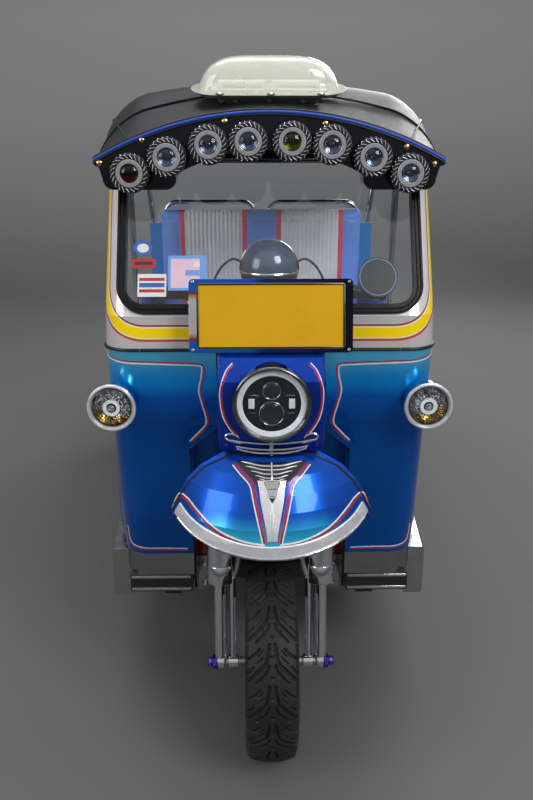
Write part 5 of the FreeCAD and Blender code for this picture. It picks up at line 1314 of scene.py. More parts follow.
def ring_of(name, shape_mesh, places, count, radius, lean, facing, finish_name, body):
    """A ring of small parts round every place, as one plain mesh on a body."""
    shape = bpy.data.objects.new(name + "_shape", shape_mesh)
    scene.collection.objects.link(shape)
    seats = bpy.data.meshes.new(name + "_places")
    seats.from_pydata([tuple(p) for p in places], [], [])
    holder = bpy.data.objects.new(name + "_holder", seats)
    scene.collection.objects.link(holder)
    repeat = holder.modifiers.new("ring", "NODES")
    repeat.node_group = RING_TREE
    values = {"Shape": shape, "Count": count, "Radius": radius, "Lean": lean, "Facing": facing,
              "Finish": FINISHES[finish_name]}
    for item in RING_TREE.interface.items_tree:
        if item.item_type == "SOCKET" and item.in_out == "INPUT" and item.name in values:
            repeat[item.identifier] = values[item.name]
    mesh = baked(holder)
    mesh.name = name
    bpy.data.objects.remove(holder)
    bpy.data.objects.remove(shape)
    if not mesh.materials:
        mesh.materials.append(FINISHES[finish_name])
    piece = add_piece(name, mesh, body)
    return piece


def block_mesh(name, size, radius=0.0004, segments=1, turn=None):
    """A small block centred on its place."""
    bm = bmesh.new()
    block_at(bm, Vector(), Vector(size) / 2, radius, segments=segments, turn=turn)
    return to_mesh(name, bm)


def screw_mesh(name, radius, height, sides=6):
    """A nut or screw head that stands along Z on its place."""
    bm = bmesh.new()
    lathe(bm, [(0.0, 0.0), (radius, 0.0), (radius, height * 0.75), (radius * 0.85, height), (0.0, height)],
          (0, 0, 0), (0, 0, 1), sides=sides)
    return to_mesh(name, bm)


FACE_FRONT = (radians(90), 0.0, 0.0)
print("ring tree nodes", len(RING_TREE.nodes))

# %% [markdown]
# ## Spot lamps
# Eight small lamps hang under the roof lip. Each is a rubber-look barrel with slanted bright fins
# like a little tyre, a pale bezel, a mirror bowl and a domed lens. The outer left lens is red and
# one near the middle is yellow, as on the real vehicle. Round parts are turned from profiles, and
# the fins and treads come from the ring tree, because each lamp repeats them over twenty times.

# %% Spot lamps
LAMP_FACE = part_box("spot_lamps")[0][1]
SPOT_PLACES = [(side * x, z) for x, z in ((0.05, 1.541), (0.141, 1.534), (0.236, 1.507), (0.322, 1.472))
               for side in (-1, 1)]
LENS_COLOURS = {(-0.322, 1.472): 1, (0.05, 1.541): 2}
SPOT_SLANT = radians(24)
SPOT_FINS, SPOT_TREADS = 22, 24
lamp_points = [(x, LAMP_FACE, z) for x, z in SPOT_PLACES]

BEZEL = mm((21.2, 3), (21.2, -4), (22.4, -5.6), (29.6, -5.6), (31, -4.2), (31, 0.6))
BARREL = mm((30.8, 4), (30.8, -2), (32.5, -3.4), (40, -3.4), (43.2, 0), (43.2, 20), (40.2, 23))
BOWL = mm((28.4, 2.4), (28.4, 3.5), (0, 8.8), (0, 8), (9, 6.8), (20.5, 4))
BULB = mm((0, 1.5), (4, 2), (6, 4), (6, 7.2), (0, 7.2))

turned_piece("spot_bezels", "chassis", "chrome_trim", ("satin_grey", "black_rubber"), lamp_points,
             (BEZEL, dict(ring=True)), (BARREL, dict(paint=[1] * 7, ring=True)))

bm = bmesh.new()
for x, z in SPOT_PLACES:
    paint = LENS_COLOURS.get((x, z), 0)
    lathe(bm, mm((0, -7.4), (9, -6.6), (16, -4.2), (21, -0.8), (21, 1), (0, 1)), (x, LAMP_FACE, z),
          BACKWARD, paint=[paint] * 6)
finished(bm, "spot_lenses", "chassis", "lamp_lens", "clear_glass", "red_glass", "yellow_glass",
         replaced="spot_lamp_lenses")

turned_piece("spot_bowls", "chassis", "chrome_trim", ("blue_mirror",), lamp_points,
             (BOWL, {}), (BULB, dict(sides=16)))

ring_of("spot_fins", block_mesh("fin", (0.0122, 0.0013, 0.0104), turn=Matrix.Rotation(radians(46), 3, "Z")),
        lamp_points, SPOT_FINS, 0.0372, 0.0, FACE_FRONT, "bright_metal", "chassis")
barrel_points = [(x, LAMP_FACE + 0.012, z) for x, z in SPOT_PLACES]
ring_of("spot_treads", block_mesh("tread", (0.003, 0.0024, 0.02)), barrel_points, SPOT_TREADS, 0.043,
        SPOT_SLANT, FACE_FRONT, "polished_steel", "chassis")
shell_points = [(x, LAMP_FACE + 0.013, z) for x, z in SPOT_PLACES]
ring_of("spot_tread_blocks", block_mesh("block", (0.004, 0.0052, 0.021)), shell_points, SPOT_TREADS,
        0.043, SPOT_SLANT, FACE_FRONT, "black_rubber", "chassis")
print("spot lamps", len(SPOT_PLACES))

# %% Header screws
HEADER_SCREWS = [(-0.296, 1.544), (-0.104, 1.585), (0.128, 1.58), (0.3185, 1.529), (-0.397, 1.4935),
                 (0.386, 1.491)]
bm = bmesh.new()
for x, z in HEADER_SCREWS:
    hit = from_front(("roof_header",), x, z)
    if hit:
        lathe(bm, mm((0, -4.5), (3, -4.2), (6, -2.6), (7.2, 0), (7.2, 0.8), (0, 0.8)),
              hit[0], BACKWARD, sides=20)
finished(bm, "header_screws", "chassis", "steel_pipe", "brass")

# %% [markdown]
# ## Head lamp
# A round lamp of the standard size: a chrome ring, a black groove, a wide white ring that lights
# by day, and two projector lenses above each other with a small chip lamp at each side. Flat
# discs would look printed, so each ring is a turned profile whose rounded edges catch the light.

# %% Head lamp
LAMP_LOW, LAMP_HIGH = box_of("head_lamp_unit")
LAMP_Z = (LAMP_LOW.z + LAMP_HIGH.z) / 2
UNIT_FACE = LAMP_LOW.y
PROJECTORS = ((0.028, 0.021), (-0.026, 0.029))
PROJECTOR_FACE = UNIT_FACE + 0.01

bm = bmesh.new()
lathe(bm, mm((66.2, 0.6), (66.2, -2.2), (67.2, -3), (77.5, -3), (78.5, -2.2), (78.5, 0.6)),
      (0, UNIT_FACE, LAMP_Z), BACKWARD, sides=96, ring=True)
finished(bm, "head_halo", "chassis", "lamp_lens", "halo_white")

bm = bmesh.new()
lathe(bm, mm((80, 0.4), (80, -3.4), (81.2, -4), (81.6, -3.4), (81.6, 0.4)),
      (0, UNIT_FACE, LAMP_Z), BACKWARD, sides=96, ring=True)
for rise, radius in PROJECTORS:
    lathe(bm, [(radius - 0.0022, 0.0005), (radius - 0.0022, -0.0034), (radius - 0.0012, -0.0042),
               (radius - 0.0002, -0.0034), (radius - 0.0002, 0.0005)],
          (0, PROJECTOR_FACE, LAMP_Z + rise), BACKWARD, sides=64, ring=True)
for side in (-1, 1):
    tube(bm, smooth_route([(side * 0.03, PROJECTOR_FACE + 0.001, LAMP_Z + 0.014),
                           (side * 0.04, PROJECTOR_FACE - 0.001, LAMP_Z + 0.018),
                           (side * 0.052, PROJECTOR_FACE - 0.001, LAMP_Z + 0.016)]), 0.001, sides=6)
    tube(bm, [Vector((side * 0.036, PROJECTOR_FACE + 0.001, LAMP_Z - 0.026)),
              Vector((side * 0.052, PROJECTOR_FACE + 0.001, LAMP_Z - 0.026))], 0.0008, sides=6)
finished(bm, "head_rings", "chassis", "chrome_trim", "chrome_trim")

bm = bmesh.new()
for rise, radius in PROJECTORS:
    dome = [(0.0, -0.006)] + [(radius * 0.88 * sin(a), -0.006 + 0.006 * (1 - cos(a)))
                               for a in (radians(t) for t in (18, 36, 54, 72, 90))]
    lathe(bm, dome + [(radius * 0.88, 0.0015), (0.0, 0.0015)], (0, PROJECTOR_FACE, LAMP_Z + rise),
          BACKWARD, sides=48)
finished(bm, "projector_lenses", "chassis", "lamp_lens", "clear_glass")

bm = bmesh.new()
for side in (-1, 1):
    x = side * 0.046
    bevelled_box(bm, (x - 0.0115, PROJECTOR_FACE + 0.001, LAMP_Z - 0.017),
                 (x + 0.0115, PROJECTOR_FACE + 0.012, LAMP_Z + 0.011), 0.002, paint=1)
    bevelled_box(bm, (x - 0.0068, PROJECTOR_FACE - 0.0012, LAMP_Z - 0.0145),
                 (x + 0.0068, PROJECTOR_FACE + 0.002, LAMP_Z + 0.0085), 0.0008, paint=0)
bevelled_box(bm, (-0.062, PROJECTOR_FACE + 0.002, LAMP_Z + 0.0005),
             (0.062, PROJECTOR_FACE + 0.009, LAMP_Z + 0.0035), 0.001, paint=1)
finished(bm, "head_chips", "chassis", "lamp_lens", "halo_white", "lamp_black")
print("head lamp face at", round(UNIT_FACE, 4))

# %% [markdown]
# ## Front fender
# The fender is the most decorated piece. Double lines follow its lip and two more come down in a
# V. The V holds small chrome bars and a position lamp, and a bright strip runs down to the lip.
# All of it follows a curved body, so each line is laid on the body by rays or nearest points.

# %% Patches and routes on a body
def resting(nodes, points, per=8):
    """Samples of a smooth route, each moved to the nearest point of some nodes."""
    middle = sum(box_of(nodes[0]), Vector()) / 2
    found = []
    for point in smooth_route(points, per):
        out = (point - middle).normalized() * 0.006
        place, normal, face, reach = surface_of(*nodes).find_nearest(point + out)
        found.append((place, normal if normal.dot(place - middle) > 0 else -normal))
    return found


def beside(nodes, samples, gap):
    """The same samples moved sideways over the surface by a gap."""
    route = []
    for i, (point, normal) in enumerate(samples):
        ahead = samples[min(i + 1, len(samples) - 1)][0]
        way = ahead - samples[max(i - 1, 0)][0]
        route.append(point + way.cross(normal).normalized() * gap)
    return resting(nodes, route, per=1)[:len(samples)]


def patch(bm, nodes, rows, lift, paint=0, columns=8, sink=0.0006):
    """A thin plate on a body between two edges; rows are (z, first x, last x)."""
    grid = []
    for z, first, last in rows:
        line = [from_front(nodes, first + (last - first) * k / columns, z) for k in range(columns + 1)]
        if all(line):
            grid.append(line)
    tops = [[bm.verts.new(p + n * lift) for p, n in line] for line in grid]
    lows = [[bm.verts.new(p - n * sink) for p, n in line] for line in grid]
    for sheet in (tops, lows):
        for near, far in zip(sheet, sheet[1:]):
            for k in range(columns):
                bm.faces.new((near[k], near[k + 1], far[k + 1], far[k])).material_index = paint
    rim = [(0, k) for k in range(columns)] + [(r, columns) for r in range(len(grid) - 1)]
    rim += [(len(grid) - 1, k) for k in range(columns, 0, -1)]
    rim += [(r, 0) for r in range(len(grid) - 1, 0, -1)]
    for (r, k), (s, m) in zip(rim, rim[1:] + rim[:1]):
        bm.faces.new((tops[r][k], tops[s][m], lows[s][m], lows[r][k])).material_index = paint


# %% Fender lines
FENDER_PART = ("front_fender",)
LIP_ROUTE = [(0.234, -1.306, 0.708), (0.23, -1.307, 0.722), (0.212, -1.314, 0.744), (0.19, -1.34, 0.742),
             (0.167, -1.368, 0.729), (0.119, -1.411, 0.703), (0.065, -1.436, 0.69), (0.016, -1.443, 0.685)]
VEE_ROUTE = [(0.083, -1.34, 0.829), (0.062, -1.362, 0.813), (0.043, -1.386, 0.796), (0.035, -1.408, 0.77),
             (0.028, -1.424, 0.741), (0.02, -1.438, 0.705), (0.016, -1.443, 0.686)]
FENDER_LINES = (
    # route, sideways gap, width, paint
    (LIP_ROUTE, 0.003, 0.0044, 1), (LIP_ROUTE, -0.0032, 0.005, 0), (LIP_ROUTE, -0.0004, 0.0012, 2),
    (VEE_ROUTE, 0.005, 0.0036, 1), (VEE_ROUTE, 0.0004, 0.0042, 0), (VEE_ROUTE, -0.0048, 0.0022, 0),
    (VEE_ROUTE, 0.0028, 0.001, 2),
)
bm = bmesh.new()
for side in (-1, 1):
    for route, gap, width, paint in FENDER_LINES:
        if route is LIP_ROUTE:
            line, outward = resting(FENDER_PART, [(side * x, y, z) for x, y, z in route]), 1
        else:
            line, outward = front_samples(FENDER_PART, [(side * x, z) for x, y, z in route]), -1
        strip(bm, beside(FENDER_PART, line, side * gap * outward), width, paint=paint)
finished(bm, "fender_lines", "steering", "yellow_paint", "red_paint", "white_paint", "black_gloss")

# %% Fender strip and bars
STRIP_ROWS = ((0.806, 0.0185, 0.033), (0.79, 0.015, 0.0295), (0.777, 0.0095, 0.0275), (0.763, 0.0, 0.0255),
              (0.74, 0.0, 0.0205), (0.715, 0.0, 0.015), (0.7, 0.0, 0.0125), (0.686, 0.0, 0.0115))
RECESS_ROWS = ((0.8375, 0.079), (0.83, 0.076), (0.822, 0.066), (0.812, 0.052), (0.802, 0.04), (0.79, 0.03),
               (0.777, 0.024), (0.768, 0.012), (0.763, 0.004))
FENDER_BARS = ((0.8345, 0.07, 0.0021), (0.828, 0.059, 0.002), (0.821, 0.047, 0.0019),
               (0.814, 0.037, 0.0017), (0.8085, 0.029, 0.0015))
bm = bmesh.new()
for side in (-1, 1):
    patch(bm, FENDER_PART, [(z, side * inner, side * outer) for z, inner, outer in STRIP_ROWS], 0.0016,
          columns=4)
for z, half, radius in FENDER_BARS:
    for side in (-1, 1):
        bar = front_samples(FENDER_PART, [(side * 0.003, z - 0.0035), (side * half * 0.4, z - 0.003),
                                          (side * half * 0.8, z), (side * half, z + 0.0006)], per=5)
        taper = [radius * min(1.0, 0.35 + 1.6 * (1 - i / len(bar))) for i in range(len(bar))]
        tube(bm, [p + n * 0.0014 for p, n in bar], taper, sides=8)
spine = front_samples(FENDER_PART, [(0.0, 0.8365), (0.0, 0.822), (0.0, 0.806)], per=6)
tube(bm, [p + n * 0.0016 for p, n in spine], 0.002, sides=8)
ridge = front_samples(FENDER_PART, [(0.0, 0.764), (0.0, 0.73), (0.0, 0.688)], per=8)
tube(bm, [p + n * 0.0012 for p, n in ridge], 0.0016, sides=8)
lamp_rim = front_samples(FENDER_PART, [(-0.017, 0.8045), (0.017, 0.8045), (0.014, 0.79), (0.0085, 0.7765),
                                       (-0.0085, 0.7765), (-0.014, 0.79)], per=5, closed=True)
tube(bm, [p + n * 0.003 for p, n in lamp_rim], 0.0015, sides=8, closed=True)
finished(bm, "fender_bright", "steering", "chrome_trim", "bright_metal")

bm = bmesh.new()
patch(bm, FENDER_PART, [(z, -half, half) for z, half in RECESS_ROWS], 0.0007, columns=12)
finished(bm, "fender_recess", "steering", "black_plastic", "black_gloss")

bm = bmesh.new()
patch(bm, FENDER_PART, [(0.804, -0.016, 0.016), (0.797, -0.0146, 0.0146), (0.7905, -0.0134, 0.0134)],
      0.0042, 0, 6)
patch(bm, FENDER_PART, [(0.7895, -0.0132, 0.0132), (0.783, -0.0108, 0.0108), (0.777, -0.008, 0.008)],
      0.0042, 1, 6)
finished(bm, "position_lamp", "steering", "lamp_lens", "cream_plastic", "reflector")

# %% Fender edges
FENDER_LOW, FENDER_HIGH = box_of("front_fender")
bm = bmesh.new()
edge_line = []
for k in range(34):
    z = FENDER_LOW.z + 0.02 + (FENDER_HIGH.z - 0.002 - FENDER_LOW.z - 0.02) * k / 33
    hit = onto(FENDER_PART, (-1.0, FENDER_HIGH.y - 0.019, z), (1, 0, 0))
    if hit:
        edge_line.append(hit[0])
over = edge_line + [Vector((-p.x, p.y, p.z)) for p in reversed(edge_line)]
tube(bm, [p + Vector((0, 0.003, 0.0006)) for p in over], 0.0034, sides=8)
finished(bm, "fender_edge", "steering", "black_rubber", "black_rubber")

# each ray starts below the rim and is raised by a millimetre until it meets the rim's lower edge
bm = bmesh.new()
low_edge = []
rim_tree = surface_of("fender_rim")
RIM_LOW, RIM_HIGH = box_of("fender_rim")
for k in range(61):
    turn = radians(-86 + 172 * k / 60)
    way = Vector((-sin(turn), cos(turn), 0.0))
    start = Vector((0.0, RIM_HIGH.y, 0.0)) - way
    for rise in range(60):
        z = RIM_LOW.z + 0.001 + rise * 0.001
        place, normal, face, reach = rim_tree.ray_cast(Vector((start.x, start.y, z)), way)
        if place is not None:
            low_edge.append(place)
            break
tube(bm, low_edge, 0.0034, sides=8)
finished(bm, "rim_bead", "steering", "chrome_trim", "chrome_trim")
print("rim bead points", len(low_edge))

# %% [markdown]
# ## Nose grille
# The chrome bars under the head lamp end in curled hooks, held by two small bolts. The real bars
# are bent rod, so each hook is a tube along a smooth route rather than a shape cut from a plate.

# %% Nose grille
NOSE_LOW, NOSE_HIGH = box_of("nose_grille")
GRILLE_Y = (NOSE_LOW.y + NOSE_HIGH.y) / 2
bm = bmesh.new()
for side in (-1, 1):
    hook = [(0.07, -0.002, 0.886), (0.09, 0.001, 0.8895), (0.102, 0.003, 0.893), (0.106, 0.004, 0.899),
            (0.101, 0.004, 0.905), (0.09, 0.003, 0.906), (0.079, 0.002, 0.9015), (0.074, 0.002, 0.8965)]
    tube(bm, smooth_route([(side * x, GRILLE_Y + y, z) for x, y, z in hook], 6), 0.003, sides=8)
    low = [(0.0, 0.0, 0.8575), (0.03, 0.0005, 0.8585), (0.06, 0.003, 0.8625), (0.08, 0.006, 0.868)]
    tube(bm, smooth_route([(side * x, GRILLE_Y + 0.004 + y, z) for x, y, z in low], 6), 0.003, sides=8)
tube(bm, [Vector((0, GRILLE_Y - 0.003, z)) for z in (0.8945, 0.885, 0.87, 0.8555)], 0.0032, sides=10)
finished(bm, "grille_hooks", "chassis", "chrome_trim", "chrome_trim")

bm = bmesh.new()
for side in (-1, 1):
    hit = from_front(("nose_cowl",), side * 0.104, 0.8785)
    lathe(bm, mm((0, -6), (3, -5.5), (4.5, -3.5), (4.5, 1), (0, 1)), hit[0], BACKWARD, sides=12)
finished(bm, "grille_bolts", "chassis", "steel_pipe", "purple_anodised")

# %% [markdown]
# ## Side lamps
# Each side lamp is a chrome cup with a bright inner ring, a mirror bowl of four rings of facets
# that turns gold towards the outer lower side, and a white light ring round a small dark bowl.
# Facets could be bump in a material, but small real blocks mirror different parts of the room.

# %% Side lamps
SIDE_LOW, SIDE_HIGH = box_of("side_lamp_lenses")
SIDE_R = (SIDE_HIGH.z - SIDE_LOW.z) / 2
SIDE_Z = (SIDE_LOW.z + SIDE_HIGH.z) / 2
SIDE_X = SIDE_HIGH.x - SIDE_R
CUP_FACE = SIDE_LOW.y + 0.004
SIDE_PLACES = [Vector((side * SIDE_X, CUP_FACE, SIDE_Z)) for side in (-1, 1)]

facets = finish("gold_mirror", (1.0, 1.0, 1.0), 0.12, metal=1.0, bump=(0.3, 240.0), edge=0.0)
tree, skin, base = finish_parts(facets)
x, y, z = object_axes(tree)
outer = math_node(tree, "MULTIPLY", math_node(tree, "ABSOLUTE", x), 0.35)
outer_low = math_node(tree, "SUBTRACT", outer, z)
gold = along(tree, outer_low, 0.35 * SIDE_X - SIDE_Z + 0.002, 0.35 * SIDE_X - SIDE_Z + 0.026)
mosaic = node(tree, "ShaderNodeTexVoronoi", {"Scale": 210.0})
tree.links.new(node(tree, "ShaderNodeTexCoord").outputs["Object"], mosaic.inputs["Vector"])
patches = node(tree, "ShaderNodeMapRange", {"From Min": 0.15, "From Max": 0.75, "To Min": 0.04,
                                            "To Max": 1.0}, Value=mosaic.outputs["Color"])
tinted = mix_colours(tree, gold, (0.92, 0.93, 0.95), (0.9, 0.56, 0.12))
tree.links.new(mix_colours(tree, 1.0, tinted, patches.outputs["Result"], blend="MULTIPLY"),
               skin.inputs["Base Color"])

bm = bmesh.new()
for place in SIDE_PLACES:
    lathe(bm, [(SIDE_R + 0.008, -0.001), (SIDE_R + 0.006, -0.004), (SIDE_R + 0.002, -0.005),
               (SIDE_R - 0.003, 0.002), (SIDE_R - 0.0036, 0.006), (SIDE_R - 0.0005, 0.006)], place,
          BACKWARD, sides=72, ring=True)
finished(bm, "side_rings", "chassis", "chrome_trim", "bright_metal")

bm = bmesh.new()
for place in SIDE_PLACES:
    lathe(bm, [(SIDE_R - 0.0036, 0.0015), (SIDE_R - 0.0052, 0.001), (SIDE_R - 0.0052, 0.0088),
               (SIDE_R - 0.0036, 0.0088)], place, BACKWARD, sides=72, ring=True)
    lathe(bm, mm((11.8, 1.5), (11.2, 5.5), (8, 8), (0, 8.5), (0, 9.2), (12.2, 9.2)),
          place, BACKWARD, sides=48)
finished(bm, "side_bowls", "chassis", "black_plastic", "lamp_black")

bm = bmesh.new()
for place in SIDE_PLACES:
    lathe(bm, [(SIDE_R - 0.0052, 0.003), (0.0212, 0.0076), (0.0212, 0.009), (SIDE_R - 0.0052, 0.009)],
          place, BACKWARD, sides=72, ring=True)
finished(bm, "side_mirrors", "chassis", "chrome_trim", "gold_mirror")
for label, count, radius, depth, size in (("outer", 40, 0.0425, 0.003, (0.0046, 0.0044, 0.003)),
                                          ("middle", 34, 0.0365, 0.004, (0.0044, 0.0046, 0.003)),
                                          ("inner", 26, 0.0305, 0.0052, (0.0046, 0.005, 0.003)),
                                          ("core", 20, 0.0247, 0.0062, (0.005, 0.005, 0.003))):
    seats = [p + Vector((0, depth, 0)) for p in SIDE_PLACES]
    ring_of("side_facets_" + label, block_mesh("facet", size, 0.0008), seats, count, radius,
            radians(28), FACE_FRONT, "gold_mirror", "chassis")

bm = bmesh.new()
for place in SIDE_PLACES:
    lathe(bm, mm((12.2, 3), (12.2, -1.5), (12.8, -2.2), (20, -2.2), (20.7, -1.5), (20.7, 7.6)), place,
          BACKWARD, sides=64, ring=True)
finished(bm, "side_halos", "chassis", "lamp_lens", "halo_white")

bm = bmesh.new()
for place in SIDE_PLACES:
    bulb = place + Vector((0.002 if place.x > 0 else -0.002, 0.0, -0.003))
    lathe(bm, mm((10.5, 3), (9.8, 2.4), (8.5, 3), (3, 6.2), (0, 6.6), (0, 8), (9.5, 8)), bulb, BACKWARD,
          sides=40)
    lathe(bm, mm((0, -0.5), (2.2, 0.2), (3, 2), (3, 6.8), (0, 6.8)), bulb, BACKWARD, sides=20)
finished(bm, "side_bulbs", "chassis", "chrome_trim", "reflector")

bm = bmesh.new()
for place in SIDE_PLACES:
    lathe(bm, [(SIDE_R - 0.003, 0.0004), (SIDE_R - 0.009, -0.0022), (0.02, -0.004), (0.0, -0.0044),
               (0.0, -0.003), (0.02, -0.0026), (SIDE_R - 0.009, -0.0008), (SIDE_R - 0.003, 0.0018)],
          place, BACKWARD, sides=64)
finished(bm, "side_covers", "chassis", "lamp_lens", "clear_glass", replaced="side_lamp_lenses")
print("side lamps at", round(SIDE_X, 4), round(SIDE_Z, 4))

# %% [markdown]
# ## Tyre tread
# The tread is a wet-weather pattern. One pitch of it is drawn as a few grooves over half the
# width, mirrored, and repeated round the tyre. The tyre is a fine grid over the CAD profile, and
# each point sinks where it lies in a groove. Cutting every groove out of the solid would be slow
# and would leave ragged faces.

# %% Tread pattern
PITCHES = 16
PITCH_MM = 96.0
GROOVE_WALL_MM = 0.9
GROOVES = (
    # points (across, along) in millimetres of a 96 mm pitch, half width, depth
    (((7, -2), (10, 20), (15, 42), (38, 64), (64, 86)), 2.7, 6.0),
    (((7, 46), (12, 60), (24, 73), (38, 86)), 2.2, 5.0),
    (((30, 8), (44, 22), (60, 30), (68, 30)), 2.2, 5.0),
    (((46, 50), (56, 60), (70, 68)), 2.0, 4.5),
    (((22, 26), (38, 42)), 0.9, 3.0), (((22, 12), (34, 24)), 0.9, 3.0), (((28, 50), (42, 64)), 0.9, 3.0),
    (((0, 30), (4, 24)), 1.2, 3.0), (((0, 78), (4, 72)), 1.2, 3.0), (((22, 60), (22.5, 60.5)), 1.4, 3.0),
)


def groove_depth(across, along_way, pitch):
    """How deep the tread is cut at a point, in metres."""
    across, along_way = abs(across) * 1000.0, along_way / pitch * PITCH_MM
    deepest = 0.0
    for points, half, depth in GROOVES:
        for (x0, y0), (x1, y1) in zip(points, points[1:]):
            for turn in (-PITCH_MM, 0.0, PITCH_MM):
                dx, dy, px, py = x1 - x0, y1 - y0, across - x0, along_way + turn - y0
                share = min(1.0, max(0.0, (px * dx + py * dy) / (dx * dx + dy * dy)))
                gap = hypot(px - share * dx, py - share * dy)
                if gap < half + GROOVE_WALL_MM:
                    deepest = max(deepest, depth * min(1.0, (half + GROOVE_WALL_MM - gap) / 1.1))
    return deepest / 1000.0


def tyre_profile(radius, width, drop, rim_r, across_count):
    """Points (x, radius, across) over the tread and both sides, ends at the beads."""
    shoulder, half, bead = width * 0.43, width / 2, width * 0.34
    crown_r = (shoulder ** 2 + drop ** 2) / (2 * drop)
    sweep = 2 * radians(90) - 2 * atan2(shoulder, drop)
    wall = rim_r + 0.0103
    belly = (radius + wall) / 2
    side = three_point_arc((shoulder, radius - drop), (half, belly), (bead, wall), 12)
    reach = crown_r * sweep
    out = [(crown_r * sin(a), radius - crown_r * (1 - cos(a)), crown_r * a)
           for a in (sweep * (2 * k / across_count - 1) for k in range(across_count + 1))]
    sides = []
    for (x0, z0), (x1, z1) in zip(side, side[1:]):
        reach += hypot(x1 - x0, z1 - z0)
        sides.append((x1, z1, reach))
    left = [(-x, z, -t) for x, z, t in reversed(sides)]
    return left + out + sides


def treaded_tyre(name, node, body, width, drop, rim_r, around, across_count):
    """A tyre with cut tread in the room of a CAD tyre."""
    low, high = box_of(node)
    centre, radius = (low + high) / 2, (high.z - low.z) / 2
    profile = tyre_profile(radius, width, drop, rim_r, across_count)
    inner = [(width * 0.34, rim_r), (-width * 0.34, rim_r)]
    steps = around // PITCHES
    pitch = 2 * pi * radius / PITCHES
    cuts = [[groove_depth(t, pitch * k / steps, pitch) for x, z, t in profile] for k in range(steps)]
    normals = []
    for i in range(len(profile)):
        (x0, z0, a), (x1, z1, b) = profile[max(0, i - 1)], profile[min(len(profile) - 1, i + 1)]
        length = hypot(x1 - x0, z1 - z0)
        normals.append((-(z1 - z0) / length, (x1 - x0) / length))
    verts, faces = [], []
    ring = len(profile) + len(inner)
    for i in range(around):
        turn = 2 * pi * i / around
        rows = zip(profile, normals, cuts[i % steps])
        line = [(x - nx * cut, z - nz * cut) for (x, z, t), (nx, nz), cut in rows]
        for x, r in line + inner:
            verts.append((centre.x + x, centre.y - r * sin(turn), centre.z + r * cos(turn)))
        j = (i + 1) % around
        for k in range(ring):
            m = (k + 1) % ring
            faces.append((i * ring + k, i * ring + m, j * ring + m, j * ring + k))
    mesh = bpy.data.meshes.new(name)
    mesh.from_pydata(verts, [], faces)
    bm = bmesh.new()
    bm.from_mesh(mesh)
    bmesh.ops.recalc_face_normals(bm, faces=bm.faces)
    bm.to_mesh(mesh)
    bm.free()
    piece = add_piece(name, mesh, body, "tyre_rubber", crease=40.0)
    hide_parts(node)
    return piece


# %% Tyres
FRONT_TYRE_W, REAR_TYRE_W, TREAD_DROP, TYRE_SEAT_R = 0.13, 0.145, 0.011, 0.1523
front_tread = treaded_tyre("front_tread", "front_tyre", "front_wheel", FRONT_TYRE_W, TREAD_DROP,
                           TYRE_SEAT_R, 768, 60)
for side, label in ((-1, "left"), (1, "right")):
    treaded_tyre("rear_tread_" + label, "rear_tyre_" + label, "rear_wheel_" + label, REAR_TYRE_W,
                 TREAD_DROP, TYRE_SEAT_R, 448, 44)
print("front tread", len(front_tread.data.polygons), "faces")

# %% [markdown]
# ## Number plate
# The frame is polished steel that heat has tinted: bright blue at the upper left, nearly black at
# the right, and bare at the left with straw-coloured borders. Heat tint changes smoothly, so it
# is two colour ramps, and the border and the screws are solid because they catch the light. The
# plate itself stays blank.

# %% Plate
PLATE_MID = sum(box_of("number_plate"), Vector()) / 2
PLATE_TILT = radians(14.0)
PLATE_TURN = Matrix.Rotation(radians(90.0) - PLATE_TILT, 3, "X")
FACE_OUT = PLATE_TURN @ Vector((0, 0, 1))


def on_plate(x, up, out=0.0):
    """A place on the plate's plane: across, up and out from its middle."""
    return PLATE_MID + PLATE_TURN @ Vector((x, up, out))


tinted = finish("tinted_steel", (1.0, 1.0, 1.0), 0.16, metal=1.0, coat=0.3, bump=(0.02, 40.0),
                grain=(9.0, 0.9, 1.1))
tree, skin, base = finish_parts(tinted)
x, y, z = object_axes(tree)
rise = math_node(tree, "SUBTRACT", z, PLATE_MID.z)
across = along(tree, x, -0.19, 0.19)
sheet = ramp(tree, across, ((0.0, (0.015, 0.19, 0.85)), (0.35, (0.01, 0.15, 0.75)),
                            (0.48, (0.004, 0.03, 0.2)), (1.0, (0.006, 0.009, 0.02))))
bare = ramp(tree, along(tree, math_node(tree, "ABSOLUTE", rise), 0.0, 0.085),
            ((0.0, (0.8, 0.8, 0.84)), (0.42, (0.86, 0.86, 0.9)), (0.52, (0.8, 0.42, 0.12)),
             (0.6, (0.35, 0.03, 0.2)), (0.68, (0.015, 0.19, 0.85))))
left_side = math_node(tree, "LESS_THAN", x, -0.166)
tree.links.new(mix_colours(tree, left_side, sheet, bare), skin.inputs["Base Color"])
NODES["plate_holder"].data.materials[0] = tinted

bm = bmesh.new()
half_x, half_up = 0.17, 0.075
BORDER = 0.003
for up in (-half_up + BORDER, half_up - BORDER):
    block_at(bm, on_plate(0, up, 0.002), (half_x - BORDER, 0.0018, 0.0012), 0.0006, turn=PLATE_TURN)
for x in (-half_x + BORDER, half_x - BORDER):
    block_at(bm, on_plate(x, 0, 0.002), (0.0018, half_up - BORDER, 0.0012), 0.0006, turn=PLATE_TURN)
finished(bm, "plate_border", "chassis", "black_plastic", "black_gloss")

bm = bmesh.new()
for x in (-1, 1):
    for up in (-1, 1):
        place = on_plate(x * 0.1785, up * 0.0775, 0.0016)
        lathe(bm, mm((0, 3), (2.8, 2.7), (4, 1.2), (4, -1.2), (0, -1.2)), place, FACE_OUT, sides=16)
finished(bm, "plate_screws", "chassis", "steel_pipe", "polished_steel")
print("plate at", tuple(round(v, 3) for v in PLATE_MID))

# %% [markdown]
# ## Roof sign
# The sign is a clear box with strongly rounded shoulders on a cream tray. It has no lettering.
# Two pale tubes lie inside, and washers under small domed screws hold the tray's flange. A
# bevelled cube looks too hard for a moulded box, so the shell follows a formula between a
# rectangle and an ellipse.

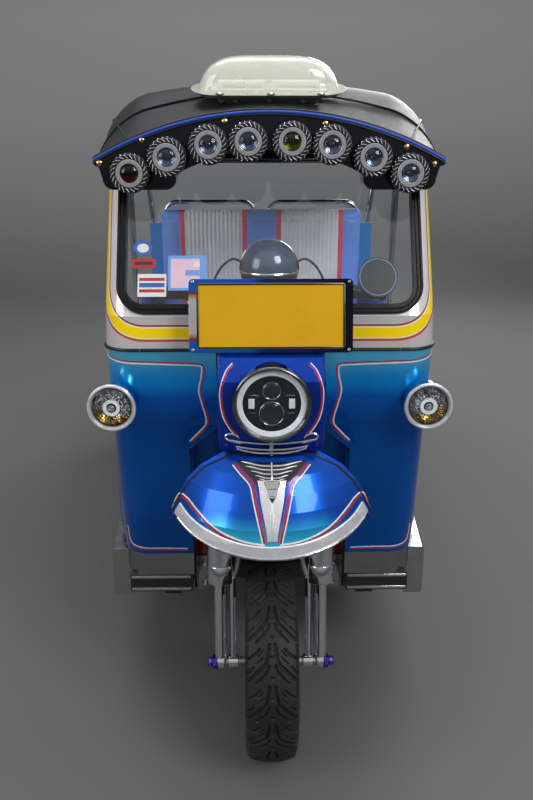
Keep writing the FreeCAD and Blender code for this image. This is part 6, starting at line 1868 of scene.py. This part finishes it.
# %% Roof sign
SIGN_PLACE = Vector((0.0, ROOF_FRONT + 0.145, 1.665))
SIGN_TURN = Matrix.Rotation(radians(16.0), 3, "X")
SIGN_UP = SIGN_TURN @ Vector((0, 0, 1))
DOME_HALF = (0.164, 0.056)
DOME_RISE, DOME_POWER = 0.072, 0.62
DOME_RINGS, DOME_SIDES = 14, 72


def on_sign(x, y, z):
    """A place in the tilted frame of the sign."""
    return SIGN_PLACE + SIGN_TURN @ Vector((x, y, z))


def dome_shell(bm, inset):
    """A rounded box open below; its walls lean in and turn over at the top."""
    half_x, half_y = DOME_HALF[0] - inset, DOME_HALF[1] - inset
    loops = []
    for k in range(DOME_RINGS + 1):
        rise = sin(pi / 2 * k / DOME_RINGS)
        shrink = (1.0 - rise ** 2.8) ** (1 / 2.8) if k < DOME_RINGS else 0.0
        loop = []
        for i in range(DOME_SIDES):
            a = 2 * pi * i / DOME_SIDES
            c, s = cos(a), sin(a)
            x = half_x * abs(c) ** DOME_POWER * (1 if c >= 0 else -1) * (1.04 - 0.12 * rise)
            x *= 0.3 + 0.7 * shrink
            y = half_y * abs(s) ** DOME_POWER * (1 if s >= 0 else -1) * (1.0 - 0.16 * rise)
            y *= 0.12 + 0.88 * shrink
            loop.append(bm.verts.new(on_sign(x, y, 0.0006 + (DOME_RISE - inset) * rise)))
        loops.append(loop)
    for near, far in zip(loops, loops[1:]):
        for i in range(DOME_SIDES):
            j = (i + 1) % DOME_SIDES
            bm.faces.new((near[i], near[j], far[j], far[i]))
    bm.faces.new(loops[-1])
    return loops[0]


cream = glass("clear_cream", (0.84, 0.855, 0.79), rough=0.08)
cream.node_tree.nodes["Principled BSDF"].inputs["Transmission Weight"].default_value = 0.72
bm = bmesh.new()
outer, inner = dome_shell(bm, 0.0), dome_shell(bm, 0.0022)
for i in range(DOME_SIDES):
    j = (i + 1) % DOME_SIDES
    bm.faces.new((outer[i], outer[j], inner[j], inner[i]))
finished(bm, "sign_shell", "chassis", "clear_glass", "clear_cream", crease=60.0, replaced="sign_dome")

bm = bmesh.new()
for side in (-1, 1):
    route = [on_sign(side * x, -0.012, 0.014) for x in (0.01, 0.06, 0.12)]
    tube(bm, route, 0.008, sides=20)
    for x in (0.012, 0.118):
        block_at(bm, on_sign(side * x, -0.012, 0.01), (0.006, 0.012, 0.01), 0.002, turn=SIGN_TURN)
block_at(bm, on_sign(0, 0.004, 0.002), (0.14, 0.036, 0.0022), 0.002, turn=SIGN_TURN)
finished(bm, "sign_tubes", "chassis", "cream_plastic", "white_paint")

SCREW_SPOTS = [(x, -0.0655) for x in (-0.118, 0.004, 0.124)] + [(x, 0.0655) for x in (-0.118, 0.004, 0.124)]
bm = bmesh.new()
for x, y in SCREW_SPOTS:
    place = on_sign(x, y, 0.0)
    lathe(bm, mm((0, 2.2), (8.8, 2.2), (9.8, 0.6), (9.8, -0.8), (0, -0.8)), place, SIGN_UP, sides=24)
    lathe(bm, mm((0, 6.2), (3.5, 5.4), (5.8, 3), (6, 1.8), (0, 1.8)), place, SIGN_UP,
          sides=20, paint=[1] * 4)
finished(bm, "sign_screws", "chassis", "steel_pipe", "black_rubber", "polished_steel")

bm = bmesh.new()
block_at(bm, on_sign(0, -0.05, -0.0165), (0.125, 0.009, 0.006), 0.002, turn=SIGN_TURN)
for x in (-0.115, -0.08, 0.0, 0.08, 0.115):
    lathe(bm, mm((0, -4.2), (6, -4.2), (6, 0), (0, 0)), on_sign(x, -0.059, -0.0165), BACKWARD, sides=6)
finished(bm, "sign_bracket", "chassis", "frame_paint", "frame_paint")
print("sign pieces done")

# %% [markdown]
# ## Stickers on the windscreen
# The glass carries a few permit stickers. Here they are plain shapes in their colours, with no
# writing: a round one over a bar, a striped card, a bordered card and a dark disc. Each is a very
# thin plate that rays lay on the glass, so it leans as the glass does, and its layers are a
# fraction of a millimetre apart so that they don't flicker into each other.

# %% Stickers
for name, colour in (("sticker_blue", (0.05, 0.13, 0.45)), ("sticker_red", (0.5, 0.03, 0.03)),
                     ("sticker_pink", (0.8, 0.55, 0.66)), ("sticker_sky", (0.18, 0.36, 0.75)),
                     ("sticker_dark", (0.03, 0.032, 0.038))):
    finish(name, colour, 0.35, coat=0.2, edge=0.0, grain=(60.0, 0.94, 1.04))
GLASS_PART = ("windscreen_glass",)


def sticker(bm, x, z, half_x, half_z, paint, layer=1, corner=0.0, round_edge=False):
    """A flat shape on the glass, seen from the front as a disc or a rounded card."""
    rim = []
    if round_edge:
        rim = [(x + half_x * cos(a), z + half_z * sin(a)) for a in (2 * pi * i / 48 for i in range(48))]
    else:
        for sx, sz, first in ((1, 1, 0), (-1, 1, 90), (-1, -1, 180), (1, -1, 270)):
            for k in range(4):
                a = radians(first + 30 * k)
                rim.append((x + sx * (half_x - corner) + corner * cos(a),
                            z + sz * (half_z - corner) + corner * sin(a)))
    tops, lows = [], []
    for px, pz in rim:
        place, normal = from_front(GLASS_PART, px, pz)
        tops.append(bm.verts.new(place + normal * 0.0004 * layer))
        lows.append(bm.verts.new(place - normal * 0.0001))
    bm.faces.new(tops).material_index = paint
    bm.faces.new(lows).material_index = paint
    for i in range(len(rim)):
        j = (i + 1) % len(rim)
        bm.faces.new((tops[i], tops[j], lows[j], lows[i])).material_index = paint


WHITE_INK, BLUE_INK, RED_INK, PINK_INK, SKY_INK, DARK_INK = range(6)
bm = bmesh.new()
sticker(bm, -0.3034, 1.3, 0.023, 0.0175, BLUE_INK, round_edge=True)
sticker(bm, -0.3034, 1.299, 0.014, 0.01, WHITE_INK, 2, round_edge=True)
sticker(bm, -0.3015, 1.265, 0.029, 0.01, RED_INK, corner=0.003)
sticker(bm, -0.3015, 1.2655, 0.0215, 0.0034, DARK_INK, 2, corner=0.001)
sticker(bm, -0.281, 1.217, 0.034, 0.025, WHITE_INK, corner=0.002)
for z, paint in ((1.23, RED_INK), (1.2175, BLUE_INK), (1.205, RED_INK)):
    sticker(bm, -0.281, z, 0.03, 0.0034 if paint == RED_INK else 0.0048, paint, 2)
sticker(bm, -0.197, 1.244, 0.046, 0.0385, SKY_INK, corner=0.001)
sticker(bm, -0.202, 1.243, 0.0345, 0.032, PINK_INK, 2, corner=0.001)
sticker(bm, -0.185, 1.244, 0.017, 0.006, SKY_INK, 3)
sticker(bm, -0.175, 1.262, 0.0075, 0.0065, WHITE_INK, 3, round_edge=True)
sticker(bm, 0.2577, 1.234, 0.048, 0.0445, DARK_INK, round_edge=True)
sticker(bm, 0.2577, 1.234, 0.044, 0.0405, SKY_INK, 2, round_edge=True)
sticker(bm, 0.2577, 1.234, 0.0425, 0.0392, DARK_INK, 3, round_edge=True)
stickers = finished(bm, "stickers", "chassis", "yellow_paint", "white_paint", "sticker_blue",
                    "sticker_red", "sticker_pink", "sticker_sky", "sticker_dark")
print("stickers", len(stickers.data.polygons), "faces")

# %% [markdown]
# ## Fork and hub
# Below the fender the fork shows a bright sleeve on each leg, two bright stays, curved brackets
# behind the upper tubes, and an axle with spacers and coloured nuts. They are turned or swept
# like the real ones, and all stand on the raked plane through the axle, so that one angle places
# them.

# %% Fork details
AXLE_LOW, AXLE_HIGH = box_of("front_axle")
AXLE = (AXLE_LOW + AXLE_HIGH) / 2
FORK_RAKE = tan(radians(11.0))
LEG_X, LEG_SPLIT_Z = 0.13, 0.5


def leg_place(x, z, ahead=0.0):
    """A place on the raked plane through the axle."""
    return Vector((x, AXLE.y + (z - AXLE.z) * FORK_RAKE - ahead, z))


LEG_WAY = (leg_place(0, 1) - leg_place(0, 0)).normalized()
bm = bmesh.new()
for side in (-1, 1):
    sleeve = leg_place(side * LEG_X, LEG_SPLIT_Z)
    lathe(bm, mm((16.5, 4), (32, 4), (33, 2), (33, -42), (32.2, -44), (29.8, -44), (29.2, -42),
                 (29.2, -4), (16.5, -4)), sleeve, LEG_WAY, sides=40, ring=True)
    for z in (0.56, 0.64):
        lathe(bm, mm((31.8, 2), (33, 1), (33, -1), (31.8, -2)), leg_place(side * LEG_X, z),
              LEG_WAY, sides=40, ring=True)
    tube(bm, [leg_place(side * 0.098, z, 0.004) for z in (0.47, 0.4, 0.33, 0.262)], 0.0085, sides=16)
    lathe(bm, mm((12.2, -12), (19, -12), (19, 12), (12.2, 12)),
          (side * 0.0975, AXLE.y, AXLE.z), (1, 0, 0), sides=28, ring=True)
finished(bm, "fork_bright", "steering", "chrome_trim", "chrome_trim")

bm = bmesh.new()
for side in (-1, 1):
    route = smooth_route([leg_place(side * 0.104, 0.585, -0.004), leg_place(side * 0.088, 0.56, -0.004),
                          leg_place(side * 0.083, 0.52, -0.004), leg_place(side * 0.09, 0.48, -0.004),
                          leg_place(side * 0.104, 0.462, -0.004)], 6)
    tube(bm, route, 0.0075, sides=10)
    block_at(bm, leg_place(side * 0.113, 0.47), (0.014, 0.012, 0.006), 0.002)
finished(bm, "fork_brackets", "steering", "steel_pipe", "steel_pipe")

bm = bmesh.new()
for side in (-1, 1):
    start = Vector((side * 0.1382, AXLE.y, AXLE.z))
    lathe(bm, mm((12.2, 0), (20, 0), (21, 2), (21, 4), (12.2, 4)), start, (side, 0, 0),
          sides=28, ring=True)
    lathe(bm, mm((12.2, 4), (18, 4), (18, 12), (16, 14), (12.2, 14)), start,
          (side, 0, 0), sides=6, ring=True)
    lathe(bm, mm((0, 26.8), (10, 26.8), (11.8, 25), (12.3, 14), (0, 14)), start, (side, 0, 0), sides=28)
finished(bm, "axle_nuts", "steering", "steel_pipe", "purple_anodised")

# %% Wheel nuts, caps and valves
WHEELS = (("front", "front_tyre", "front_wheel", 1), ("left", "rear_tyre_left", "rear_wheel_left", -1),
          ("right", "rear_tyre_right", "rear_wheel_right", 1))
DISC_OFFSET = 0.02
for label, tyre_node, body, way in WHEELS:
    low, high = box_of(tyre_node)
    hub = (low + high) / 2
    face = hub + Vector((way * (DISC_OFFSET + 0.004), 0, 0))
    nut = screw_mesh("nut", 0.0095, 0.012)
    ring_of("wheel_nuts_" + label, nut, [face], 5, 0.062, 0.0, (0.0, radians(90 * way), 0.0),
            "polished_steel", body)
    bm = bmesh.new()
    if label != "front":
        lathe(bm, mm((0, 58), (20, 56), (31, 50), (36, 42), (36.5, 26.5), (0, 26.5)),
              hub + Vector((way * 0.02, 0, 0)), (way, 0, 0), sides=40)
    valve = hub + Vector((way * 0.026, 0.0, 0.136))
    tube(bm, [valve, valve + Vector((way * 0.018, 0, -0.004)), valve + Vector((way * 0.03, 0, -0.01))],
         [0.0045, 0.0035, 0.0045], sides=10, paint=1)
    finished(bm, "wheel_caps_" + label, body, "chrome_trim", "chrome_trim", "black_rubber")
print("wheels", len(WHEELS))

# %% [markdown]
# ## Sills, steps and wheel well
# Bright strips run along the steps, and a red panel and a bolted plate close each side of the
# wheel well. All are folded sheet, so blocks with rounded edges do it: a block without them
# shows no highlight and looks like paper.

# %% Front low parts
STEP_LOW, STEP_HIGH = box_of("front_steps")
bm = bmesh.new()
for side in (-1, 1):
    inner, outer = 0.215, 0.388
    for z in (STEP_HIGH.z - 0.008, STEP_LOW.z + 0.008):
        first, last = sorted((side * inner, side * outer))
        bevelled_box(bm, (first + 0.004, STEP_LOW.y - 0.0022, z - 0.0042),
                     (last - 0.004, STEP_LOW.y + 0.001, z + 0.0042), 0.0008)
finished(bm, "step_strips", "chassis", "chrome_trim", "chrome_trim")

bm = bmesh.new()
WELL_FACE = -1.02
for side in (-1, 1):
    first, last = sorted((side * 0.168, side * 0.2))
    bevelled_box(bm, (first, WELL_FACE, 0.415), (last, WELL_FACE + 0.03, 0.52), 0.003, paint=0)
    bevelled_box(bm, (first - 0.004, WELL_FACE - 0.004, 0.3), (last + 0.004, WELL_FACE + 0.028, 0.413),
                 0.003, paint=1)
    for z in (0.325, 0.388):
        lathe(bm, mm((0, -8), (6, -7.5), (9, -4), (9, 1), (0, 1)),
              ((first + last) / 2, WELL_FACE - 0.004, z), BACKWARD, sides=6, paint=[2] * 5)
finished(bm, "well_plates", "chassis", "steel_pipe", "red_paint", "steel_pipe", "polished_steel")
print("low front pieces done")

# %% [markdown]
# ## Windscreen rubber
# The gasket is one moulding with two raised ridges. Both follow the rounded opening, so each is a
# closed tube on the rubber, at its own distance from the edge. Rays from the front find its place.

# %% Gasket ridges
def screen_ring(inset, corner, count=10):
    """A rounded rectangle of (x, z) points inside the windscreen's opening."""
    half, low, high = OPENING_HALF - inset, OPENING_LOW + inset, OPENING_HIGH - inset
    ring = []
    for turn, x, up in ((0, half - corner, high - corner), (90, corner - half, high - corner),
                        (180, corner - half, low + corner), (270, half - corner, low + corner)):
        for k in range(count + 1):
            a = radians(turn + 90.0 * k / count)
            ring.append((x + corner * cos(a), SCREEN_CREASE_Z + (up + corner * sin(a)) * SCREEN_UP.z))
    return ring


bm = bmesh.new()
for inset, radius in ((-0.0015, 0.003), (0.0075, 0.0022)):
    ring = []
    for x, z in screen_ring(inset, OPENING_R - inset):
        hit = from_front(("windscreen_gasket",), x, z)
        if hit:
            ring.append(hit[0] + Vector((0, -0.0004, 0)))
    tube(bm, ring, radius, sides=8, closed=True)
finished(bm, "gasket_ridges", "chassis", "black_rubber", "gasket_rubber")

# %% [markdown]
# ## Lamp feet
# Each side lamp stands on a short bright foot with a rubber pad on the panel. Two rays, one from
# behind the lamp and one from the front, measure the room between them, and the foot fills it.

# %% Lamp feet
bm = bmesh.new()
for side in (-1, 1):
    panel = from_front(PANELS, side * SIDE_X, SIDE_Z)[0]
    back = onto(("side_lamp_housings",), (side * SIDE_X, 3.0, SIDE_Z), (0, -1, 0))[0]
    length = panel.y - back.y
    lathe(bm, [(0.0, -0.002), (0.02, -0.002), (0.02, length * 0.5), (0.0, length * 0.5)], back, BACKWARD,
          sides=40)
    lathe(bm, [(0.0, length * 0.5), (0.0235, length * 0.5), (0.0245, length * 0.7),
               (0.0245, length + 0.003), (0.0, length + 0.003)], back, BACKWARD, sides=40,
          paint=[1] * 4)
finished(bm, "side_lamp_feet", "chassis", "chrome_trim", "chrome_trim", "black_rubber")
print("lamp feet", round(length, 4))

# %% [markdown]
# ## Handlebar
# A smoked dome covers the instruments and two cables leave it. The grips are ribbed rubber
# sleeves, and each has a switch box at its inner end. A grip could be a cylinder with an array of
# rings, but a tube whose radius changes along its way is one closed piece.

# %% Handlebar fittings
POD_LOW, POD_HIGH = box_of("instrument_pod")
POD_MID = (POD_LOW + POD_HIGH) / 2
finish("smoked_dome", (0.045, 0.062, 0.11), 0.07, coat=0.9, coat_rough=0.02, grain=(6.0, 0.8, 1.2),
       bump=(0.004, 30.0), edge=0.0)
bm = bmesh.new()
dome = [(0.0, 0.0), (0.054, 0.0), (0.065, 0.006), (0.0715, 0.02), (0.0735, 0.036), (0.0725, 0.05),
        (0.069, 0.066), (0.062, 0.082), (0.052, 0.095), (0.038, 0.106), (0.02, 0.1125), (0.0, 0.1145)]
lathe(bm, dome, (0.0, POD_MID.y, POD_LOW.z), (0, 0, 1), sides=64, paint=[0, 0, 0, 0] + [1] * 7)
finished(bm, "pod_dome", "steering", "black_plastic", "black_plastic", "smoked_dome", crease=50.0,
         replaced="instrument_pod")

bm = bmesh.new()
arch = [Vector((0.0737 * cos(a), POD_MID.y - 0.014, POD_LOW.z + 0.038 + 0.0765 * sin(a)))
        for a in (pi * k / 40 for k in range(41))]
tube(bm, arch, 0.0019, sides=8)
lathe(bm, mm((74, 30), (75.6, 34), (74, 38), (72, 34)), (0.0, POD_MID.y, POD_LOW.z),
      (0, 0, 1), sides=64, ring=True)
finished(bm, "pod_rim", "steering", "chrome_trim", "polished_steel")

GRIP_KNEE, GRIP_END = Vector((0.15, -1.015, 1.175)), Vector((0.3, -0.936, 1.155))
GRIP_WAY = (GRIP_END - GRIP_KNEE).normalized()
GRIP_LENGTH, GRIP_R, GRIP_PAST_END = 0.115, 0.0172, 0.006
GRIP_STEPS = 60
bm = bmesh.new()
for side in (-1, 1):
    route, radii = [], []
    for k in range(GRIP_STEPS + 1):
        place = GRIP_END + GRIP_WAY * (GRIP_PAST_END - GRIP_LENGTH * k / GRIP_STEPS)
        route.append(Vector((side * place.x, place.y, place.z)))
        flange = 0.0045 if k < 3 or k > GRIP_STEPS - 4 else 0.0
        radii.append(GRIP_R + flange + (0.0012 if k % 4 < 2 else 0.0))
    tube(bm, route, radii, sides=24)
finished(bm, "grips", "steering", "black_rubber", "black_rubber")

bm = bmesh.new()
for side in (-1, 1):
    place = GRIP_END + GRIP_WAY * (GRIP_PAST_END - GRIP_LENGTH - 0.02)
    place.x *= side
    turn = Vector((side * GRIP_WAY.x, GRIP_WAY.y, GRIP_WAY.z)).to_track_quat("X", "Z").to_matrix()
    block_at(bm, place, (0.016, 0.02, 0.017), 0.005, turn=turn, segments=3)
    block_at(bm, place + Vector((0.0, 0.018, 0.006)), (0.005, 0.005, 0.003), 0.001, paint=1)
finished(bm, "switch_boxes", "steering", "black_plastic", "black_plastic", "red_paint")

bm = bmesh.new()
for side in (-1, 1):
    tube(bm, smooth_route([(side * 0.066, POD_MID.y + 0.012, POD_LOW.z + 0.052),
                           (side * 0.092, POD_MID.y + 0.014, 1.258),
                           (side * 0.118, POD_MID.y + 0.02, 1.24),
                           (side * 0.136, POD_MID.y + 0.028, 1.212),
                           (side * 0.146, POD_MID.y + 0.03, 1.186)], per=6), 0.003, sides=8)
finished(bm, "control_wires", "steering", "black_rubber", "black_rubber")
print("handlebar fittings done")

# %% [markdown]
# ## Seat piping
# White piping closes the top edge of the bench's back, and red piping runs along the front of the
# seats. The pads come out of a simulation, so their edges aren't known in numbers. Rays that meet
# a pad at 45 degrees find them.

# %% Seat piping
def edge_on(piece, starts, way):
    """Where rays first meet a finished piece."""
    mesh = piece.data
    search = BVHTree.FromPolygons([v.co.copy() for v in mesh.vertices],
                                  [tuple(p.vertices) for p in mesh.polygons])
    hits = [search.ray_cast(Vector(start), Vector(way).normalized())[0] for start in starts]
    return [hit for hit in hits if hit is not None]


def edge_starts(node_name, top, inset, count=40):
    """Ray starts above the front edge of a seat, from side to side."""
    low, high = box_of(node_name)
    span = high.x - low.x - 2 * inset
    return [(low.x + inset + span * k / count, low.y - 0.1 + top, high.z + 0.1 + top)
            for k in range(count + 1)]


bm = bmesh.new()
for piece, node_name, paint in ((bench_back, "bench_backrest", 0), (bench_seat, "bench_cushion", 1),
                                (driver_pad, "driver_seat", 1)):
    line = edge_on(piece, edge_starts(node_name, 0.012, 0.022), (0, 1, -1))
    tube(bm, line, 0.0036, sides=8, paint=paint)
finished(bm, "seat_piping", "chassis", "seat_vinyl", "seat_white", "seat_red")
print("seat piping done")

# %% [markdown]
# ## Rear body
# The rear lamps have three colours, and each has a bright frame with two cross bars. A double line
# runs round each side of the rear body, as on the front panels, and is laid on it by rays too,
# this time from the side.

# %% Rear lamp frames
TAIL_LOW, TAIL_HIGH = box_of("tail_lamps")
TAIL_INNER = min(abs(v.co.x) for v in NODES["tail_lamps"].data.vertices)
TAIL_MID_X = (TAIL_INNER + TAIL_HIGH.x) / 2
bm = bmesh.new()
for side in (-1, 1):
    corners = [(TAIL_INNER, TAIL_LOW.z), (TAIL_HIGH.x, TAIL_LOW.z), (TAIL_HIGH.x, TAIL_HIGH.z),
               (TAIL_INNER, TAIL_HIGH.z)]
    frame_line = []
    for (x0, z0), (x1, z1) in zip(corners, corners[1:] + corners[:1]):
        for share in (0.06, 0.5, 0.94):
            x, z = x0 + (x1 - x0) * share, z0 + (z1 - z0) * share
            frame_line.append(Vector((side * x, TAIL_HIGH.y - 0.012, z)))
    tube(bm, frame_line, 0.0042, sides=8, closed=True)
    for z in (0.48, 0.76):
        level = TAIL_LOW.z + (TAIL_HIGH.z - TAIL_LOW.z) * z
        bevelled_box(bm, (side * TAIL_MID_X - 0.036, TAIL_HIGH.y - 0.004, level - 0.0014),
                     (side * TAIL_MID_X + 0.036, TAIL_HIGH.y + 0.0012, level + 0.0014), 0.0004, 0)
finished(bm, "tail_frames", "chassis", "chrome_trim", "chrome_trim")

# %% Rear body lines
def side_samples(nodes, side, route, per=8, closed=False):
    """Samples of a route of (y, z) points laid onto nodes from one side."""
    found = []
    for point in smooth_route([(0.0, y, z) for y, z in route], per, closed):
        hit = onto(nodes, (side * 2.0, point.y, point.z), (-side, 0, 0))
        if hit and abs(hit[1].x) > 0.6:
            found.append(hit)
    return found


SIDE_LINE = [(0.245, 0.7), (0.245, 0.82), (0.262, 0.846), (0.3, 0.852), (0.7, 0.852), (1.19, 0.852),
             (1.23, 0.846), (1.248, 0.82), (1.248, 0.64), (1.236, 0.61), (1.2, 0.6), (0.7, 0.6),
             (0.3, 0.6), (0.258, 0.61), (0.245, 0.64)]
bm = bmesh.new()
for side in (-1, 1):
    for gap, width, paint in ((0.0, 0.0045, 0), (0.0065, 0.0036, 1)):
        inner = [(y + (gap if y < 0.7 else -gap if y > 0.7 else 0.0), z + (gap if z < 0.72 else -gap))
                 for y, z in SIDE_LINE]
        line = side_samples(("rear_tub",), side, inner, per=6, closed=True)
        if len(line) > 60:
            strip(bm, line, width, paint=paint, closed=True)
side_lines = finished(bm, "side_lines", "chassis", "yellow_paint", "red_paint", "white_paint")
print("side lines", len(side_lines.data.polygons))

# %% [markdown]
# ## Floor mats
# A ribbed rubber mat lies on the floor in front of each seat. A few ribs of one size don't need a
# Geometry Nodes tree, so a short loop repeats them.

# %% Floor mats
FLOOR_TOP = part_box("floor_pan")[1][2]
bm = bmesh.new()
for low_y, high_y, half in ((-0.9, -0.52, 0.4), (0.04, 0.33, 0.44)):
    bevelled_box(bm, (-half, low_y, FLOOR_TOP + 0.0002), (half, high_y, FLOOR_TOP + 0.004), 0.0012)
    count = int((high_y - low_y - 0.03) / 0.016)
    for k in range(count):
        y = low_y + 0.02 + 0.016 * k
        bevelled_box(bm, (-half + 0.012, y - 0.003, FLOOR_TOP + 0.003),
                     (half - 0.012, y + 0.003, FLOOR_TOP + 0.0062), 0.001, segments=1)
finished(bm, "floor_mats", "chassis", "black_rubber", "black_rubber")
print("floor mats done")
